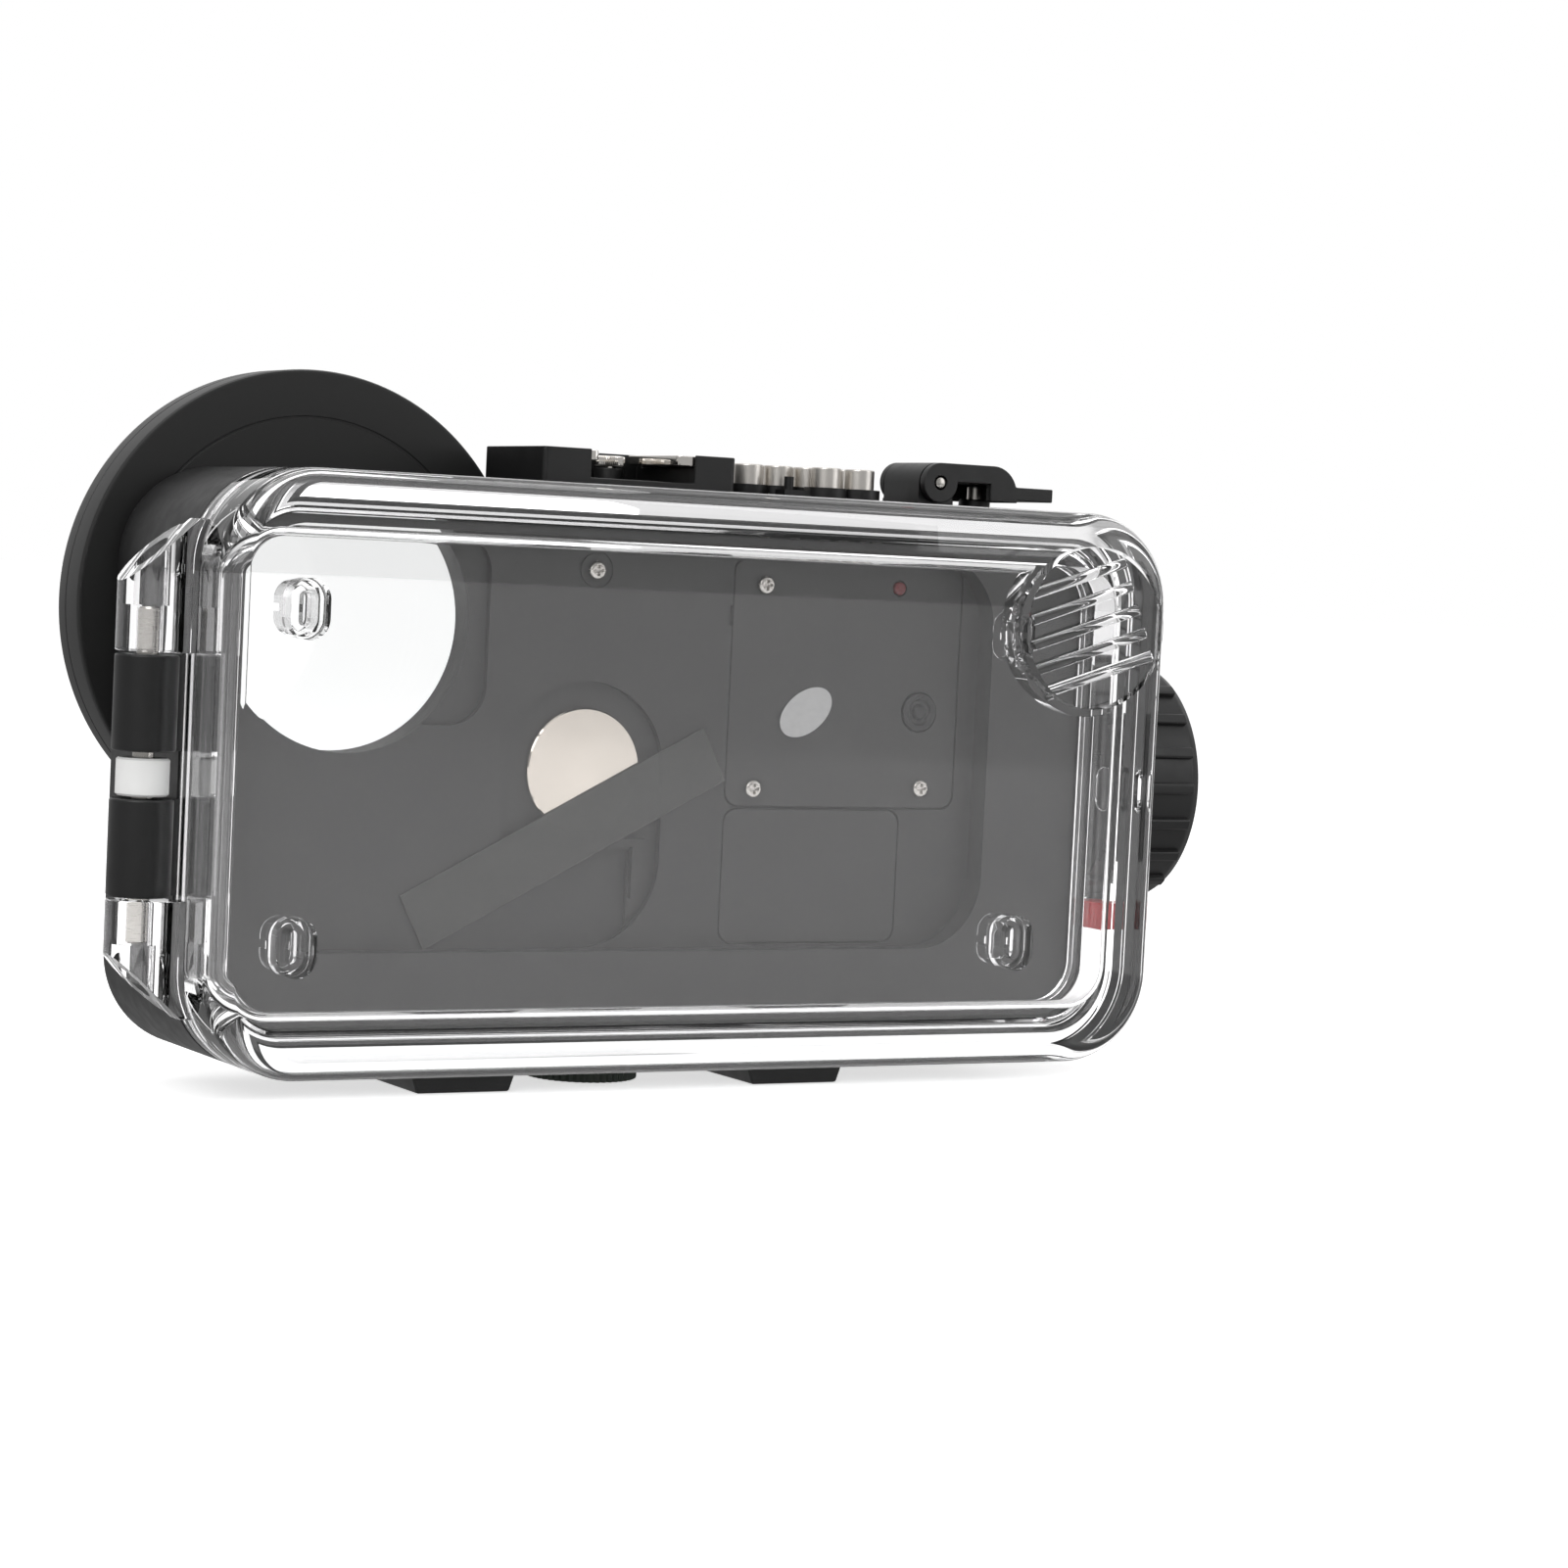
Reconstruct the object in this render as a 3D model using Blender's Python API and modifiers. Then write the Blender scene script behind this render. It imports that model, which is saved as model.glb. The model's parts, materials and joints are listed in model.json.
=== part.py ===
"""Underwater housing for a phone, modelled in Blender as separate parts at real size.

Units are metres, +Z is up, +X is the latch side, and -Y is the diver's side with the clear cover.
The housing is drawn about the middle of its parting plane and then stood on its two feet.
"""

from math import asin, atan2, cos, pi, radians, sin, sqrt

import bmesh
import bpy
from mathutils import Matrix, Vector

# Shell outline, shared by the clear cover and the body
SHELL_WIDTH = 0.2100
SHELL_HEIGHT = 0.1142
SHELL_CORNER = 0.0190
FIT_GAP = 0.0003

# Clear cover
COVER_DEPTH = 0.0200
COVER_SIDE_WALL = 0.0100
COVER_HINGE_WALL = 0.0035
COVER_HINGE_FLANGE = 0.0040
COVER_EDGE_WALL = 0.0112
COVER_FRONT_ROUND = 0.0045
WINDOW_THICKNESS = 0.0050
WINDOW_ROUND = 0.0020
CAVITY_MOUTH_RUN = 0.0010

# Stops on the window that press on the phone
STOP_WIDTH = 0.0080
STOP_HEIGHT = 0.0115
STOP_LENGTH = 0.0100
STOP_TIP_LENGTH = 0.0045
STOP_TIP_STEP = 0.0005
STOP_WALL = 0.0013
STOP_SLIT = 0.0015
STOP_SLIT_DEPTH = 0.0032
STOP_BORE_WIDTH = 0.0023
STOP_BORE_HEIGHT = 0.0067
STOP_FLOOR = 0.0015
STOP_LEFT_INSET = 0.0179
STOP_RIGHT_INSET = 0.0326
STOP_TOP_INSET = 0.0262
STOP_BOTTOM_INSET = 0.0250

# Finger scoop in the cover's latch corner
SCOOP_RADIUS = 0.0184
SCOOP_SIDE_INSET = 0.0186
SCOOP_TOP_INSET = 0.0237
SCOOP_WALL = 0.0016
SCOOP_DEPTH = 0.0080
SCOOP_LIP_DEPTH = 0.0006
SCOOP_FLOOR = 0.0022
SCOOP_RIBS = 5
SCOOP_RIB_WIDTH = 0.0014
SCOOP_RIB_HEIGHT = 0.0011
SCOOP_RIB_PITCH = 0.0051
SCOOP_RIB_TILT = radians(20)
SCOOP_RIB_END = 0.0114

# Latch lug on the cover
LUG_HEIGHT = 0.0095
LUG_WIDTH = 0.0056
LUG_RISE = 0.0009
LUG_Y = -0.0045
LUG_Z = -0.0006

# Hinge on the left side
HINGE_OFFSET = 0.0072
HINGE_RADIUS = 0.0060
HINGE_BORE = 0.0023
HINGE_PIN_RADIUS = 0.0020
HINGE_PIN_TOP = 0.0299
HINGE_PIN_BOTTOM = -0.0326
HINGE_WEB_DEPTH = 0.0050
KNUCKLE_TOP = (0.0031, 0.0211)
KNUCKLE_BOTTOM = (-0.0240, -0.0057)
KNUCKLE_GAP = 0.0005
HINGE_PLUG_RADIUS = 0.0030
HINGE_LUG_SHOULDER = 0.0345
HINGE_LUG_TOP = 0.0466
HINGE_LUG_REACH = 0.0025
SLEEVE_RADIUS = 0.0050
SLEEVE_SPAN = (-0.0052, 0.0019)

# Body
BODY_DEPTH = 0.0380
BODY_WALL = 0.0080
BODY_FRONT_WALL = 0.0040
BODY_BACK_ROUND = 0.0012
TRAY_REST_DEPTH = 0.0022
TRAY_REST_TOP_LEFT = (0.0020, 0.0140)
TRAY_REST_TOP_RIGHT = (0.0160, 0.0050)
TRAY_REST_BOTTOM_LEFT = (-0.0700, -0.0400)
TRAY_REST_BOTTOM_RIGHT = (0.0400, 0.0700)

# Cover seal
SEAL_CORD = 0.0024
SEAL_INSET = 0.0040

# Phone tray
TRAY_GAP = 0.0005
TRAY_FRONT_Y = 0.0025
TRAY_BACK_Y = 0.0120
BED_FLOOR_Y = 0.0080
BED_LEFT_MARGIN = 0.0044
BED_RIGHT_MARGIN = 0.0223
BED_BOTTOM_MARGIN = 0.0135
BED_TOP_MARGIN = 0.0017
BED_CORNER = 0.0150
BUMP_WIDTH = 0.0524
BUMP_HEIGHT = 0.0380
BUMP_DEPTH = 0.0015
BUMP_CORNER = 0.0080

# Camera window through the tray
WINDOW_RADIUS = 0.0260
WINDOW_SIDE_INSET = 0.0226
WINDOW_TOP_INSET = 0.0178
WINDOW_CORNER = 0.0120
WINDOW_COLLAR_DEPTH = 0.0037
WINDOW_COLLAR_WALL = 0.0015

# Magnet disc and the recess it lies in
DISC_RADIUS = 0.0124
DISC_FROM_PLATE = 0.0324
DISC_RISE = 0.0357
DISC_RECESS_MARGIN = 0.0054
DISC_RECESS_DEPTH = 0.0016
DISC_CROSS_WIDTH = 0.0016
DISC_CROSS_HEIGHT = 0.0012
DISC_CROSS_ASIDE = 0.0127
DISC_CROSS_DROP = 0.0145
DISC_CROSS_LEFT_ARM = 0.0071
DISC_CROSS_RIGHT_ARM = 0.0023
DISC_CROSS_LEG = 0.0112
DISC_GROOVE_ASIDE = 0.0062
DISC_GROOVE_WIDTH = 0.0053
DISC_GROOVE_DEPTH = 0.0010

# Pull strap over the disc
STRAP_LENGTH = 0.0740
STRAP_WIDTH = 0.0120
STRAP_THICKNESS = 0.0005
STRAP_TILT = radians(27.5)
STRAP_ASIDE = 0.0036
STRAP_DROP = 0.0133

# Electronics behind the tray
PLATE_THICKNESS = 0.0016
PLATE_CORNER = 0.0030
PLATE_WIDTH = 0.0545
PLATE_SIDE_INSET = 0.0048
PLATE_TOP_INSET = 0.0025
DOOR_WIDTH = 0.0415
DOOR_HEIGHT = 0.0280
DOOR_BOTTOM_INSET = 0.0010
BAY_WALL = 0.0015
BAY_BACK_GAP = 0.0027
BAY_RIM = 0.0035
BAY_POST_RADIUS = 0.0030
PLATE_SILL = 0.0095
BOARD_THICKNESS = 0.0016
BOARD_MARGIN = 0.0010
CELL_RADIUS = 0.0083
CELL_LENGTH = 0.0340
CELL_NUB_RADIUS = 0.0030
CELL_NUB_LENGTH = 0.0010
CELL_GAP = 0.0004
LED_SIDE_INSET = 0.0153
LED_TOP_INSET = 0.0048
LED_RADIUS = 0.0014
LED_RISE = 0.0005
LED_ROUND = 0.0004
SENSOR_RISE_OUT = 0.0005
SENSOR_RIM_WIDTH = 0.0014
SENSOR_RIM_ROUND = 0.0003
SENSOR_DOME_RISE = 0.0010
SENSOR_DOME_ROUND = 0.0005
SENSOR_SIDE_INSET = 0.0092
SENSOR_RISE = 0.0201
SENSOR_RADIUS = 0.0040
SENSOR_DOME_RADIUS = 0.0017
STICKER_LENGTH = 0.0135
STICKER_WIDTH = 0.0085
STICKER_THICKNESS = 0.0002
STICKER_SIDE_INSET = 0.0178
STICKER_RISE = 0.0195
STICKER_TILT = radians(35)

# Chassis screws
SCREW_HEAD_RADIUS = 0.00185
SCREW_HEAD_HEIGHT = 0.0009
SCREW_HEAD_EDGE = 0.0004
SCREW_HEAD_FLAT = 0.0011
SCREW_RADIUS = 0.0009
SCREW_LENGTH = 0.0062
SCREW_CROSS = 0.0021
SCREW_CROSS_WIDTH = 0.0005
SCREW_CROSS_DEPTH = 0.0005
SCREW_CLEARANCE = 0.0003
TRAY_SCREW_ASIDE = 0.0007
TRAY_SCREW_TOP_INSET = 0.0064
TOP_SCREW_INSET = (0.0070, 0.0053)
LEFT_SCREW_INSET = (0.0061, 0.0036)
RIGHT_SCREW_INSET = (0.0083, 0.0042)
POST_RADIUS = 0.0040

# Lens port on the far side
PORT_ASIDE = 0.0059
PORT_ABOVE = 0.0007
PORT_RADIUS = 0.0479
PORT_THICKNESS = 0.0120
PORT_STANDOFF = 0.0030
PORT_PAD_MARGIN = 0.0060
PORT_PAD_CLEARANCE = 0.0015
PORT_CLEAR_RADIUS = 0.0380
PORT_NEAR_WALL = 0.0050
PORT_EDGE_ROUND = 0.0008
GLASS_THICKNESS = 0.0030
GLASS_SEAT = 0.0015
GLASS_GAP = 0.0004
RING_THICKNESS = 0.0034
PORT_BORE_RADIUS = 0.0290
PORT_BORE_ASIDE = 0.0085
PORT_BORE_BELOW = 0.0007
PORT_BORE_ROOF = 0.0048
BORE_FLAT_SAG = 0.0006
PORT_BORE_FLARE = 1.14
PORT_SEAL_CORD = 0.0014
PORT_SEAL_OFFSET = 0.0022

# Latch knob on the right side
KNOB_RADIUS = 0.0278
KNOB_ROOT_RADIUS = 0.0268
KNOB_RIDGES = 22
KNOB_RIDGE_SHARE = 0.30
KNOB_RIDGE_FLANK = 0.0004
KNOB_WIDTH = 0.0188
KNOB_STANDOFF = 0.0015
KNOB_CROWN_RADIUS = 0.0255
KNOB_CROWN_WIDTH = 0.0030
KNOB_RECESS_RADIUS = 0.0235
KNOB_RECESS_DEPTH = 0.0040
KNOB_Y = 0.0200
KNOB_Z = -0.0003
SHAFT_RADIUS = 0.0030
SHAFT_FLANGE_RADIUS = 0.0036
SHAFT_FLANGE_WIDTH = 0.0018
RUNNING_GAP = 0.0003
CAM_RADIUS = 0.0205
CAM_LIFT = 0.0060
CAM_WIDTH = 0.0028
SHAFT_SEAL_WIDTH = 0.0016
SHAFT_SEAL_LENGTH = 0.0017
KNOB_SCREW_SEAT = 0.0043
KNOB_SCREW_HEAD_RADIUS = 0.0050
KNOB_SCREW_HEAD_WIDTH = 0.0018
KNOB_SCREW_HEAD_ROUND = 0.0006
KNOB_SCREW_RADIUS = 0.0015
KNOB_SCREW_LENGTH = 0.0080

# Red lock slider below the knob
SLIDER_WIDTH = 0.0064
SLIDER_STANDOFF = 0.0006
SLIDER_HEIGHT = 0.0056
SLIDER_FRONT_Y = -0.0070
SLIDER_BACK_Y = 0.0062
SLIDER_TOP_Z = -0.0249
SLIDER_TRAVEL = 0.0025
SLIDER_TONGUE = 0.0014
SLIDER_TONGUE_DEPTH = 0.0024
SLIDER_TONGUE_Y = 0.0040

# Control buttons on the top
BUTTON_RADIUS = 0.0032
BUTTON_TOP_RISE = 0.0068
BUTTON_STEM_RADIUS = 0.0015
BUTTON_BACK_ROW_Y = 0.0220
BUTTON_FRONT_ROW_Y = 0.0145
BUTTON_BACK_ROW = (0.0385, 0.0314, 0.0243, 0.0146)
BUTTON_FRONT_ROW = (0.0242, 0.0162)
BUTTON_STEM_REACH = 0.0026
BUTTON_CAP_OVERLAP = 0.0008
BUTTON_CHAMFER = 0.0003
GUARD_WALL = 0.0010
GUARD_RISE = 0.0026
GUARD_BAR_WIDTH = 0.0040
GUARD_BAR_RISE = 0.0018
STUD_RADIUS = 0.0010
STUD_RISE = 0.0045
STUD_FROM_LEVER = 0.0327
STUD_Y = 0.0150
CLIP_WIDTH = 0.0008
CLIP_THICKNESS = 0.0005
CLIP_GROOVE_DEPTH = 0.0005

# Shutter lever
LEVER_PIVOT_INSET = 0.0408
LEVER_PIVOT_RISE = 0.0050
LEVER_KNUCKLE_RADIUS = 0.0042
LEVER_FRONT_Y = 0.0080
LEVER_BACK_Y = 0.0260
LEVER_CHEEK = 0.0017
LEVER_ARM_REACH = 0.0132
LEVER_ARM_UNDERSIDE = 0.0003
LEVER_BEND_REACH = 0.0193
LEVER_PAD_REACH = 0.0282
LEVER_CROWN_DROP = 0.00175
LEVER_CROWN_END = radians(18)
LEVER_LEG_REACH = 0.0124
LEVER_LEG_DROP = 0.0033
LEVER_LEG_WEB = 0.0008
LEVER_PAD_THICKNESS = 0.0028
LEVER_PIN_RADIUS = 0.0012
LEVER_SLOT_REACH = 0.0060
BRACKET_NECK = 0.0042
BRACKET_SHOE = 0.0044
BRACKET_SHOE_HEIGHT = 0.0012
SHUTTER_FROM_PIVOT = 0.0142
SHUTTER_Y = 0.0170
SHUTTER_RADIUS = 0.00165
SHUTTER_STEM_RADIUS = 0.0010
SHUTTER_COLLAR_WALL = 0.0014
SHUTTER_COLLAR_RISE = 0.0021
SHUTTER_COLLAR_OVERLAP = 0.0008

# Accessory shoe on the top
SHOE_FROM_LEVER = 0.0492
SHOE_WIDTH = 0.0434
SHOE_BACK_INSET = 0.0027
SHOE_DEPTH = 0.0273
SHOE_RISE = 0.0074
SHOE_CORNER = 0.0010
SHOE_FLOOR = 0.0014
SHOE_BACK_WALL = 0.0020
SHOE_CHANNEL_INSET = 0.0106
SHOE_CHANNEL_WIDTH = 0.0234
RAIL_LEFT_INSET = 0.0035
RAIL_LEFT_WIDTH = 0.0093
RAIL_RIGHT_INSET = 0.0035
RAIL_RIGHT_WIDTH = 0.0095
RAIL_SEAT = 0.0025
RAIL_THICKNESS = 0.0020
RAIL_FRONT_INSET = 0.0008
RAIL_LENGTH = 0.0224
LOCK_SCREW_RADIUS = 0.0032
LOCK_SCREW_HEAD = 0.0022
LOCK_SCREW_STEM = 0.0014
LOCK_SCREW_INSET = 0.0251
LOCK_SCREW_BACK_INSET = 0.0065
LOCK_SCREW_TOP_RISE = 0.0068

# Feet and vacuum valve under the body
FOOT_HEIGHT = 0.0059
FOOT_WIDTH = 0.0240
FOOT_LEFT_X = -0.0415
FOOT_RIGHT_X = 0.0338
FOOT_DEPTH = 0.0300
FOOT_BACK_INSET = 0.0035
FOOT_TAPER = 0.0020
VALVE_X = -0.0084
VALVE_Y = 0.0195
VALVE_RADIUS = 0.0045
VALVE_FLANGE_RADIUS = 0.0062
VALVE_FLANGE_HEIGHT = 0.0018
CAP_RADIUS = 0.0116
CAP_HEIGHT = 0.0053
CAP_ROOF = 0.0010
CAP_FLUTES = 24
CAP_FLUTE_DEPTH = 0.0004
VALVE_SEAL_WIDTH = 0.0018
VALVE_SEAL_HEIGHT = 0.0014
VALVE_SEAL_RADIUS = 0.0088

CURVE_STEPS = 6
ROUND_SIDES = 32
SMALL_SIDES = 20
MERGE_DISTANCE = 0.000002
OVERRUN = 0.0010

# Faces that several parts share
HALF_WIDTH = SHELL_WIDTH / 2
HALF_HEIGHT = SHELL_HEIGHT / 2
BODY_FRONT_Y = FIT_GAP
BODY_INNER_Y = BODY_DEPTH - BODY_FRONT_WALL
INNER_HALF_WIDTH = HALF_WIDTH - BODY_WALL
INNER_HALF_HEIGHT = HALF_HEIGHT - BODY_WALL
TRAY_HALF_WIDTH = INNER_HALF_WIDTH - TRAY_GAP
TRAY_HALF_HEIGHT = INNER_HALF_HEIGHT - TRAY_GAP
TRAY_REST_Y = TRAY_BACK_Y + FIT_GAP
HINGE_X = -HALF_WIDTH - HINGE_OFFSET
WINDOW_INNER_Y = WINDOW_THICKNESS - COVER_DEPTH
TOP_SEAT_Z = HALF_HEIGHT + FIT_GAP
STEM_BOTTOM_Z = INNER_HALF_HEIGHT - BUTTON_STEM_REACH

# Cover: stops and scoop
STOP_LEFT_X = STOP_LEFT_INSET - HALF_WIDTH
STOP_RIGHT_X = HALF_WIDTH - STOP_RIGHT_INSET
STOP_TOP_Z = HALF_HEIGHT - STOP_TOP_INSET
STOP_BOTTOM_Z = STOP_BOTTOM_INSET - HALF_HEIGHT
SCOOP_X = HALF_WIDTH - SCOOP_SIDE_INSET
SCOOP_Z = HALF_HEIGHT - SCOOP_TOP_INSET

# Tray: the phone bed and what lies on it
BED_LEFT_X = BED_LEFT_MARGIN - TRAY_HALF_WIDTH
BED_RIGHT_X = TRAY_HALF_WIDTH - BED_RIGHT_MARGIN
BED_BOTTOM_Z = BED_BOTTOM_MARGIN - TRAY_HALF_HEIGHT
BED_TOP_Z = TRAY_HALF_HEIGHT - BED_TOP_MARGIN
BUMP_RIGHT_X = BED_LEFT_X + BUMP_WIDTH
BUMP_BOTTOM_Z = BED_TOP_Z - BUMP_HEIGHT
WINDOW_X = BED_LEFT_X + WINDOW_SIDE_INSET
WINDOW_Z = BED_TOP_Z - WINDOW_TOP_INSET
PLATE_RIGHT_X = BED_RIGHT_X - PLATE_SIDE_INSET
PLATE_LEFT_X = PLATE_RIGHT_X - PLATE_WIDTH
PLATE_TOP_Z = BED_TOP_Z - PLATE_TOP_INSET
DOOR_RIGHT_X = PLATE_LEFT_X + DOOR_WIDTH
DOOR_BOTTOM_Z = BED_BOTTOM_Z + DOOR_BOTTOM_INSET
PLATE_BOTTOM_Z = DOOR_BOTTOM_Z + DOOR_HEIGHT
BAY_BACK_Y = BODY_INNER_Y - BAY_BACK_GAP
LED_X = PLATE_RIGHT_X - LED_SIDE_INSET
LED_Z = PLATE_TOP_Z - LED_TOP_INSET
SENSOR_X = PLATE_RIGHT_X - SENSOR_SIDE_INSET
SENSOR_Z = PLATE_BOTTOM_Z + SENSOR_RISE
STICKER_X = PLATE_LEFT_X + STICKER_SIDE_INSET
STICKER_Z = PLATE_BOTTOM_Z + STICKER_RISE
DISC_X = PLATE_LEFT_X - DISC_FROM_PLATE
DISC_Z = BED_BOTTOM_Z + DISC_RISE
STRAP_X = DISC_X - STRAP_ASIDE
STRAP_Z = DISC_Z - STRAP_DROP
DISC_CROSS_X = DISC_X + DISC_CROSS_ASIDE
DISC_CROSS_Z = DISC_Z - DISC_CROSS_DROP
DISC_GROOVE_X = DISC_X + DISC_GROOVE_ASIDE
TRAY_SCREW = (DISC_X + TRAY_SCREW_ASIDE, BED_TOP_Z - TRAY_SCREW_TOP_INSET)
PLATE_SCREWS = (
    (PLATE_LEFT_X + TOP_SCREW_INSET[0], PLATE_TOP_Z - TOP_SCREW_INSET[1]),
    (PLATE_LEFT_X + LEFT_SCREW_INSET[0], PLATE_BOTTOM_Z + LEFT_SCREW_INSET[1]),
    (PLATE_RIGHT_X - RIGHT_SCREW_INSET[0], PLATE_BOTTOM_Z + RIGHT_SCREW_INSET[1]),
)

# Lens port, in line with the camera window
PORT_X = WINDOW_X + PORT_ASIDE
PORT_Z = WINDOW_Z + PORT_ABOVE
PORT_BORE_X = WINDOW_X + PORT_BORE_ASIDE
PORT_BORE_Z = WINDOW_Z - PORT_BORE_BELOW
PORT_FRONT_Y = BODY_DEPTH + PORT_STANDOFF
PORT_BACK_Y = PORT_FRONT_Y + PORT_THICKNESS
BORE_TOP_Z = HALF_HEIGHT - PORT_BORE_ROOF

# Latch and top controls, measured from the latch side
KNOB_INNER_X = HALF_WIDTH + KNOB_STANDOFF
KNOB_OUTER_X = KNOB_INNER_X + KNOB_WIDTH
LEVER_PIVOT_X = HALF_WIDTH - LEVER_PIVOT_INSET
LEVER_PIVOT_Z = HALF_HEIGHT + LEVER_PIVOT_RISE
SHUTTER_X = LEVER_PIVOT_X + SHUTTER_FROM_PIVOT
BACK_ROW_X = [LEVER_PIVOT_X - reach for reach in BUTTON_BACK_ROW]
FRONT_ROW_X = [LEVER_PIVOT_X - reach for reach in BUTTON_FRONT_ROW]
BUTTON_SPOTS = (
    (BACK_ROW_X[0], BUTTON_BACK_ROW_Y),
    (BACK_ROW_X[1], BUTTON_BACK_ROW_Y),
    (BACK_ROW_X[2], BUTTON_BACK_ROW_Y),
    (FRONT_ROW_X[0], BUTTON_FRONT_ROW_Y),
    (FRONT_ROW_X[1], BUTTON_FRONT_ROW_Y),
    (BACK_ROW_X[3], BUTTON_BACK_ROW_Y),
)
STUD_X = LEVER_PIVOT_X - STUD_FROM_LEVER
SHOE_RIGHT_X = LEVER_PIVOT_X - SHOE_FROM_LEVER
SHOE_LEFT_X = SHOE_RIGHT_X - SHOE_WIDTH
SHOE_BACK_Y = BODY_DEPTH - SHOE_BACK_INSET
SHOE_FRONT_Y = SHOE_BACK_Y - SHOE_DEPTH
CHANNEL_LEFT_X = SHOE_LEFT_X + SHOE_CHANNEL_INSET
CHANNEL_RIGHT_X = CHANNEL_LEFT_X + SHOE_CHANNEL_WIDTH
RAIL_FRONT_Y = SHOE_FRONT_Y + RAIL_FRONT_INSET
RAIL_BACK_Y = RAIL_FRONT_Y + RAIL_LENGTH
LOCK_SCREW_X = SHOE_LEFT_X + LOCK_SCREW_INSET
LOCK_SCREW_Y = SHOE_BACK_Y - LOCK_SCREW_BACK_INSET

# Feet
FOOT_BOTTOM_Z = -TOP_SEAT_Z - FOOT_HEIGHT
FOOT_BACK_Y = BODY_DEPTH - FOOT_BACK_INSET
FOOT_FRONT_Y = FOOT_BACK_Y - FOOT_DEPTH

# The box round the whole housing, whose bottom middle is the world's origin
BOX_LEFT = min(HINGE_X - HINGE_RADIUS, PORT_X - PORT_RADIUS)
BOX_RIGHT = max(KNOB_OUTER_X, HALF_WIDTH)
BOX_MIDDLE = Vector(((BOX_LEFT + BOX_RIGHT) / 2, (PORT_BACK_Y - COVER_DEPTH) / 2, FOOT_BOTTOM_Z))


def clear_scene():
    for existing in list(bpy.data.objects):
        bpy.data.objects.remove(existing, do_unlink=True)


def new_collection(name):
    collection = bpy.data.collections.new(name)
    bpy.context.scene.collection.children.link(collection)
    return collection


clear_scene()
PARTS = new_collection("underwater_phone_housing")
CUTTERS = new_collection("cutters")
CUTTERS.hide_render = True


def new_empty(name, location, parent=None):
    empty = bpy.data.objects.new(name, None)
    empty.empty_display_size = 0.01
    empty.location = location
    empty.parent = parent
    PARTS.objects.link(empty)
    return empty


ROOT = new_empty("housing_root", -BOX_MIDDLE)
COVER_AXIS = new_empty("cover_hinge_axis", (HINGE_X, 0, 0), ROOT)


def new_material(name, colour, roughness, metallic=0.0, transmission=0.0):
    material = bpy.data.materials.new(name)
    material.use_nodes = True
    shader = material.node_tree.nodes["Principled BSDF"]
    shader.inputs["Base Color"].default_value = (*colour, 1.0)
    shader.inputs["Roughness"].default_value = roughness
    shader.inputs["Metallic"].default_value = metallic
    shader.inputs["Transmission Weight"].default_value = transmission
    return material


BLACK = new_material("black_plastic", (0.014, 0.014, 0.015), 0.55)
DARK = new_material("dark_port_finish", (0.018, 0.018, 0.019), 0.45)
GREY = new_material("grey_tray_plastic", (0.118, 0.116, 0.116), 0.60)
CLEAR = new_material("clear_polycarbonate", (0.95, 0.96, 0.97), 0.03, transmission=0.95)
GLASS = new_material("port_glass", (0.97, 0.98, 0.98), 0.01, transmission=1.0)
STEEL = new_material("brushed_steel", (0.62, 0.59, 0.56), 0.28, metallic=1.0)
CHROME = new_material("polished_steel", (0.86, 0.86, 0.86), 0.08, metallic=1.0)
WHITE = new_material("white_nylon", (0.86, 0.86, 0.85), 0.45)
RED = new_material("red_plastic", (0.62, 0.012, 0.015), 0.40)
RUBBER = new_material("seal_rubber", (0.020, 0.020, 0.020), 0.70)
BOARD = new_material("circuit_board_green", (0.02, 0.12, 0.05), 0.50)
FILM = new_material("grey_film", (0.09, 0.09, 0.09), 0.45)
LABEL = new_material("silver_label", (0.62, 0.62, 0.62), 0.35)
GREEN_BLACK = new_material("dark_green_plastic", (0.012, 0.022, 0.012), 0.50)


def place(made, location):
    """Puts an object at a spot given in the housing's own coordinates."""
    offset = Vector() if made.parent is ROOT else made.parent.location
    made.location = Vector(location) - offset


def add_object(name, mesh, material, location=(0, 0, 0), parent=None):
    made = bpy.data.objects.new(name, mesh)
    made.parent = parent or ROOT
    place(made, location)
    mesh.materials.clear()
    mesh.materials.append(material)
    mesh.shade_smooth()
    mesh.set_sharp_from_angle(angle=radians(32))
    PARTS.objects.link(made)
    return made


def as_tool(made):
    """Makes an object a hidden tool for a Boolean."""
    PARTS.objects.unlink(made)
    CUTTERS.objects.link(made)
    made.hide_render = True
    made.display_type = "WIRE"
    return made


def boolean(target, tool, operation):
    modifier = target.modifiers.new(f"{operation.lower()} {tool.name}", "BOOLEAN")
    modifier.operation = operation
    modifier.solver = "EXACT"
    modifier.object = as_tool(tool)


def cut(target, *tools):
    for tool in tools:
        boolean(target, tool, "DIFFERENCE")


def join(target, *tools):
    for tool in tools:
        boolean(target, tool, "UNION")


def mesh_from(build, name):
    """Runs a bmesh recipe and returns its mesh."""
    work = bmesh.new()
    build(work)
    bmesh.ops.recalc_face_normals(work, faces=work.faces)
    mesh = bpy.data.meshes.new(name)
    work.to_mesh(mesh)
    work.free()
    return mesh


def block(name, low, high, material, parent=None):
    """A box between two corners."""
    size = Vector(high) - Vector(low)

    def build(work):
        bmesh.ops.create_cube(work, size=1.0)
        bmesh.ops.scale(work, vec=size, verts=work.verts)

    return add_object(name, mesh_from(build, name), material, (Vector(low) + Vector(high)) / 2, parent)


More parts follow.
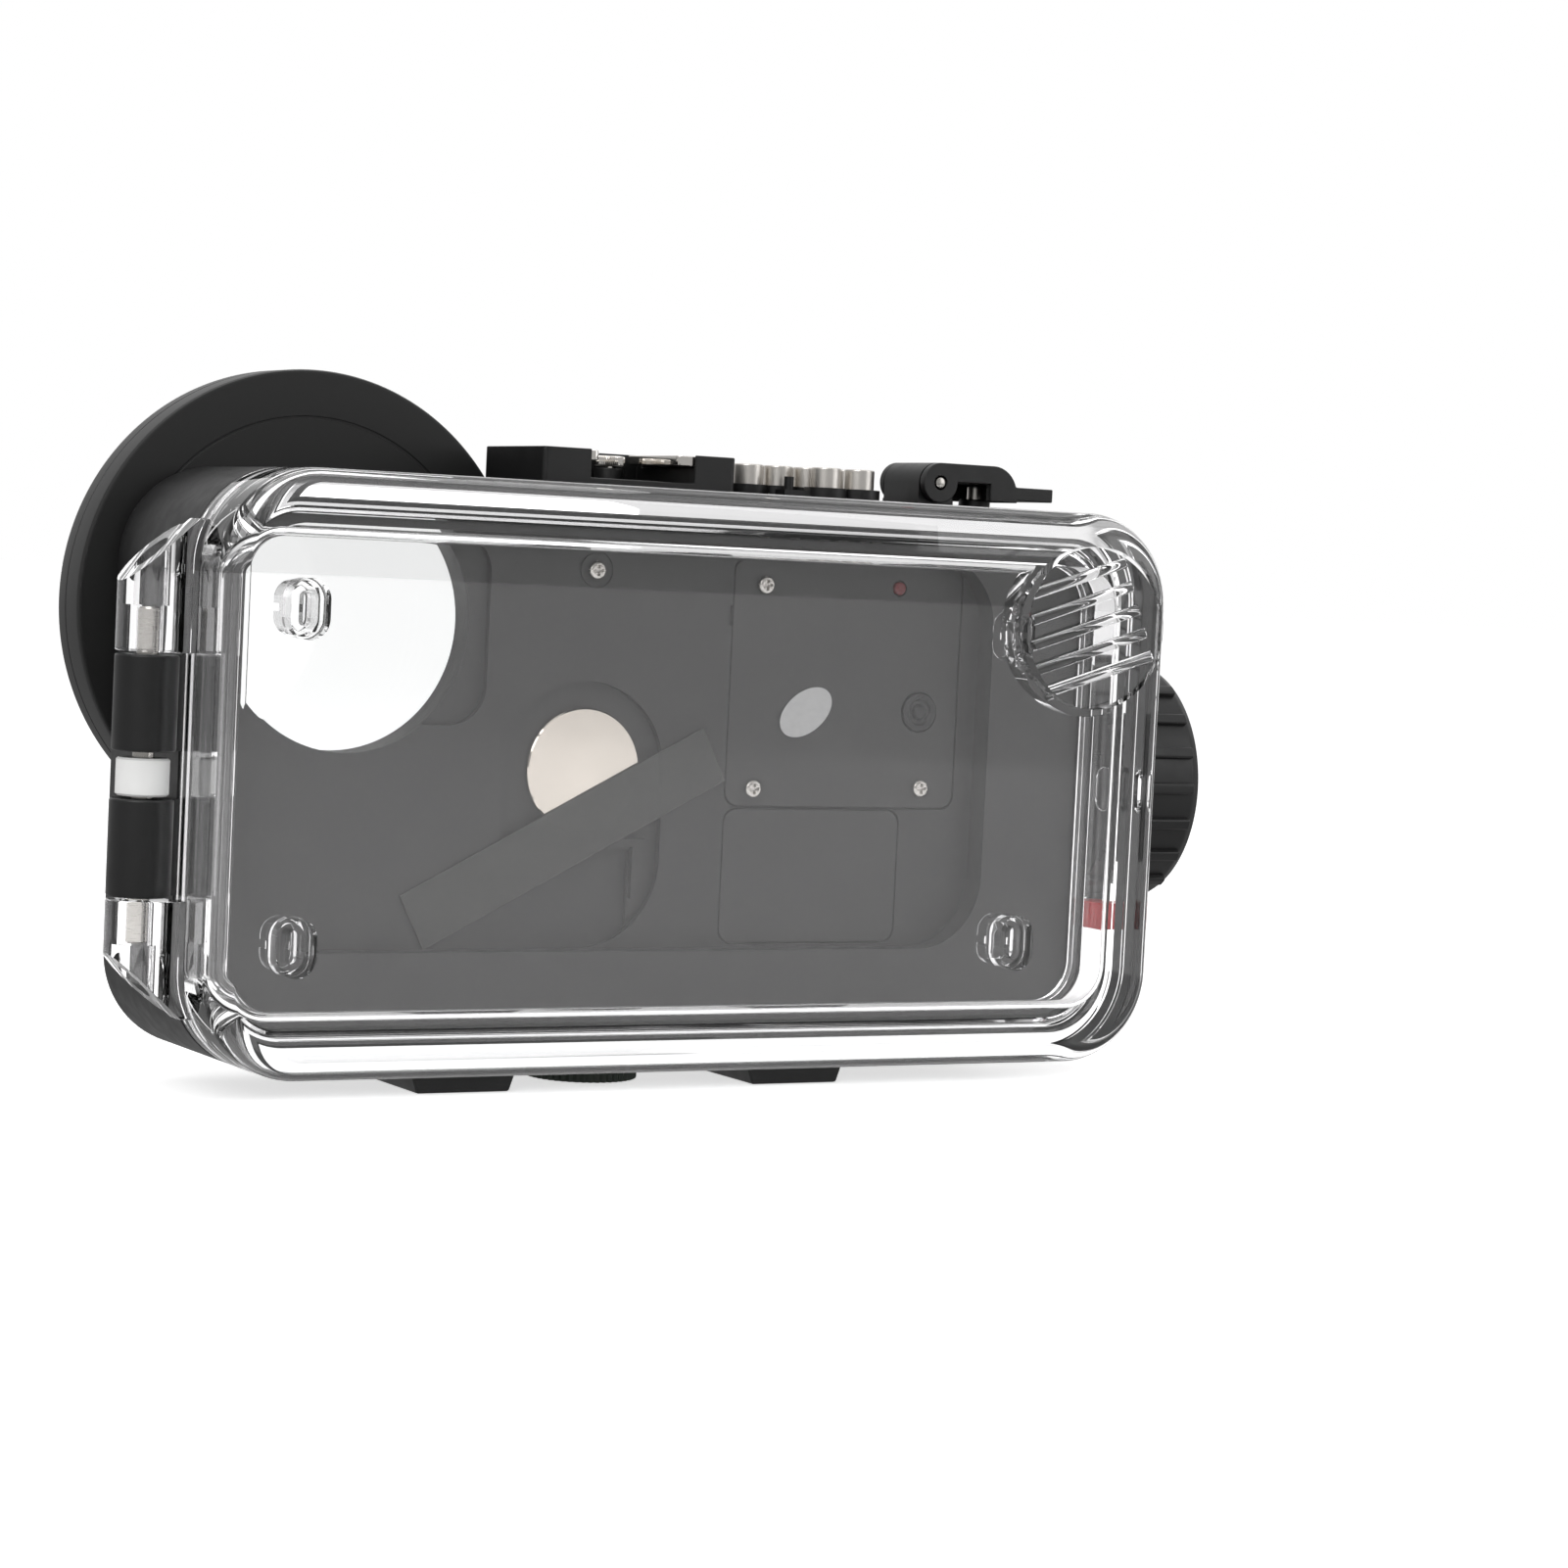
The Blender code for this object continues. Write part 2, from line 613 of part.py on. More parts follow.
def rod(name, radius, length, axis, centre, material, parent=None, sides=ROUND_SIDES, end_radius=None):
    """A cylinder or a cone along X, Y or Z."""

    def build(work):
        bmesh.ops.create_cone(
            work,
            cap_ends=True,
            segments=sides,
            radius1=radius,
            radius2=radius if end_radius is None else end_radius,
            depth=length,
        )

    made = add_object(name, mesh_from(build, name), material, centre, parent)
    made.rotation_euler = {"X": (0, pi / 2, 0), "Y": (-pi / 2, 0, 0), "Z": (0, 0, 0)}[axis]
    return made


def tub(
    name,
    width,
    height,
    corner,
    front_y,
    back_y,
    material,
    front_round=0.0,
    back_round=0.0,
    parent=None,
    aside=0.0,
):
    """A box that faces along Y, with round upright corners and soft front or back edges."""
    depth = back_y - front_y

    def build(work):
        bmesh.ops.create_cube(work, size=1.0)
        bmesh.ops.scale(work, vec=(width, depth, height), verts=work.verts)
        upright = [e for e in work.edges if abs(e.verts[0].co.y - e.verts[1].co.y) > depth / 2]
        bmesh.ops.bevel(
            work, geom=upright, offset=corner, segments=CURVE_STEPS, profile=0.5, affect="EDGES"
        )
        for side, amount in ((-1, front_round), (1, back_round)):
            if amount:
                rim = [
                    e
                    for e in work.edges
                    if all(abs(v.co.y - side * depth / 2) < MERGE_DISTANCE for v in e.verts)
                ]
                bmesh.ops.bevel(work, geom=rim, offset=amount, segments=3, profile=0.5, affect="EDGES")

    return add_object(name, mesh_from(build, name), material, (aside, (front_y + back_y) / 2, 0), parent)


def arc(centre, radius, start, end, steps):
    """Points along an arc, angles in radians."""
    return [
        (
            centre[0] + radius * cos(start + (end - start) * i / steps),
            centre[1] + radius * sin(start + (end - start) * i / steps),
        )
        for i in range(steps + 1)
    ]


def circle(centre, radius, sides=ROUND_SIDES):
    return arc(centre, radius, 0, 2 * pi, sides)[:-1]


def round_box(low, high, corner, steps=CURVE_STEPS):
    """A rectangle's outline with round corners."""
    points = []
    spots = (
        (high[0] - corner, high[1] - corner),
        (low[0] + corner, high[1] - corner),
        (low[0] + corner, low[1] + corner),
        (high[0] - corner, low[1] + corner),
    )
    for index, spot in enumerate(spots):
        points += arc(spot, corner, index * pi / 2, (index + 1) * pi / 2, steps)
    return points


def stadium(centre, width, height, steps=8):
    """A slot shape that stands upright."""
    radius = width / 2
    reach = height / 2 - radius
    upper = arc((centre[0], centre[1] + reach), radius, 0, pi, steps)
    lower = arc((centre[0], centre[1] - reach), radius, pi, 2 * pi, steps)
    return upper + lower


PLANE_TURNS = {
    "XY": Matrix.Identity(4),
    "XZ": Matrix.Rotation(pi / 2, 4, "X"),
    "YZ": Matrix.Rotation(pi / 2, 4, "Z") @ Matrix.Rotation(pi / 2, 4, "X"),
}
PLANE_NORMALS = {"XY": Vector((0, 0, 1)), "XZ": Vector((0, 1, 0)), "YZ": Vector((1, 0, 0))}


def prism(name, outlines, plane, low, high, material, location=(0, 0, 0), parent=None):
    """A flat outline, with any holes, given its thickness between low and high along its plane's normal."""
    curve = bpy.data.curves.new(name, "CURVE")
    curve.dimensions = "2D"
    curve.fill_mode = "BOTH"
    curve.extrude = (high - low) / 2
    for outline in outlines:
        spline = curve.splines.new("POLY")
        spline.points.add(len(outline) - 1)
        for point, (u, v) in zip(spline.points, outline):
            point.co = (u, v, 0, 1)
        spline.use_cyclic_u = True
    drawn = bpy.data.objects.new(name, curve)
    bpy.context.scene.collection.objects.link(drawn)
    graph = bpy.context.evaluated_depsgraph_get()
    mesh = bpy.data.meshes.new_from_object(drawn.evaluated_get(graph))
    bpy.data.objects.remove(drawn, do_unlink=True)
    bpy.data.curves.remove(curve)
    work = bmesh.new()
    work.from_mesh(mesh)
    bmesh.ops.remove_doubles(work, verts=work.verts, dist=MERGE_DISTANCE)
    turn = Matrix.Translation(PLANE_NORMALS[plane] * (low + high) / 2) @ PLANE_TURNS[plane]
    bmesh.ops.transform(work, matrix=turn, verts=work.verts)
    bmesh.ops.recalc_face_normals(work, faces=work.faces)
    work.to_mesh(mesh)
    work.free()
    mesh.name = name
    return add_object(name, mesh, material, location, parent)


def turned(name, profile, axis, centre, material, parent=None, steps=ROUND_SIDES, closed=False):
    """A turned part. The profile holds (radius, height) pairs that run down its outer side."""
    mesh = bpy.data.meshes.new(name)
    points = [(radius, 0, height) for radius, height in profile]
    edges = [(i, i + 1) for i in range(len(points) - 1)]
    if closed:
        edges.append((len(points) - 1, 0))
    mesh.from_pydata(points, edges, [])
    made = add_object(name, mesh, material, centre, parent)
    made.rotation_euler = {"X": (0, pi / 2, 0), "Y": (-pi / 2, 0, 0), "Z": (0, 0, 0)}[axis]
    screw = made.modifiers.new("turn", "SCREW")
    screw.steps = steps
    screw.render_steps = steps
    screw.use_merge_vertices = True
    screw.merge_threshold = MERGE_DISTANCE
    screw.use_smooth_shade = True
    return made


def ring(name, inner, outer, low, high, axis, centre, material, parent=None, steps=ROUND_SIDES):
    """A flat ring between two heights along its axis."""
    profile = ((inner, high), (outer, high), (outer, low), (inner, low))
    return turned(name, profile, axis, centre, material, parent, steps, closed=True)


def cord_loop(name, points, thickness, plane, depth, material, sides_resolution=1):
    """A closed cord that lies flat in a groove."""
    curve = bpy.data.curves.new(name, "CURVE")
    curve.dimensions = "3D"
    curve.bevel_depth = thickness / 2
    curve.bevel_resolution = sides_resolution
    spline = curve.splines.new("POLY")
    spline.points.add(len(points) - 1)
    for point, (u, v) in zip(spline.points, points):
        place = PLANE_TURNS[plane] @ Vector((u, v, 0))
        point.co = (*(place + PLANE_NORMALS[plane] * depth), 1)
    spline.use_cyclic_u = True
    made = bpy.data.objects.new(name, curve)
    curve.materials.append(material)
    made.parent = ROOT
    PARTS.objects.link(made)
    return made


def camera_outline(grow=0.0):
    """The camera window: a circle cut straight at the phone's left and top edges."""
    radius = WINDOW_RADIUS + grow
    left = BED_LEFT_X - grow
    top = BED_TOP_Z + grow
    corner = WINDOW_CORNER + grow
    start = atan2(-sqrt(radius**2 - (left - WINDOW_X) ** 2), left - WINDOW_X)
    end = asin((top - WINDOW_Z) / radius)
    sweep = arc((WINDOW_X, WINDOW_Z), radius, start, end, 3 * CURVE_STEPS)
    bend = arc((left + corner, top - corner), corner, pi / 2, pi, CURVE_STEPS)
    return sweep + bend


def bore_outline(grow=0.0):
    """The hole in the body's far wall: a circle with a flat top under the body's roof."""
    radius = PORT_BORE_RADIUS + grow
    rise = min(BORE_TOP_Z + grow - PORT_BORE_Z, radius - BORE_FLAT_SAG)
    end = asin(rise / radius)
    return arc((PORT_BORE_X, PORT_BORE_Z), radius, -pi - end, end, ROUND_SIDES)


def shared_copy(source, name, location):
    """A second object on the evaluated mesh of one that is already built."""
    graph = bpy.context.evaluated_depsgraph_get()
    mesh = bpy.data.meshes.new_from_object(source.evaluated_get(graph))
    copy = bpy.data.objects.new(name, mesh)
    copy.location = location
    copy.parent = source.parent
    copy.rotation_euler = source.rotation_euler
    PARTS.objects.link(copy)
    return copy


def slant_end(made, centre, end_y, end_y_at):
    """Slants the far end of a Y cylinder, whose depth then follows end_y_at(x)."""
    turn = made.rotation_euler.to_matrix()
    back = turn.inverted()
    for vertex in made.data.vertices:
        spot = turn @ vertex.co + centre
        if abs(spot.y - end_y) < MERGE_DISTANCE:
            spot.y = end_y_at(spot.x)
            vertex.co = back @ (spot - centre)


def scoop_floor_y(x, raised=0.0):
    """The slanting floor of the finger scoop, deep on its left and shallow at the cover's edge."""
    share = (x - (SCOOP_X - SCOOP_RADIUS)) / (2 * SCOOP_RADIUS)
    depth = SCOOP_DEPTH + (SCOOP_LIP_DEPTH - SCOOP_DEPTH) * share
    return depth - COVER_DEPTH + raised


def slanted_rod(name, radius, front_y, raised):
    deep_y = front_y + SCOOP_DEPTH
    centre = Vector((SCOOP_X, (front_y + deep_y) / 2, SCOOP_Z))
    made = rod(name, radius, deep_y - front_y, "Y", centre, CLEAR, COVER_AXIS, sides=48)
    slant_end(made, centre, deep_y, lambda x: scoop_floor_y(x, raised))
    return made


def scoop_rib(index):
    """One raised rib on the scoop's floor, kept inside the round wall."""
    aside = (index - (SCOOP_RIBS - 1) / 2) * SCOOP_RIB_PITCH
    room = SCOOP_RADIUS - 2 * SCOOP_WALL
    reach = sqrt(max(room**2 - aside**2, (room / 3) ** 2))
    low, high = -reach, min(reach, SCOOP_RIB_END)
    slope = atan2(SCOOP_LIP_DEPTH - SCOOP_DEPTH, 2 * SCOOP_RADIUS)
    turn = Matrix.Rotation(slope, 3, "Z") @ Matrix.Rotation(-SCOOP_RIB_TILT, 3, "Y")
    middle = turn @ Vector(((low + high) / 2, 0, aside))
    x = SCOOP_X + middle.x
    half = Vector(((high - low) / 2, SCOOP_RIB_HEIGHT, SCOOP_RIB_WIDTH / 2))
    rib = block(f"scoop_rib_{index + 1}", -half, half, CLEAR, COVER_AXIS)
    rib.rotation_euler = turn.to_euler()
    place(rib, (x, scoop_floor_y(x), SCOOP_Z + middle.z))
    return rib


def stacked(name, loops, material, parent=None):
    """A solid drawn by loops that each hold as many points, with the first and the last one closed."""

    def build(work):
        rows = [[work.verts.new(point) for point in loop] for loop in loops]
        for lower, upper in zip(rows, rows[1:]):
            for index, vertex in enumerate(lower):
                before = index - 1
                work.faces.new((lower[before], vertex, upper[index], upper[before]))
        work.faces.new(rows[0])
        work.faces.new(rows[-1])

    return add_object(name, mesh_from(build, name), material, parent=parent)


def add_stop(cover, index, x, z, hollow_width, hollow_height, floor_y):
    """A hollow pad on the window that presses on the phone, with a slit in its tip."""
    tip_y = WINDOW_INNER_Y + STOP_LENGTH
    step_y = tip_y - STOP_TIP_LENGTH
    tip_width = STOP_WIDTH - 2 * STOP_TIP_STEP
    tip_height = STOP_HEIGHT - 2 * STOP_TIP_STEP
    mouth_width = STOP_WIDTH - 2 * STOP_WALL
    mouth_height = STOP_HEIGHT - 2 * STOP_WALL
    mouth_y = step_y - STOP_TIP_STEP
    levels = (
        (STOP_WIDTH, STOP_HEIGHT, WINDOW_INNER_Y - OVERRUN),
        (STOP_WIDTH, STOP_HEIGHT, step_y),
        (tip_width, tip_height, step_y),
        (tip_width, tip_height, tip_y),
        (mouth_width, mouth_height, tip_y),
        (mouth_width, mouth_height, mouth_y),
        (hollow_width, hollow_height, mouth_y),
        (hollow_width, hollow_height, floor_y),
    )
    loops = [[(u, y, v) for u, v in stadium((x, z), width, height, 7)] for width, height, y in levels]
    stop = stacked(f"stop_{index}", loops, CLEAR, COVER_AXIS)
    slit = block(
        f"stop_slit_{index}",
        (x - STOP_WIDTH, tip_y - STOP_SLIT_DEPTH, z - STOP_SLIT / 2),
        (x, tip_y + OVERRUN, z + STOP_SLIT / 2),
        CLEAR,
        COVER_AXIS,
    )
    cut(stop, slit)
    join(cover, stop)


def hinge_lug(side):
    """One of the cover's two clear lugs, with its top sloping down to the barrel."""
    end = -2 * pi - asin(FIT_GAP / HINGE_RADIUS)
    web_x = -HALF_WIDTH + HINGE_LUG_REACH
    outline = arc((HINGE_X, 0), HINGE_RADIUS, -pi / 2, end, 24)
    outline += [(web_x, -FIT_GAP), (web_x, -HINGE_RADIUS)]
    near = (KNUCKLE_TOP[1] if side > 0 else -KNUCKLE_BOTTOM[0]) + KNUCKLE_GAP
    low, high = sorted((side * near, side * HINGE_LUG_TOP))
    lug = prism(f"hinge_lug_{side}", [outline], "XY", low, high, CLEAR, parent=COVER_AXIS)
    outer = Vector((HINGE_X - HINGE_RADIUS, HINGE_LUG_SHOULDER))
    inner = Vector((-HALF_WIDTH, HINGE_LUG_TOP))
    run = (inner - outer).normalized() * HINGE_RADIUS
    corners = (outer - run, inner + run, (outer.x - run.x, inner.y + run.y))
    slope = [(x, side * z) for x, z in corners]
    trim = prism(
        f"lug_trim_{side}",
        [slope],
        "XZ",
        -2 * HINGE_RADIUS,
        2 * HINGE_RADIUS,
        CLEAR,
        parent=COVER_AXIS,
    )
    return lug, trim


def clear_cover():
    cover = tub(
        "clear_cover",
        SHELL_WIDTH,
        SHELL_HEIGHT,
        SHELL_CORNER,
        -COVER_DEPTH,
        0,
        CLEAR,
        front_round=COVER_FRONT_ROUND,
        parent=COVER_AXIS,
    )
    cavity = tub(
        "cover_cavity",
        SHELL_WIDTH - COVER_SIDE_WALL - COVER_HINGE_WALL,
        SHELL_HEIGHT - 2 * COVER_EDGE_WALL,
        SHELL_CORNER - COVER_SIDE_WALL,
        WINDOW_INNER_Y,
        -COVER_HINGE_FLANGE,
        CLEAR,
        front_round=WINDOW_ROUND,
        parent=COVER_AXIS,
        aside=(COVER_HINGE_WALL - COVER_SIDE_WALL) / 2,
    )
    mouth = tub(
        "cover_mouth",
        SHELL_WIDTH - 2 * COVER_SIDE_WALL,
        SHELL_HEIGHT - 2 * COVER_EDGE_WALL,
        SHELL_CORNER - COVER_SIDE_WALL,
        -COVER_HINGE_FLANGE - OVERRUN,
        CAVITY_MOUTH_RUN,
        CLEAR,
        parent=COVER_AXIS,
    )
    cut(cover, cavity, mouth)
    window_middle = (WINDOW_INNER_Y - COVER_DEPTH) / 2
    join(cover, slanted_rod("scoop_wall", SCOOP_RADIUS, window_middle, SCOOP_FLOOR))
    well = (STOP_BORE_WIDTH, STOP_BORE_HEIGHT, WINDOW_INNER_Y + STOP_FLOOR)
    add_stop(cover, 1, STOP_LEFT_X, STOP_TOP_Z, *well)
    add_stop(cover, 2, STOP_LEFT_X, STOP_BOTTOM_Z, *well)
    add_stop(cover, 3, STOP_RIGHT_X, STOP_BOTTOM_Z, *well)
    add_stop(cover, 4, STOP_RIGHT_X, STOP_TOP_Z, *well)
    cut(cover, slanted_rod("scoop_hollow", SCOOP_RADIUS - SCOOP_WALL, -COVER_DEPTH - OVERRUN, 0.0))
    join(cover, *(scoop_rib(index) for index in range(SCOOP_RIBS)))
    lug = prism(
        "latch_lug",
        [stadium((LUG_Y, LUG_Z), LUG_WIDTH, LUG_HEIGHT)],
        "YZ",
        HALF_WIDTH - OVERRUN,
        HALF_WIDTH + LUG_RISE,
        CLEAR,
        parent=COVER_AXIS,
    )
    join(cover, lug)
    for side in (1, -1):
        hinge, trim = hinge_lug(side)
        cut(hinge, trim)
        join(cover, hinge)
        pin_end = (HINGE_PIN_TOP if side > 0 else -HINGE_PIN_BOTTOM) + FIT_GAP
        bore_low, bore_high = sorted((side * (KNUCKLE_TOP[0]), side * (pin_end + OVERRUN)))
        bore_middle = (HINGE_X, 0, (bore_low + bore_high) / 2)
        bore = rod(
            f"lug_bore_{side}", HINGE_BORE, bore_high - bore_low, "Z", bore_middle, CLEAR, COVER_AXIS
        )
        plug_low, plug_high = sorted((side * pin_end, side * HINGE_LUG_TOP))
        plug_middle = (HINGE_X, 0, (plug_low + plug_high) / 2)
        plug = rod(
            f"lug_plug_{side}", HINGE_PLUG_RADIUS, plug_high - plug_low, "Z", plug_middle, CLEAR, COVER_AXIS
        )
        cut(cover, bore, plug)
    return cover


def drill(target, name, radius, axis, low, high, spot, sides=SMALL_SIDES):
    """Cuts a round hole between two heights on an axis that passes through the spot."""
    index = "XYZ".index(axis)
    centre = list(spot)
    centre[index] = (low + high) / 2
    cut(target, rod(name, radius, high - low, axis, centre, BLACK, sides=sides))


def top_spots():
    """Where each stem goes through the roof, with the radius of its hole."""
    spots = [(x, y, BUTTON_STEM_RADIUS + RUNNING_GAP) for x, y in BUTTON_SPOTS]
    spots.append((SHUTTER_X, SHUTTER_Y, SHUTTER_STEM_RADIUS + RUNNING_GAP))
    return spots


def seal_loop(inset):
    """The line round the parting face at this distance inside the shell's outline."""
    reach_x = HALF_WIDTH - inset
    reach_z = HALF_HEIGHT - inset
    return round_box((-reach_x, -reach_z), (reach_x, reach_z), SHELL_CORNER - inset)


def housing_body():
    body = tub(
        "housing_body",
        SHELL_WIDTH,
        SHELL_HEIGHT,
        SHELL_CORNER,
        BODY_FRONT_Y,
        BODY_DEPTH,
        BLACK,
        back_round=BODY_BACK_ROUND,
    )
    cavity = tub(
        "body_cavity",
        2 * INNER_HALF_WIDTH,
        2 * INNER_HALF_HEIGHT,
        SHELL_CORNER - BODY_WALL,
        -OVERRUN,
        BODY_INNER_Y,
        BLACK,
    )
    cut(body, cavity)
    add_knuckles(body)
    groove_side = SEAL_CORD / 2 + FIT_GAP
    groove = prism(
        "seal_groove",
        [seal_loop(SEAL_INSET - groove_side), seal_loop(SEAL_INSET + groove_side)],
        "XZ",
        -OVERRUN,
        BODY_FRONT_Y + SEAL_CORD + FIT_GAP,
        BLACK,
    )
    cut(body, groove)
    add_tray_rests(body)
    bore_span = (BODY_INNER_Y - OVERRUN, BODY_DEPTH + OVERRUN)
    cut(body, prism("port_bore", [bore_outline()], "XZ", *bore_span, BLACK))
    seal_side = PORT_SEAL_CORD / 2 + FIT_GAP
    port_groove = prism(
        "port_seal_groove",
        [bore_outline(PORT_SEAL_OFFSET + seal_side), bore_outline(PORT_SEAL_OFFSET - seal_side)],
        "XZ",
        BODY_DEPTH - PORT_SEAL_CORD - FIT_GAP,
        BODY_DEPTH + OVERRUN,
        BLACK,
    )
    cut(body, port_groove)
    for index, (x, y, radius) in enumerate(top_spots(), 1):
        low = INNER_HALF_HEIGHT - OVERRUN
        drill(body, f"stem_hole_{index}", radius, "Z", low, HALF_HEIGHT + OVERRUN, (x, y, 0))
    add_latch_holes(body)
    valve_spot = (VALVE_X, VALVE_Y, 0)
    valve_hole = VALVE_RADIUS + FIT_GAP
    low = -HALF_HEIGHT - OVERRUN
    drill(body, "valve_hole", valve_hole, "Z", low, OVERRUN - INNER_HALF_HEIGHT, valve_spot)
    seal_half = VALVE_SEAL_WIDTH / 2 + FIT_GAP
    valve_groove = ring(
        "valve_seal_groove",
        VALVE_SEAL_RADIUS - seal_half,
        VALVE_SEAL_RADIUS + seal_half,
        low,
        -HALF_HEIGHT + VALVE_SEAL_HEIGHT + FIT_GAP,
        "Z",
        valve_spot,
        BLACK,
    )
    cut(body, valve_groove)
    return body


def add_knuckles(body):
    """The body's two hinge barrels on their webs."""
    for index, (low, high) in enumerate((KNUCKLE_TOP, KNUCKLE_BOTTOM), 1):
        middle = (HINGE_X, 0, (low + high) / 2)
        barrel = rod(f"knuckle_{index}", HINGE_RADIUS, high - low, "Z", middle, BLACK)
        web = block(
            f"knuckle_web_{index}",
            (HINGE_X, BODY_FRONT_Y, low),
            (OVERRUN - HALF_WIDTH, BODY_FRONT_Y + HINGE_WEB_DEPTH, high),
            BLACK,
        )
        join(barrel, web)
        join(body, barrel)
    span = (KNUCKLE_BOTTOM[0] - OVERRUN, KNUCKLE_TOP[1] + OVERRUN)
    drill(body, "knuckle_bore", HINGE_BORE, "Z", *span, (HINGE_X, 0, 0))


def add_tray_rests(body):
    """Ledges that the phone tray stands on, and the post behind the tray's own screw."""
    post = (TRAY_SCREW[0], 0, TRAY_SCREW[1])
    middle_y = (TRAY_REST_Y + BODY_INNER_Y + OVERRUN) / 2
    length = BODY_INNER_Y + OVERRUN - TRAY_REST_Y
    join(body, rod("tray_post", POST_RADIUS, length, "Y", (post[0], middle_y, post[2]), BLACK))
    tip_y = TRAY_BACK_Y - SCREW_LENGTH
    depth = TRAY_REST_Y + SCREW_LENGTH - (TRAY_BACK_Y - BED_FLOOR_Y) + FIT_GAP
    drill(body, "tray_post_hole", SCREW_RADIUS + SCREW_CLEARANCE, "Y", tip_y, depth, post)
    from_bump = [BUMP_RIGHT_X + reach for reach in TRAY_REST_TOP_LEFT]
    from_side = [HALF_WIDTH - BODY_WALL - reach for reach in TRAY_REST_TOP_RIGHT]
    ledges = (
        (from_bump, 1),
        (from_side, 1),
        (TRAY_REST_BOTTOM_LEFT, -1),
        (TRAY_REST_BOTTOM_RIGHT, -1),
    )
    for index, ((low_x, high_x), side) in enumerate(ledges, 1):
        inner = side * (INNER_HALF_HEIGHT - TRAY_REST_DEPTH)
        outer = side * (INNER_HALF_HEIGHT + OVERRUN)
        low_z, high_z = sorted((inner, outer))
        ledge = block(
            f"tray_ledge_{index}",
            (low_x, TRAY_REST_Y, low_z),
            (high_x, BODY_INNER_Y + OVERRUN, high_z),
            BLACK,
        )
        join(body, ledge)


def add_latch_holes(body):
    """The knob shaft's hole with its seal's seat, and the slot that guides the lock slider."""
    spot = (0, KNOB_Y, KNOB_Z)
    low = INNER_HALF_WIDTH - OVERRUN
    high = HALF_WIDTH + OVERRUN
    drill(body, "shaft_hole", SHAFT_RADIUS + RUNNING_GAP, "X", low, high, spot)
    seat_radius = SHAFT_RADIUS + 2 * RUNNING_GAP + SHAFT_SEAL_WIDTH
    seat_low = HALF_WIDTH - SHAFT_SEAL_LENGTH - 2 * FIT_GAP
    drill(body, "shaft_seal_seat", seat_radius, "X", seat_low, high, spot)
    slot = block(
        "slider_slot",
        (
            HALF_WIDTH - SLIDER_TONGUE_DEPTH - FIT_GAP,
            SLIDER_TONGUE_Y - RUNNING_GAP,
            SLIDER_TOP_Z - SLIDER_HEIGHT - SLIDER_TRAVEL,
        ),
        (high, SLIDER_TONGUE_Y + SLIDER_TONGUE + RUNNING_GAP, SLIDER_TOP_Z),
        BLACK,
    )
    cut(body, slot)


def hinge_parts():
    pin_middle = (HINGE_X, 0, (HINGE_PIN_TOP + HINGE_PIN_BOTTOM) / 2)
    length = HINGE_PIN_TOP - HINGE_PIN_BOTTOM
    rod("hinge_pin", HINGE_PIN_RADIUS, length, "Z", pin_middle, STEEL, sides=24)
    ring("hinge_sleeve", HINGE_BORE, SLEEVE_RADIUS, *SLEEVE_SPAN, "Z", (HINGE_X, 0, 0), WHITE)


def cover_seal():
    depth = BODY_FRONT_Y + SEAL_CORD / 2
    cord_loop("cover_seal", seal_loop(SEAL_INSET), SEAL_CORD, "XZ", depth, RUBBER)


def plate_spots():
    return [(x, 0, z) for x, z in PLATE_SCREWS]


def phone_tray():
    """The grey tray: a phone bed with the camera window, and pockets for the electronics."""
    corner = SHELL_CORNER - BODY_WALL - TRAY_GAP
    tray = tub(
        "phone_tray", 2 * TRAY_HALF_WIDTH, 2 * TRAY_HALF_HEIGHT, corner, TRAY_FRONT_Y, TRAY_BACK_Y, GREY
    )
    bed = prism(
        "phone_bed",
        [round_box((BED_LEFT_X, BED_BOTTOM_Z), (BED_RIGHT_X, BED_TOP_Z), BED_CORNER)],
        "XZ",
        TRAY_FRONT_Y - OVERRUN,
        BED_FLOOR_Y,
        GREY,
    )
    bump = prism(
        "camera_bump",
        [round_box((BED_LEFT_X, BUMP_BOTTOM_Z), (BUMP_RIGHT_X, BED_TOP_Z), BUMP_CORNER)],
        "XZ",
        TRAY_FRONT_Y,
        BED_FLOOR_Y + BUMP_DEPTH,
        GREY,
    )
    cut(tray, bed, bump)
    collar = prism(
        "window_collar",
        [camera_outline(WINDOW_COLLAR_WALL)],
        "XZ",
        TRAY_BACK_Y - OVERRUN,
        TRAY_BACK_Y + WINDOW_COLLAR_DEPTH,
        GREY,
    )
    join(tray, collar)
    opening_back = TRAY_BACK_Y + WINDOW_COLLAR_DEPTH + OVERRUN
    cut(tray, prism("camera_window", [camera_outline()], "XZ", TRAY_FRONT_Y - OVERRUN, opening_back, GREY))
    add_disc_recess(tray)
    add_plate_pockets(tray)
    return tray


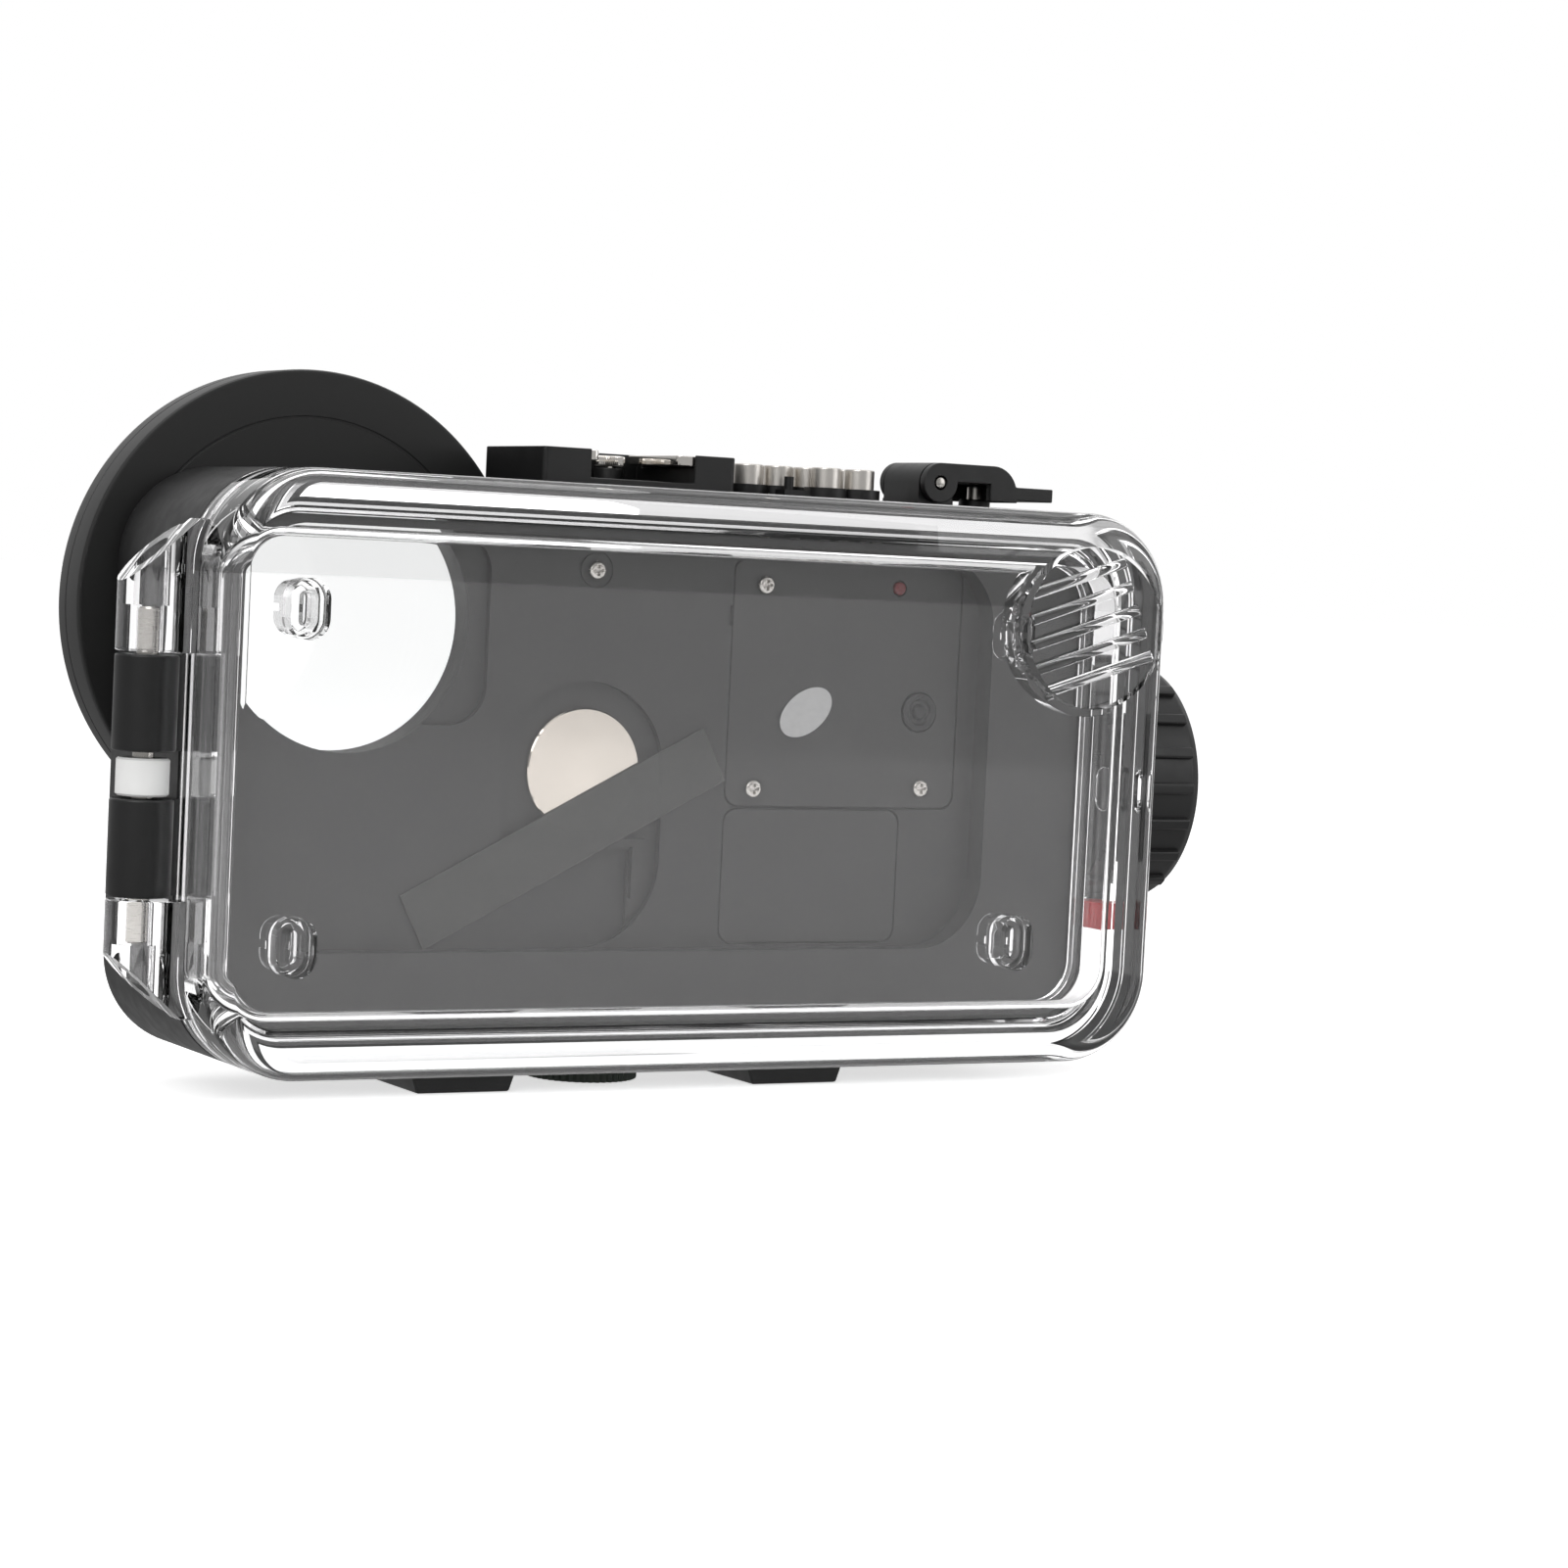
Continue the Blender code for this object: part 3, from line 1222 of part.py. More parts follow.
def add_disc_recess(tray):
    """The slot-shaped recess under the disc, with the raised cross and the groove in its floor."""
    radius = DISC_RADIUS + DISC_RECESS_MARGIN
    top = DISC_Z + radius
    middle = (DISC_X, (top + BED_BOTTOM_Z) / 2)
    floor_y = BED_FLOOR_Y + DISC_RECESS_DEPTH
    outline = [stadium(middle, 2 * radius, top - BED_BOTTOM_Z, 14)]
    cut(tray, prism("disc_recess", outline, "XZ", BED_FLOOR_Y - OVERRUN, floor_y, GREY))
    cross_y = floor_y - DISC_CROSS_HEIGHT
    half = DISC_CROSS_WIDTH / 2
    upright = block(
        "cross_upright",
        (DISC_CROSS_X - half, cross_y, DISC_CROSS_Z - DISC_CROSS_LEG),
        (DISC_CROSS_X + half, floor_y + OVERRUN, DISC_CROSS_Z + half),
        GREY,
    )
    arm = block(
        "cross_arm",
        (DISC_CROSS_X - DISC_CROSS_LEFT_ARM, cross_y, DISC_CROSS_Z - half),
        (DISC_CROSS_X + DISC_CROSS_RIGHT_ARM, floor_y + OVERRUN, DISC_CROSS_Z + half),
        GREY,
    )
    join(tray, upright, arm)
    groove = block(
        "cable_groove",
        (DISC_GROOVE_X, floor_y - OVERRUN, BED_BOTTOM_Z),
        (
            DISC_GROOVE_X + DISC_GROOVE_WIDTH,
            floor_y + DISC_GROOVE_DEPTH,
            DISC_CROSS_Z - DISC_CROSS_WIDTH,
        ),
        GREY,
    )
    cut(tray, groove)


def add_plate_pockets(tray):
    """Shallow pockets for the two cover plates, windows behind them and the screw holes."""
    pocket_y = BED_FLOOR_Y + PLATE_THICKNESS + FIT_GAP
    pockets = (
        ("plate", (PLATE_LEFT_X, PLATE_BOTTOM_Z), (PLATE_RIGHT_X, PLATE_TOP_Z)),
        ("door", (PLATE_LEFT_X, DOOR_BOTTOM_Z), (DOOR_RIGHT_X, PLATE_BOTTOM_Z - FIT_GAP)),
    )
    for name, low, high in pockets:
        low = (low[0] - FIT_GAP, low[1] - FIT_GAP)
        high = (high[0] + FIT_GAP, high[1] + FIT_GAP)
        outline = [round_box(low, high, PLATE_CORNER)]
        cut(tray, prism(f"{name}_pocket", outline, "XZ", BED_FLOOR_Y - OVERRUN, pocket_y, GREY))
    window = block(
        "board_window",
        (PLATE_LEFT_X + PLATE_SILL, pocket_y - OVERRUN, PLATE_BOTTOM_Z + PLATE_SILL),
        (PLATE_RIGHT_X - PLATE_SILL, TRAY_BACK_Y + OVERRUN, PLATE_TOP_Z - PLATE_SILL),
        GREY,
    )
    low, high = cell_box(CELL_GAP)
    cell_window = block(
        "cell_window",
        (low[0], pocket_y - OVERRUN, low[2]),
        (high[0], TRAY_BACK_Y + OVERRUN, high[2]),
        GREY,
    )
    cut(tray, window, cell_window)
    spots = plate_spots() + [(TRAY_SCREW[0], 0, TRAY_SCREW[1])]
    for index, spot in enumerate(spots, 1):
        span = (BED_FLOOR_Y - OVERRUN, TRAY_BACK_Y + OVERRUN)
        drill(tray, f"tray_hole_{index}", SCREW_RADIUS + SCREW_CLEARANCE, "Y", *span, spot)


def cell_box(gap):
    """The space of the battery cell, seen from the diver's side, with this gap round it."""
    middle_x = (PLATE_LEFT_X + DOOR_RIGHT_X) / 2
    middle_z = (PLATE_BOTTOM_Z + DOOR_BOTTOM_Z) / 2
    middle_y = TRAY_REST_Y + CELL_RADIUS + gap
    half_length = CELL_LENGTH / 2 + CELL_NUB_LENGTH + gap
    half_width = CELL_RADIUS + gap
    low = (middle_x - half_length, middle_y - half_width, middle_z - half_width)
    high = (middle_x + half_length, middle_y + half_width, middle_z + half_width)
    return low, high


def electronics_parts():
    plate_back = BED_FLOOR_Y + PLATE_THICKNESS
    plate = prism(
        "electronics_cover",
        [round_box((PLATE_LEFT_X, PLATE_BOTTOM_Z), (PLATE_RIGHT_X, PLATE_TOP_Z), PLATE_CORNER)],
        "XZ",
        BED_FLOOR_Y,
        plate_back,
        GREY,
    )
    span = (BED_FLOOR_Y - OVERRUN, plate_back + OVERRUN)
    for index, spot in enumerate(plate_spots(), 1):
        drill(plate, f"plate_hole_{index}", SCREW_RADIUS + SCREW_CLEARANCE, "Y", *span, spot)
    drill(plate, "led_hole", LED_RADIUS + FIT_GAP, "Y", *span, (LED_X, 0, LED_Z))
    drill(plate, "sensor_hole", SENSOR_RADIUS + FIT_GAP, "Y", *span, (SENSOR_X, 0, SENSOR_Z), ROUND_SIDES)
    door_top = PLATE_BOTTOM_Z - 2 * FIT_GAP
    prism(
        "battery_door",
        [round_box((PLATE_LEFT_X, DOOR_BOTTOM_Z), (DOOR_RIGHT_X, door_top), PLATE_CORNER)],
        "XZ",
        BED_FLOOR_Y,
        plate_back,
        GREY,
    )
    electronics_bay()
    led = (
        (0, plate_back),
        (LED_RADIUS, plate_back),
        (LED_RADIUS, BED_FLOOR_Y),
        (LED_RADIUS - LED_ROUND, BED_FLOOR_Y - LED_RISE + LED_ROUND / 3),
        (0, BED_FLOOR_Y - LED_RISE),
    )
    turned("leak_led", led, "Y", (LED_X, 0, LED_Z), RED, steps=16)
    sensor_front = BED_FLOOR_Y - SENSOR_RISE_OUT
    dome_front = BED_FLOOR_Y - SENSOR_DOME_RISE
    sensor = (
        (0, plate_back),
        (SENSOR_RADIUS, plate_back),
        (SENSOR_RADIUS, sensor_front + SENSOR_RIM_ROUND),
        (SENSOR_RADIUS - SENSOR_RIM_ROUND, sensor_front),
        (SENSOR_RADIUS - SENSOR_RIM_WIDTH, sensor_front),
        (SENSOR_RADIUS - SENSOR_RIM_WIDTH - SENSOR_RIM_ROUND, BED_FLOOR_Y),
        (SENSOR_DOME_RADIUS, BED_FLOOR_Y),
        (SENSOR_DOME_RADIUS - SENSOR_DOME_ROUND, dome_front + SENSOR_DOME_ROUND / 2),
        (0, dome_front),
    )
    turned("pressure_sensor", sensor, "Y", (SENSOR_X, 0, SENSOR_Z), BLACK, steps=24)
    oval = [
        (
            STICKER_X + u * cos(STICKER_TILT) - v * sin(STICKER_TILT),
            STICKER_Z + u * sin(STICKER_TILT) + v * cos(STICKER_TILT),
        )
        for u, v in (
            (STICKER_LENGTH / 2 * cos(turn), STICKER_WIDTH / 2 * sin(turn))
            for turn in (2 * pi * step / 28 for step in range(28))
        )
    ]
    sticker_back = BED_FLOOR_Y - FIT_GAP
    prism("inspection_label", [oval], "XZ", sticker_back - STICKER_THICKNESS, sticker_back, LABEL)


def electronics_bay():
    """The black box behind the tray, with one pocket for the board and one for the cell."""
    back_y = BAY_BACK_Y
    bay = block(
        "electronics_bay",
        (PLATE_LEFT_X, TRAY_REST_Y, DOOR_BOTTOM_Z),
        (PLATE_RIGHT_X, back_y, PLATE_TOP_Z),
        BLACK,
    )
    floor_y = back_y - BAY_WALL
    pocket_low = (PLATE_LEFT_X + BAY_RIM, PLATE_BOTTOM_Z + BAY_WALL)
    pocket_high = (PLATE_RIGHT_X - BAY_RIM, PLATE_TOP_Z - BAY_WALL)
    pocket = block(
        "board_pocket",
        (pocket_low[0], TRAY_REST_Y - OVERRUN, pocket_low[1]),
        (pocket_high[0], floor_y, pocket_high[1]),
        BLACK,
    )
    low, high = cell_box(CELL_GAP)
    cell_pocket = block("cell_pocket", (low[0], TRAY_REST_Y - OVERRUN, low[2]), high, BLACK)
    cut(bay, pocket, cell_pocket)
    hole = SCREW_RADIUS + SCREW_CLEARANCE
    tip_y = BED_FLOOR_Y + SCREW_LENGTH + OVERRUN
    for index, spot in enumerate(plate_spots(), 1):
        middle = (spot[0], (TRAY_REST_Y + floor_y + OVERRUN) / 2, spot[2])
        length = floor_y + OVERRUN - TRAY_REST_Y
        join(bay, rod(f"bay_post_{index}", BAY_POST_RADIUS, length, "Y", middle, BLACK, sides=16))
        drill(bay, f"bay_hole_{index}", hole, "Y", TRAY_REST_Y - OVERRUN, tip_y, spot)
    board_back = floor_y - FIT_GAP
    post_reach = BAY_POST_RADIUS + BOARD_MARGIN
    block(
        "circuit_board",
        (PLATE_SCREWS[0][0] + post_reach, board_back - BOARD_THICKNESS, PLATE_SCREWS[2][1] + post_reach),
        (pocket_high[0] - BOARD_MARGIN, board_back, pocket_high[1] - BOARD_MARGIN),
        BOARD,
    )
    middle = tuple((a + b) / 2 for a, b in zip(low, high))
    half = CELL_LENGTH / 2
    cell = (
        (0, half + CELL_NUB_LENGTH),
        (CELL_NUB_RADIUS, half + CELL_NUB_LENGTH),
        (CELL_NUB_RADIUS, half),
        (CELL_RADIUS, half),
        (CELL_RADIUS, -half - CELL_NUB_LENGTH),
        (0, -half - CELL_NUB_LENGTH),
    )
    turned("battery_cell", cell, "X", middle, STEEL, steps=24)


def chassis_screws():
    """Four cross-head screws that share one mesh."""
    head_back = BED_FLOOR_Y - FIT_GAP
    head_front = head_back - SCREW_HEAD_HEIGHT
    profile = (
        (0, head_back + SCREW_LENGTH),
        (SCREW_RADIUS, head_back + SCREW_LENGTH),
        (SCREW_RADIUS, head_back),
        (SCREW_HEAD_RADIUS, head_back),
        (SCREW_HEAD_RADIUS, head_back - SCREW_HEAD_EDGE),
        (SCREW_HEAD_FLAT, head_front),
        (0, head_front),
    )
    x, z = TRAY_SCREW
    first = turned("tray_screw", profile, "Y", (x, 0, z), STEEL, steps=24)
    reach = SCREW_CROSS / 2
    half = SCREW_CROSS_WIDTH / 2
    for name, wide, tall in (("cross_a", reach, half), ("cross_b", half, reach)):
        tool = block(
            name,
            (x - wide, head_front - OVERRUN, z - tall),
            (x + wide, head_front + SCREW_CROSS_DEPTH, z + tall),
            STEEL,
        )
        cut(first, tool)
    for index, (x, z) in enumerate(PLATE_SCREWS, 1):
        shared_copy(first, f"plate_screw_{index}", (x, 0, z))


def disc_and_strap():
    """The polished disc in its recess, and the film strap that crosses it."""
    back = BED_FLOOR_Y + DISC_RECESS_DEPTH - FIT_GAP
    middle = (DISC_X, (BED_FLOOR_Y + back) / 2, DISC_Z)
    rod("magnet_disc", DISC_RADIUS, back - BED_FLOOR_Y, "Y", middle, CHROME, sides=48)
    outline = []
    for v, u in stadium((0, 0), STRAP_WIDTH, STRAP_LENGTH):
        x = STRAP_X + u * cos(STRAP_TILT) - v * sin(STRAP_TILT)
        z = STRAP_Z + u * sin(STRAP_TILT) + v * cos(STRAP_TILT)
        outline.append((x, z))
    strap_back = BED_FLOOR_Y - FIT_GAP
    prism("pull_strap", [outline], "XZ", strap_back - STRAP_THICKNESS, strap_back, FILM)


def lens_port():
    """The wide round port on the far side: housing, glass, glass ring and the seal round the bore."""
    spot = (PORT_X, 0, PORT_Z)
    pocket = PORT_CLEAR_RADIUS + GLASS_SEAT + GLASS_GAP
    seat_y = PORT_FRONT_Y + PORT_NEAR_WALL
    edge = PORT_EDGE_ROUND
    profile = (
        (0, seat_y),
        (pocket, seat_y),
        (pocket, PORT_BACK_Y),
        (PORT_RADIUS - edge, PORT_BACK_Y),
        (PORT_RADIUS, PORT_BACK_Y - edge),
        (PORT_RADIUS, PORT_FRONT_Y + edge),
        (PORT_RADIUS - edge, PORT_FRONT_Y),
        (0, PORT_FRONT_Y),
    )
    housing = turned("port_housing", profile, "Y", spot, DARK, steps=64)
    pad = prism(
        "port_pad",
        [pad_outline()],
        "XZ",
        BODY_DEPTH + FIT_GAP,
        PORT_FRONT_Y + OVERRUN,
        DARK,
    )
    join(housing, pad)
    bore = prism("flared_bore", [bore_outline()], "XZ", BODY_DEPTH - OVERRUN, seat_y + OVERRUN, DARK)
    for vertex in bore.data.vertices:
        if vertex.co.y > seat_y:
            vertex.co.x = PORT_BORE_X + (vertex.co.x - PORT_BORE_X) * PORT_BORE_FLARE
            vertex.co.z = PORT_BORE_Z + (vertex.co.z - PORT_BORE_Z) * PORT_BORE_FLARE
            vertex.co.z = min(vertex.co.z, BORE_TOP_Z)
    cut(housing, bore)
    glass_front = seat_y + FIT_GAP
    glass_back = glass_front + GLASS_THICKNESS
    glass_middle = (PORT_X, (glass_front + glass_back) / 2, PORT_Z)
    glass_radius = PORT_CLEAR_RADIUS + GLASS_SEAT
    rod("port_glass", glass_radius, GLASS_THICKNESS, "Y", glass_middle, GLASS, sides=64)
    ring_front = glass_back + FIT_GAP
    ring_back = ring_front + RING_THICKNESS
    ring("glass_ring", PORT_CLEAR_RADIUS, glass_radius, ring_front, ring_back, "Y", spot, DARK, steps=64)
    depth = BODY_DEPTH - PORT_SEAL_CORD / 2
    cord_loop("port_seal", bore_outline(PORT_SEAL_OFFSET), PORT_SEAL_CORD, "XZ", depth, RUBBER)


def pad_outline():
    """The pad between the port and the body's far face, kept below the body's roof."""
    radius = PORT_BORE_RADIUS + PORT_PAD_MARGIN
    top = HALF_HEIGHT - PORT_PAD_CLEARANCE
    end = asin((top - PORT_BORE_Z) / radius)
    return arc((PORT_BORE_X, PORT_BORE_Z), radius, -pi - end, end, ROUND_SIDES)


def knob_outline():
    pitch = 2 * pi / KNOB_RIDGES
    half = pitch * KNOB_RIDGE_SHARE / 2
    slope = KNOB_RIDGE_FLANK / KNOB_RADIUS
    outline = []
    for index in range(KNOB_RIDGES):
        middle = index * pitch
        for radius, turn in (
            (KNOB_ROOT_RADIUS, middle - half - slope),
            (KNOB_RADIUS, middle - half),
            (KNOB_RADIUS, middle + half),
            (KNOB_ROOT_RADIUS, middle + half + slope),
        ):
            outline.append((KNOB_Y + radius * cos(turn), KNOB_Z + radius * sin(turn)))
    return outline


def latch_parts():
    """The ridged knob, the shaft, the spiral cam behind the knob, its screw and the shaft's seal."""
    spot = (0, KNOB_Y, KNOB_Z)
    crown_x = KNOB_OUTER_X - KNOB_CROWN_WIDTH
    axis_spot = (0, KNOB_Y, KNOB_Z)
    knob_axis = new_empty("knob_axis", axis_spot, ROOT)
    knob = prism("latch_knob", [knob_outline()], "YZ", KNOB_INNER_X, crown_x, BLACK, parent=knob_axis)
    crown_middle = ((crown_x - OVERRUN + KNOB_OUTER_X) / 2, KNOB_Y, KNOB_Z)
    crown = rod(
        "knob_crown",
        KNOB_ROOT_RADIUS,
        KNOB_CROWN_WIDTH + OVERRUN,
        "X",
        crown_middle,
        BLACK,
        knob_axis,
        sides=60,
        end_radius=KNOB_CROWN_RADIUS,
    )
    join(knob, crown)
    recess_x = KNOB_INNER_X + KNOB_RECESS_DEPTH
    seat_x = KNOB_OUTER_X - KNOB_SCREW_SEAT
    bore_radius = SHAFT_RADIUS + RUNNING_GAP
    drill(knob, "knob_recess", KNOB_RECESS_RADIUS, "X", KNOB_INNER_X - OVERRUN, recess_x, spot, 48)
    drill(knob, "knob_bore", bore_radius, "X", recess_x - OVERRUN, seat_x + OVERRUN, spot)
    head_room = KNOB_SCREW_HEAD_RADIUS + RUNNING_GAP
    drill(knob, "knob_counterbore", head_room, "X", seat_x, KNOB_OUTER_X + OVERRUN, spot, 24)
    shaft_end = seat_x - FIT_GAP
    flange_x = INNER_HALF_WIDTH - FIT_GAP
    screw_tip = seat_x + FIT_GAP - KNOB_SCREW_LENGTH
    hole_radius = KNOB_SCREW_RADIUS + FIT_GAP
    shaft = (
        (0, screw_tip - FIT_GAP),
        (hole_radius, screw_tip - FIT_GAP),
        (hole_radius, shaft_end),
        (SHAFT_RADIUS, shaft_end),
        (SHAFT_RADIUS, flange_x),
        (SHAFT_FLANGE_RADIUS, flange_x),
        (SHAFT_FLANGE_RADIUS, flange_x - SHAFT_FLANGE_WIDTH),
        (0, flange_x - SHAFT_FLANGE_WIDTH),
    )
    turned("latch_shaft", shaft, "X", spot, STEEL, knob_axis, steps=24)
    head_x = seat_x + FIT_GAP
    screw = (
        (0, head_x + KNOB_SCREW_HEAD_WIDTH),
        (KNOB_SCREW_HEAD_RADIUS - KNOB_SCREW_HEAD_ROUND, head_x + KNOB_SCREW_HEAD_WIDTH),
        (KNOB_SCREW_HEAD_RADIUS, head_x + KNOB_SCREW_HEAD_WIDTH - KNOB_SCREW_HEAD_ROUND),
        (KNOB_SCREW_HEAD_RADIUS, head_x),
        (KNOB_SCREW_RADIUS, head_x),
        (KNOB_SCREW_RADIUS, screw_tip),
        (0, screw_tip),
    )
    turned("knob_screw", screw, "X", spot, STEEL, knob_axis, steps=24)
    cam_low = KNOB_INNER_X + FIT_GAP
    turns = [2 * pi * step / 36 for step in range(36)]
    outline = []
    for turn in turns:
        radius = CAM_RADIUS - CAM_LIFT * turn / (2 * pi)
        outline.append((KNOB_Y + radius * cos(turn), KNOB_Z + radius * sin(turn)))
    hole = circle((KNOB_Y, KNOB_Z), bore_radius, SMALL_SIDES)
    prism("latch_cam", [outline, hole], "YZ", cam_low, cam_low + CAM_WIDTH, STEEL, parent=knob_axis)
    seal_back = HALF_WIDTH - FIT_GAP
    seal_outer = bore_radius + SHAFT_SEAL_WIDTH
    ring(
        "shaft_seal",
        bore_radius,
        seal_outer,
        seal_back - SHAFT_SEAL_LENGTH,
        seal_back,
        "X",
        spot,
        RUBBER,
        steps=24,
    )


def lock_slider():
    inner_x = HALF_WIDTH + SLIDER_STANDOFF
    slider = block(
        "lock_slider",
        (inner_x, SLIDER_FRONT_Y, SLIDER_TOP_Z - SLIDER_HEIGHT),
        (inner_x + SLIDER_WIDTH, SLIDER_BACK_Y, SLIDER_TOP_Z),
        RED,
    )
    rim = SLIDER_HEIGHT / 4
    tongue = block(
        "slider_tongue",
        (HALF_WIDTH - SLIDER_TONGUE_DEPTH, SLIDER_TONGUE_Y, SLIDER_TOP_Z - SLIDER_HEIGHT + rim),
        (inner_x + OVERRUN, SLIDER_TONGUE_Y + SLIDER_TONGUE, SLIDER_TOP_Z - rim),
        RED,
    )
    join(slider, tongue)


def push_buttons():
    """Six sprung steel buttons with their clips, in one black guard."""
    guard_top = HALF_HEIGHT + GUARD_RISE
    top = HALF_HEIGHT + BUTTON_TOP_RISE
    cap_bottom = guard_top - BUTTON_CAP_OVERLAP
    clip_top = INNER_HALF_HEIGHT - FIT_GAP
    groove_top = clip_top + FIT_GAP
    clip_bottom = clip_top - CLIP_THICKNESS
    groove_radius = BUTTON_STEM_RADIUS - CLIP_GROOVE_DEPTH
    profile = (
        (0, top),
        (BUTTON_RADIUS - BUTTON_CHAMFER, top),
        (BUTTON_RADIUS, top - BUTTON_CHAMFER),
        (BUTTON_RADIUS, cap_bottom),
        (BUTTON_STEM_RADIUS, cap_bottom),
        (BUTTON_STEM_RADIUS, groove_top),
        (groove_radius, groove_top),
        (groove_radius, clip_bottom - FIT_GAP),
        (BUTTON_STEM_RADIUS, clip_bottom - FIT_GAP),
        (BUTTON_STEM_RADIUS, STEM_BOTTOM_Z),
        (0, STEM_BOTTOM_Z),
    )
    clip_outer = BUTTON_STEM_RADIUS + CLIP_WIDTH
    guard = None
    bore_radius = BUTTON_RADIUS + RUNNING_GAP
    for index, (x, y) in enumerate(BUTTON_SPOTS, 1):
        spot = (x, y, 0)
        turned(f"push_button_{index}", profile, "Z", spot, STEEL, steps=20)
        inner = groove_radius + FIT_GAP
        ring(f"button_clip_{index}", inner, clip_outer, clip_bottom, clip_top, "Z", spot, STEEL, steps=12)
        middle = (x, y, (TOP_SEAT_Z + guard_top) / 2)
        length = guard_top - TOP_SEAT_Z
        name = "button_guard" if guard is None else f"guard_collar_{index}"
        collar = rod(name, bore_radius + GUARD_WALL, length, "Z", middle, BLACK, sides=20)
        if guard is None:
            guard = collar
        else:
            join(guard, collar)
    first, second = BUTTON_SPOTS[3], BUTTON_SPOTS[4]
    half = GUARD_BAR_WIDTH / 2
    bar = block(
        "guard_bar",
        (first[0], first[1] - half, TOP_SEAT_Z),
        (second[0], second[1] + half, HALF_HEIGHT + GUARD_BAR_RISE),
        BLACK,
    )
    stud_bottom = TOP_SEAT_Z
    stud_top = HALF_HEIGHT + STUD_RISE
    stud_middle = (STUD_X, STUD_Y, (stud_bottom + stud_top) / 2)
    stud = rod("guard_stud", STUD_RADIUS, stud_top - stud_bottom, "Z", stud_middle, BLACK, sides=16)
    foot = block(
        "stud_foot",
        (STUD_X - half, STUD_Y - half, TOP_SEAT_Z),
        (BUTTON_SPOTS[3][0], STUD_Y + half, HALF_HEIGHT + GUARD_BAR_RISE),
        BLACK,
    )
    join(guard, bar, foot, stud)
    for index, (x, y) in enumerate(BUTTON_SPOTS, 1):
        span = (TOP_SEAT_Z - OVERRUN, guard_top + OVERRUN)
        drill(guard, f"guard_bore_{index}", bore_radius, "Z", *span, (x, y, 0))


def shutter_parts():
    """The sprung shutter button, its collar, and the lever that presses it."""
    spot = (SHUTTER_X, SHUTTER_Y, 0)
    top = LEVER_PIVOT_Z + LEVER_ARM_UNDERSIDE - FIT_GAP
    collar_top = HALF_HEIGHT + SHUTTER_COLLAR_RISE
    cap_bottom = collar_top - SHUTTER_COLLAR_OVERLAP
    profile = (
        (0, top),
        (SHUTTER_RADIUS - BUTTON_CHAMFER, top),
        (SHUTTER_RADIUS, top - BUTTON_CHAMFER),
        (SHUTTER_RADIUS, cap_bottom),
        (SHUTTER_STEM_RADIUS, cap_bottom),
        (SHUTTER_STEM_RADIUS, STEM_BOTTOM_Z),
        (0, STEM_BOTTOM_Z),
    )
    turned("shutter_button", profile, "Z", spot, STEEL, steps=20)
    inner = SHUTTER_RADIUS + RUNNING_GAP
    outer = inner + SHUTTER_COLLAR_WALL
    ring("shutter_collar", inner, outer, TOP_SEAT_Z, collar_top, "Z", spot, BLACK, steps=24)
    lever_parts()


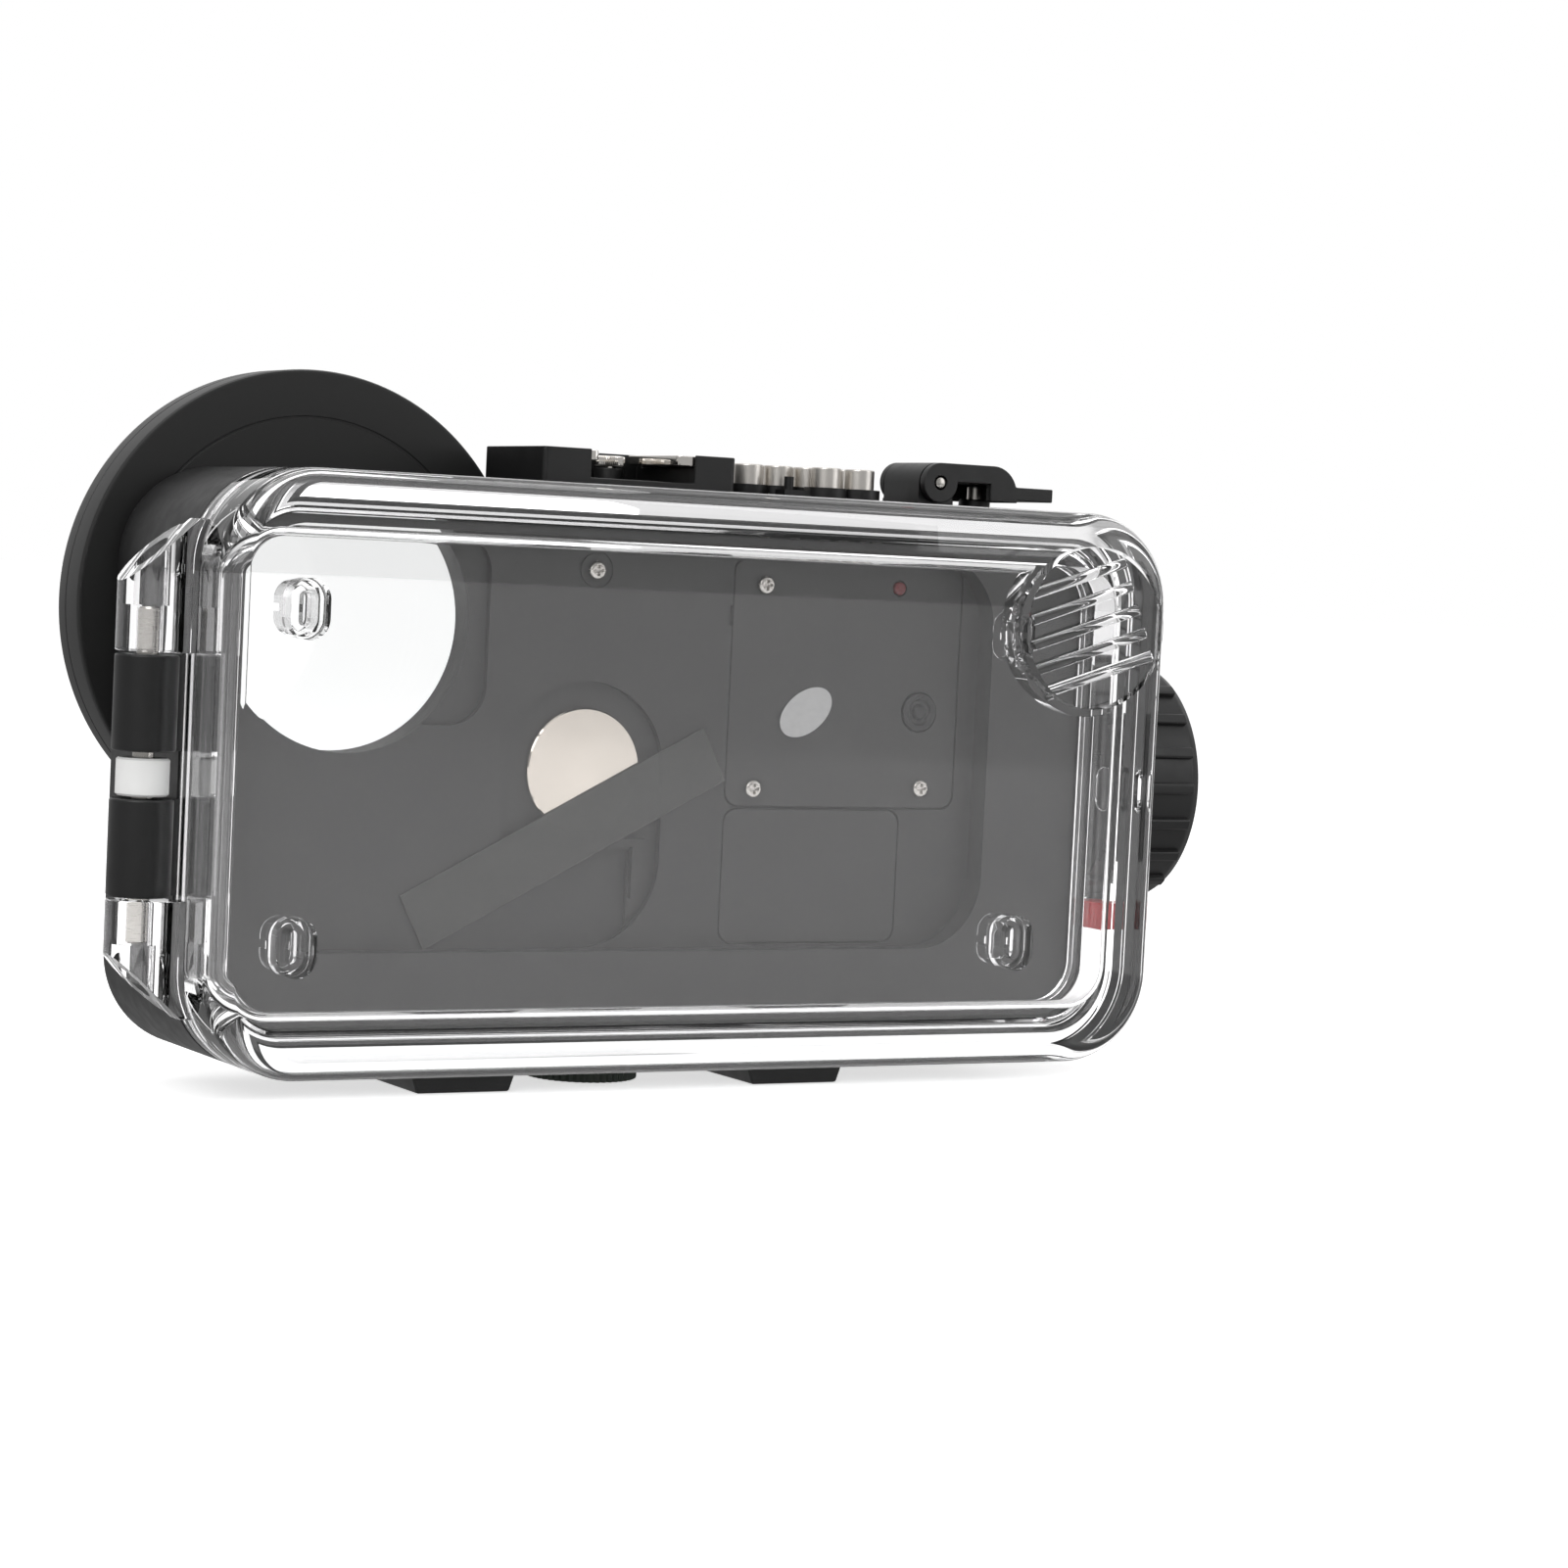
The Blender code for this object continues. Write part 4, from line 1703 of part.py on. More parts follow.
def lever_parts():
    axis_spot = Vector((LEVER_PIVOT_X, 0, LEVER_PIVOT_Z))
    lever_axis = new_empty("lever_axis", axis_spot, ROOT)
    knuckle = LEVER_KNUCKLE_RADIUS
    under = LEVER_ARM_UNDERSIDE
    pad_bottom = -LEVER_PAD_THICKNESS
    crown_radius = knuckle + LEVER_CROWN_DROP
    crown = arc((LEVER_ARM_REACH, -LEVER_CROWN_DROP), crown_radius, pi / 2, LEVER_CROWN_END, CURVE_STEPS)
    outline = arc((0, 0), knuckle, pi / 2, 2 * pi + asin(under / knuckle), 18)
    outline += [
        (LEVER_LEG_REACH, under),
        (LEVER_LEG_REACH, -LEVER_LEG_DROP),
        (LEVER_BEND_REACH, -LEVER_LEG_DROP),
        (LEVER_BEND_REACH, pad_bottom),
        (LEVER_PAD_REACH, pad_bottom),
        (LEVER_PAD_REACH, 0),
        (LEVER_BEND_REACH, 0),
    ]
    outline += crown[::-1]
    placed = [(axis_spot.x + x, axis_spot.z + z) for x, z in outline]
    lever = prism("shutter_lever", [placed], "XZ", LEVER_FRONT_Y, LEVER_BACK_Y, BLACK, parent=lever_axis)
    slot = block(
        "lever_slot",
        (axis_spot.x - knuckle - OVERRUN, LEVER_FRONT_Y + LEVER_CHEEK, axis_spot.z - knuckle - OVERRUN),
        (
            axis_spot.x + LEVER_SLOT_REACH,
            LEVER_BACK_Y - LEVER_CHEEK,
            axis_spot.z + knuckle + OVERRUN,
        ),
        BLACK,
        lever_axis,
    )
    leg_slot = block(
        "leg_slot",
        (
            axis_spot.x + LEVER_LEG_REACH - OVERRUN,
            LEVER_FRONT_Y + LEVER_CHEEK,
            axis_spot.z - LEVER_LEG_DROP - OVERRUN,
        ),
        (
            axis_spot.x + LEVER_BEND_REACH - LEVER_LEG_WEB,
            LEVER_BACK_Y - LEVER_CHEEK,
            axis_spot.z + under,
        ),
        BLACK,
        lever_axis,
    )
    cut(lever, slot, leg_slot)
    hole = LEVER_PIN_RADIUS + RUNNING_GAP
    span = (LEVER_FRONT_Y - OVERRUN, LEVER_BACK_Y + OVERRUN)
    drill(lever, "lever_hole", hole, "Y", *span, axis_spot)
    pin_middle = (axis_spot.x, (LEVER_FRONT_Y + LEVER_BACK_Y) / 2, axis_spot.z)
    rod("lever_pin", LEVER_PIN_RADIUS, LEVER_BACK_Y - LEVER_FRONT_Y, "Y", pin_middle, STEEL, sides=20)
    low_y = LEVER_FRONT_Y + LEVER_CHEEK + RUNNING_GAP
    high_y = LEVER_BACK_Y - LEVER_CHEEK - RUNNING_GAP
    middle = (axis_spot.x, (low_y + high_y) / 2, axis_spot.z)
    bracket = rod("lever_bracket", knuckle, high_y - low_y, "Y", middle, BLACK)
    neck = block(
        "bracket_neck",
        (axis_spot.x - BRACKET_NECK, low_y, TOP_SEAT_Z),
        (axis_spot.x + BRACKET_NECK, high_y, axis_spot.z),
        BLACK,
    )
    shoe = block(
        "bracket_shoe",
        (axis_spot.x - BRACKET_SHOE, low_y, TOP_SEAT_Z),
        (axis_spot.x + BRACKET_SHOE, high_y, TOP_SEAT_Z + BRACKET_SHOE_HEIGHT),
        BLACK,
    )
    join(bracket, neck, shoe)
    drill(bracket, "bracket_hole", hole, "Y", *span, axis_spot)


def accessory_shoe():
    """The block with a channel, two bright rails on it and a knurled lock screw."""
    top = HALF_HEIGHT + SHOE_RISE
    floor = TOP_SEAT_Z + SHOE_FLOOR
    shoe = prism(
        "shoe_block",
        [round_box((SHOE_LEFT_X, SHOE_FRONT_Y), (SHOE_RIGHT_X, SHOE_BACK_Y), SHOE_CORNER, 2)],
        "XY",
        TOP_SEAT_Z,
        top,
        BLACK,
    )
    channel = block(
        "shoe_channel",
        (CHANNEL_LEFT_X, SHOE_FRONT_Y - OVERRUN, floor),
        (CHANNEL_RIGHT_X, SHOE_BACK_Y - SHOE_BACK_WALL, top + OVERRUN),
        BLACK,
    )
    seat_z = top - RAIL_SEAT
    left = SHOE_LEFT_X + RAIL_LEFT_INSET
    right = SHOE_RIGHT_X - RAIL_RIGHT_INSET
    seats = (
        ("left", left - FIT_GAP, CHANNEL_LEFT_X + OVERRUN),
        ("right", CHANNEL_RIGHT_X - OVERRUN, right + FIT_GAP),
    )
    cut(shoe, channel)
    for name, low_x, high_x in seats:
        seat = block(
            f"rail_seat_{name}",
            (low_x, RAIL_FRONT_Y - FIT_GAP, seat_z),
            (high_x, RAIL_BACK_Y + FIT_GAP, top + OVERRUN),
            BLACK,
        )
        cut(shoe, seat)
    low = seat_z + FIT_GAP
    rails = (("left", left, left + RAIL_LEFT_WIDTH), ("right", right - RAIL_RIGHT_WIDTH, right))
    for name, low_x, high_x in rails:
        outline = [round_box((low_x, RAIL_FRONT_Y), (high_x, RAIL_BACK_Y), SHOE_CORNER, 3)]
        prism(f"shoe_rail_{name}", outline, "XY", low, low + RAIL_THICKNESS, CHROME)
    add_lock_screw(shoe, floor)


def add_lock_screw(shoe, floor):
    spot = (LOCK_SCREW_X, LOCK_SCREW_Y, 0)
    screw_top = HALF_HEIGHT + LOCK_SCREW_TOP_RISE
    head_bottom = screw_top - LOCK_SCREW_HEAD
    post_top = head_bottom - FIT_GAP
    post_middle = (spot[0], spot[1], (floor - OVERRUN / 2 + post_top) / 2)
    post_radius = LOCK_SCREW_STEM + RUNNING_GAP + STOP_WALL
    post = rod("screw_post", post_radius, post_top - floor + OVERRUN / 2, "Z", post_middle, BLACK, sides=24)
    join(shoe, post)
    drill(shoe, "post_hole", LOCK_SCREW_STEM + RUNNING_GAP, "Z", floor, post_top + OVERRUN, spot)
    profile = (
        (0, screw_top),
        (LOCK_SCREW_RADIUS - BUTTON_CHAMFER, screw_top),
        (LOCK_SCREW_RADIUS, screw_top - BUTTON_CHAMFER),
        (LOCK_SCREW_RADIUS, head_bottom),
        (LOCK_SCREW_STEM, head_bottom),
        (LOCK_SCREW_STEM, floor + FIT_GAP),
        (0, floor + FIT_GAP),
    )
    turned("shoe_lock_screw", profile, "Z", spot, CHROME, steps=24)


def feet():
    top = -TOP_SEAT_Z
    for name, x in (("foot_left", FOOT_LEFT_X), ("foot_right", FOOT_RIGHT_X)):
        half = FOOT_WIDTH / 2
        outline = [
            (x - half, top),
            (x - half + FOOT_TAPER, FOOT_BOTTOM_Z),
            (x + half - FOOT_TAPER, FOOT_BOTTOM_Z),
            (x + half, top),
        ]
        prism(name, [outline], "XZ", FOOT_FRONT_Y, FOOT_BACK_Y, BLACK)


def vacuum_valve():
    """The valve through the body's floor, its seal, and the fluted cap that screws on from below."""
    spot = (VALVE_X, VALVE_Y, 0)
    cap_top = -TOP_SEAT_Z
    cap_bottom = cap_top - CAP_HEIGHT
    roof = cap_bottom + CAP_ROOF
    flange_bottom = FIT_GAP - INNER_HALF_HEIGHT
    flange_top = flange_bottom + VALVE_FLANGE_HEIGHT
    valve = (
        (0, flange_top),
        (VALVE_FLANGE_RADIUS, flange_top),
        (VALVE_FLANGE_RADIUS, flange_bottom),
        (VALVE_RADIUS, flange_bottom),
        (VALVE_RADIUS, roof + FIT_GAP),
        (0, roof + FIT_GAP),
    )
    turned("vacuum_valve", valve, "Z", spot, BLACK, steps=24)
    seal_top = -HALF_HEIGHT + VALVE_SEAL_HEIGHT
    seal_inner = VALVE_SEAL_RADIUS - VALVE_SEAL_WIDTH / 2
    seal_outer = VALVE_SEAL_RADIUS + VALVE_SEAL_WIDTH / 2
    ring("valve_seal", seal_inner, seal_outer, -HALF_HEIGHT, seal_top, "Z", spot, RUBBER)
    outline = []
    for step in range(2 * CAP_FLUTES):
        turn = pi * step / CAP_FLUTES
        radius = CAP_RADIUS - CAP_FLUTE_DEPTH * (step % 2)
        outline.append((VALVE_X + radius * cos(turn), VALVE_Y + radius * sin(turn)))
    cap_axis = new_empty("cap_axis", spot, ROOT)
    cap = prism("valve_cap", [outline], "XY", cap_bottom, cap_top, GREEN_BLACK, parent=cap_axis)
    drill(cap, "cap_socket", VALVE_RADIUS + RUNNING_GAP, "Z", roof, cap_top + OVERRUN, spot, 24)


def main():
    clear_cover()
    housing_body()
    cover_seal()
    hinge_parts()
    phone_tray()
    electronics_parts()
    chassis_screws()
    disc_and_strap()
    lens_port()
    latch_parts()
    lock_slider()
    push_buttons()
    shutter_parts()
    accessory_shoe()
    feet()
    vacuum_valve()


if __name__ == "__main__":
    main()
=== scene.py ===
"""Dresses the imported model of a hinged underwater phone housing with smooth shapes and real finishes.

The housing is drawn in millimetres about the middle of its parting plane: +X is the latch side,
-Y the diver's side with the clear cover, +Y the lens port, +Z up.
"""

from __future__ import annotations

import json
import logging
import math
from collections.abc import Callable, Iterable, Sequence
from dataclasses import dataclass
from enum import Enum

import bmesh
import bpy
from mathutils import Matrix, Vector

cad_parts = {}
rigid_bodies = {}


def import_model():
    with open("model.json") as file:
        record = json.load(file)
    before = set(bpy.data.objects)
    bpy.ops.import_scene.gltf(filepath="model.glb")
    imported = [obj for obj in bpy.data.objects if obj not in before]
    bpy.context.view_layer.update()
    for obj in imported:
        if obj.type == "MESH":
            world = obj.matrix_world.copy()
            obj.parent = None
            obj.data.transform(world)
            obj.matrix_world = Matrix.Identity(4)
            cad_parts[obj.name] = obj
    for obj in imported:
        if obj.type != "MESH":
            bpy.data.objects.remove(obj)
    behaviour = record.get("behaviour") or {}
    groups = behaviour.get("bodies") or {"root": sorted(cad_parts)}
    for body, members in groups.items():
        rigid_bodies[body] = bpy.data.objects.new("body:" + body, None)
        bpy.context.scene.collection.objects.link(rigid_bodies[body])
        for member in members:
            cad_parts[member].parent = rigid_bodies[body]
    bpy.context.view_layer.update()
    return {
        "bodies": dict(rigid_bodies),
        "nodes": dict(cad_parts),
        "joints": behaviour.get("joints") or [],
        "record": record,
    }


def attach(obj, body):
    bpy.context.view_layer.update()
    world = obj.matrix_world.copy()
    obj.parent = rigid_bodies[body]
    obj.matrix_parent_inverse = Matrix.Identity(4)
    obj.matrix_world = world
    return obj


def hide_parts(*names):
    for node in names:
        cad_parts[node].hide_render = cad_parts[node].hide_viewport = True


LOG = logging.getLogger("phone_housing")
MILLIMETRE = 0.001
PLANE_MIDDLE = Vector((-3.55, -16.5, 62.2))

Spot = tuple[float, float, float]
Flat = tuple[float, float]
Thing = bpy.types.Object
Socket = bpy.types.NodeSocket

# sizes that several assemblies share, in millimetres
TOP = 58.2
BOTTOM = -56.0
HALF_WIDTH = 105.0
CORNER = 19.0
BODY_DEPTH = 38.0
GAP = 0.3
HINGE: Flat = (-112.2, 0.0)
HINGE_RADIUS = 6.0
PIN_BORE = 2.3
LENS_BORE: Flat = (-61.0, 29.5)
KNOB_MIDDLE: Flat = (20.0, 0.8)
SHAFT_BORE = 3.3
TRAY_FLOOR = 8.0
PLATE_DEPTH = 1.6
DISC_MIDDLE: Flat = (-17.5, 1.7)
PLATE: tuple[Flat, Flat] = ((14.9, -5.0), (69.4, 45.5))
DOOR: tuple[Flat, Flat] = ((14.9, -33.0), (56.4, -5.6))
STEM_END = 47.6


class Body(str, Enum):
    """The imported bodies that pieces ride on."""

    ROOT = "body"
    COVER = "cover"
    KNOB = "knob"
    LOCK = "lock"
    LEVER = "lever"
    SHUTTER = "shutter"
    SHOE_SCREW = "shoe_screw"
    CAP = "cap"


class Axis(Enum):
    """A direction to turn or extrude along, after the two directions that a flat outline uses."""

    X = (1, 2, 0)
    Y = (0, 2, 1)
    Z = (0, 1, 2)

    def spot(self, u: float, v: float, along: float) -> Spot:
        """Places a flat point at a distance along the axis.

        Args:
            u: First coordinate of the flat outline.
            v: Second coordinate of the flat outline.
            along: Distance along the axis.

        Returns:
            The point as (x, y, z).
        """
        place = [0.0, 0.0, 0.0]
        for index, amount in zip(self.value, (u, v, along)):
            place[index] = amount
        return (place[0], place[1], place[2])

    def loop(self, outline: Iterable[Flat], along: float) -> list[Spot]:
        """Places a whole flat outline at a distance along the axis."""
        return [self.spot(u, v, along) for u, v in outline]


# flat outlines


def arc(centre: Flat, radius: float, start: float, end: float, steps: int) -> list[Flat]:
    """Points on a circular arc between two angles in degrees, in straight steps."""
    turns = [math.radians(start + (end - start) * step / steps) for step in range(steps + 1)]
    return [(centre[0] + radius * math.cos(t), centre[1] + radius * math.sin(t)) for t in turns]


def circle(centre: Flat, radius: float, steps: int = 64) -> list[Flat]:
    """Points round a full circle, without the closing point."""
    return arc(centre, radius, 0, 360, steps)[:-1]


def box_outline(low: Flat, high: Flat) -> list[Flat]:
    """A rectangle with sharp corners, anticlockwise."""
    return [low, (high[0], low[1]), high, (low[0], high[1])]


def round_box(low: Flat, high: Flat, corner: float, steps: int = 10) -> list[Flat]:
    """A rectangle with round corners.

    Args:
        low: Lower left corner.
        high: Upper right corner.
        corner: Radius of the corners.
        steps: Steps in each corner.

    Returns:
        The outline, anticlockwise.
    """
    spots = (
        (high[0] - corner, high[1] - corner),
        (low[0] + corner, high[1] - corner),
        (low[0] + corner, low[1] + corner),
        (high[0] - corner, low[1] + corner),
    )
    points: list[Flat] = []
    for index, spot in enumerate(spots):
        points += arc(spot, corner, index * 90, index * 90 + 90, steps)
    return points


def shell_outline(take: float, steps: int) -> list[Flat]:
    """The housing's outline seen from the diver's side, drawn in by a distance."""
    wide = HALF_WIDTH - take
    return round_box((-wide, BOTTOM + take), (wide, TOP - take), CORNER - take, steps)


def stadium(centre: Flat, width: float, height: float, steps: int = 20) -> list[Flat]:
    """A slot shape with round ends above and below.

    Args:
        centre: Its middle.
        width: Size across.
        height: Size along.
        steps: Steps in each round end.

    Returns:
        The outline, anticlockwise.
    """
    radius = width / 2
    reach = height / 2 - radius
    upper = arc((centre[0], centre[1] + reach), radius, 0, 180, steps)
    return upper + arc((centre[0], centre[1] - reach), radius, 180, 360, steps)


def rounding(radius: float, steps: int) -> list[Flat]:
    """Pairs of (distance drawn in, rise) along a quarter round, from the face to the side."""
    bends = [math.radians(90 * step / steps) for step in range(steps + 1)]
    return [(radius * (1 - math.sin(bend)), radius * (1 - math.cos(bend))) for bend in bends]


def inset(outline: Sequence[Flat], amount: float) -> list[Flat]:
    """Moves each point of an anticlockwise outline inwards along its mitre.

    Args:
        outline: The points.
        amount: Distance inwards in millimetres.

    Returns:
        The smaller outline with as many points.
    """
    tiny, least_lean = 1e-6, 0.5
    moved: list[Flat] = []
    count = len(outline)
    for index, (x, y) in enumerate(outline):
        before = Vector(outline[index - 1])
        here = Vector((x, y))
        after = Vector(outline[(index + 1) % count])
        first = (here - before).normalized() if (here - before).length > tiny else Vector((0, 0))
        second = (after - here).normalized() if (after - here).length > tiny else Vector((0, 0))
        normals = Vector((-first.y, first.x)) + Vector((-second.y, second.x))
        if normals.length < tiny:
            moved.append((x, y))
            continue
        normal = normals.normalized()
        lean = max(normal.dot(Vector((-first.y, first.x)) if first.length else normal), least_lean)
        moved.append((x + normal.x * amount / lean, y + normal.y * amount / lean))
    return moved


def tilted(middle: Flat, u: float, v: float, tilt: float) -> Flat:
    """A point at (u, v) from a middle, in directions tilted by an angle in radians."""
    cos, sin = math.cos(tilt), math.sin(tilt)
    return (middle[0] + u * cos - v * sin, middle[1] + u * sin + v * cos)


# meshes


class Solid:
    """A closed mesh that is drawn in the housing's own millimetres."""

    def __init__(self, name: str) -> None:
        """Starts an empty mesh with the name of the object that it becomes."""
        self.name = name
        self.work = bmesh.new()

    def loft(self, loops: Iterable[Sequence[Spot]], closed: bool = False) -> Solid:
        """Joins loops of as many points with quads.

        Args:
            loops: The loops in order.
            closed: True joins the last loop to the first, False fills both ends.

        Returns:
            This solid.
        """
        rows = [[self.work.verts.new(point) for point in loop] for loop in loops]
        pairs = list(zip(rows, rows[1:]))
        if closed:
            pairs.append((rows[-1], rows[0]))
        for lower, upper in pairs:
            for index, vertex in enumerate(lower):
                self.work.faces.new((lower[index - 1], vertex, upper[index], upper[index - 1]))
        if not closed:
            self.work.faces.new(rows[0])
            self.work.faces.new(rows[-1])
        return self

    def turned(self, profile: Sequence[Flat], axis: Axis, centre: Flat, steps: int = 96) -> Solid:
        """Turns a profile of (radius, distance along the axis) round the axis.

        Args:
            profile: The points; a radius of 0 closes an end, and otherwise the profile is a ring.
            axis: Direction of the axis.
            centre: Where the axis crosses the flat directions.
            steps: Sides of the turned shape.

        Returns:
            This solid.
        """
        rows = []
        for radius, along in profile:
            ring = circle(centre, radius, steps) if radius > 0 else [centre]
            rows.append([self.work.verts.new(point) for point in axis.loop(ring, along)])
        pairs = list(zip(rows, rows[1:]))
        if len(rows[0]) > 1:
            pairs.append((rows[-1], rows[0]))
        for lower, upper in pairs:
            for index in range(steps):
                corners = [
                    lower[(index - 1) % len(lower)],
                    lower[index % len(lower)],
                    upper[index % len(upper)],
                    upper[(index - 1) % len(upper)],
                ]
                unique = list(dict.fromkeys(corners))
                if len(unique) > 2:
                    self.work.faces.new(unique)
        return self

    def prism(
        self, outline: Sequence[Flat], axis: Axis, low: float, high: float, edge: float = 0.0, steps: int = 3
    ) -> Solid:
        """Extrudes an outline along an axis, with round rims.

        Args:
            outline: The flat outline, anticlockwise.
            axis: Direction of the extrusion.
            low: Start along the axis.
            high: End along the axis.
            edge: Radius of both rims.
            steps: Steps in each rim.

        Returns:
            This solid.
        """
        levels: list[Flat] = [(0.0, low), (0.0, high)]
        if edge > 0:
            lower = [(take, low + rise) for take, rise in rounding(edge, steps)]
            levels = lower + [(take, high - (along - low)) for take, along in reversed(lower)]
        return self.loft([axis.loop(inset(outline, take), along) for take, along in levels])

    def rod(self, centre: Flat, radius: float, axis: Axis, low: float, high: float, sides: int = 48) -> Solid:
        """Adds a plain round bar."""
        return self.prism(circle(centre, radius, sides), axis, low, high)

    def block(self, low: Spot, high: Spot) -> Solid:
        """Adds a box between two corners."""
        return self.prism(box_outline(low[:2], high[:2]), Axis.Z, low[2], high[2])

    def moved(self, turn: Matrix, shift: Spot) -> Solid:
        """Turns the mesh about the origin and then shifts it.

        Args:
            turn: The turn.
            shift: The shift in millimetres.

        Returns:
            This solid.
        """
        place = Matrix.Translation(shift) @ turn.to_4x4()
        bmesh.ops.transform(self.work, matrix=place, verts=self.work.verts)
        return self

    def made(self) -> Thing:
        """Turns the drawing into an object at the world's origin, in metres.

        Returns:
            The object.
        """
        bmesh.ops.recalc_face_normals(self.work, faces=self.work.faces)
        place = Matrix.Scale(MILLIMETRE, 4) @ Matrix.Translation(PLANE_MIDDLE)
        bmesh.ops.transform(self.work, matrix=place, verts=self.work.verts)
        mesh = bpy.data.meshes.new(self.name)
        self.work.to_mesh(mesh)
        self.work.free()
        thing = bpy.data.objects.new(self.name, mesh)
        bpy.context.scene.collection.objects.link(thing)
        return thing


def settle(thing: Thing) -> Thing:
    """Replaces an object's mesh by what its modifiers make of it, and removes them.

    Args:
        thing: The object.

    Returns:
        The same object.
    """
    bpy.context.view_layer.update()
    graph = bpy.context.evaluated_depsgraph_get()
    mesh = bpy.data.meshes.new_from_object(thing.evaluated_get(graph))
    thing.modifiers.clear()
    thing.data = mesh
    mesh.name = thing.name
    return thing


def combine(target: Thing, tools: Iterable[Thing | Solid], operation: str = "DIFFERENCE") -> Thing:
    """Cuts tools from a target or joins them to it, and removes the tools.

    Args:
        target: The object to change.
        tools: The cutters or additions.
        operation: DIFFERENCE or UNION.

    Returns:
        The target.
    """
    made = [tool.made() if isinstance(tool, Solid) else tool for tool in tools]
    for tool in made:
        modifier = target.modifiers.new(tool.name, "BOOLEAN")
        modifier.operation = operation
        modifier.solver = "EXACT"
        modifier.object = tool
    settle(target)
    for tool in made:
        bpy.data.objects.remove(tool, do_unlink=True)
    return target


def smooth(thing: Thing, bevel: float = 0.0, steps: int = 3, sharp: float = 32) -> Thing:
    """Rounds an object's edges by a small bevel and gives it clean smooth shading.

    Args:
        thing: The object.
        bevel: Radius of the rounding in millimetres, 0 for none.
        steps: Steps in the rounding.
        sharp: Edges that bend more than this many degrees stay crisp.

    Returns:
        The object.
    """
    if bevel > 0:
        modifier = thing.modifiers.new("edges", "BEVEL")
        modifier.width = bevel * MILLIMETRE
        modifier.segments = steps
        modifier.limit_method = "ANGLE"
        modifier.angle_limit = math.radians(sharp)
        modifier.use_clamp_overlap = True
        settle(thing)
    thing.data.shade_smooth()
    thing.data.set_sharp_from_angle(angle=math.radians(sharp))
    weights = thing.modifiers.new("weights", "WEIGHTED_NORMAL")
    weights.keep_sharp = True
    weights.weight = 80
    return settle(thing)


# node trees and finishes


class Graph:
    """A node tree, with short ways to add and join nodes."""

    def __init__(self, tree: bpy.types.NodeTree) -> None:
        """Keeps the tree."""
        self.tree = tree

    def link(self, source: Socket, target: Socket) -> None:
        """Joins two sockets."""
        self.tree.links.new(source, target)

    def fill(self, node: bpy.types.Node, key: int | str, value: object) -> None:
        """Sets or links one input of a node.

        Args:
            node: The node.
            key: The input's number, or its name with underscores for spaces.
            value: A plain value, or a socket to link.
        """
        target = node.inputs[key.replace("_", " ") if isinstance(key, str) else key]
        if isinstance(value, Socket):
            self.link(value, target)
        else:
            target.default_value = value

    def node(self, kind: str, *inputs: object, **settings: object) -> bpy.types.Node:
        """Adds a node and fills it in.

        Args:
            kind: Type of the node.
            *inputs: Values or sockets for its first inputs, in order.
            **settings: Its attributes, and values or sockets for inputs by name.

        Returns:
            The node.
        """
        made = self.tree.nodes.new(kind)
        for key, value in settings.items():
            if hasattr(made, key):
                setattr(made, key, value)
            else:
                self.fill(made, key, value)
        for index, value in enumerate(inputs):
            self.fill(made, index, value)
        return made

    def calculate(self, operation: str, first: object, second: object, **settings: object) -> Socket:
        """The result of a calculation with two values or sockets."""
        return self.node("ShaderNodeMath", first, second, operation=operation, **settings).outputs[0]

    def eased(self, source: Socket, edges: Flat, results: Flat) -> Socket:
        """Maps a value smoothly from one range to another.

        Args:
            source: The value.
            edges: Where the change starts and ends.
            results: The results there.

        Returns:
            The mapped value.
        """
        ranges = dict(zip(("From_Min", "From_Max", "To_Min", "To_Max"), (*edges, *results)))
        made = self.node("ShaderNodeMapRange", Value=source, interpolation_type="SMOOTHSTEP", **ranges)
        return made.outputs["Result"]


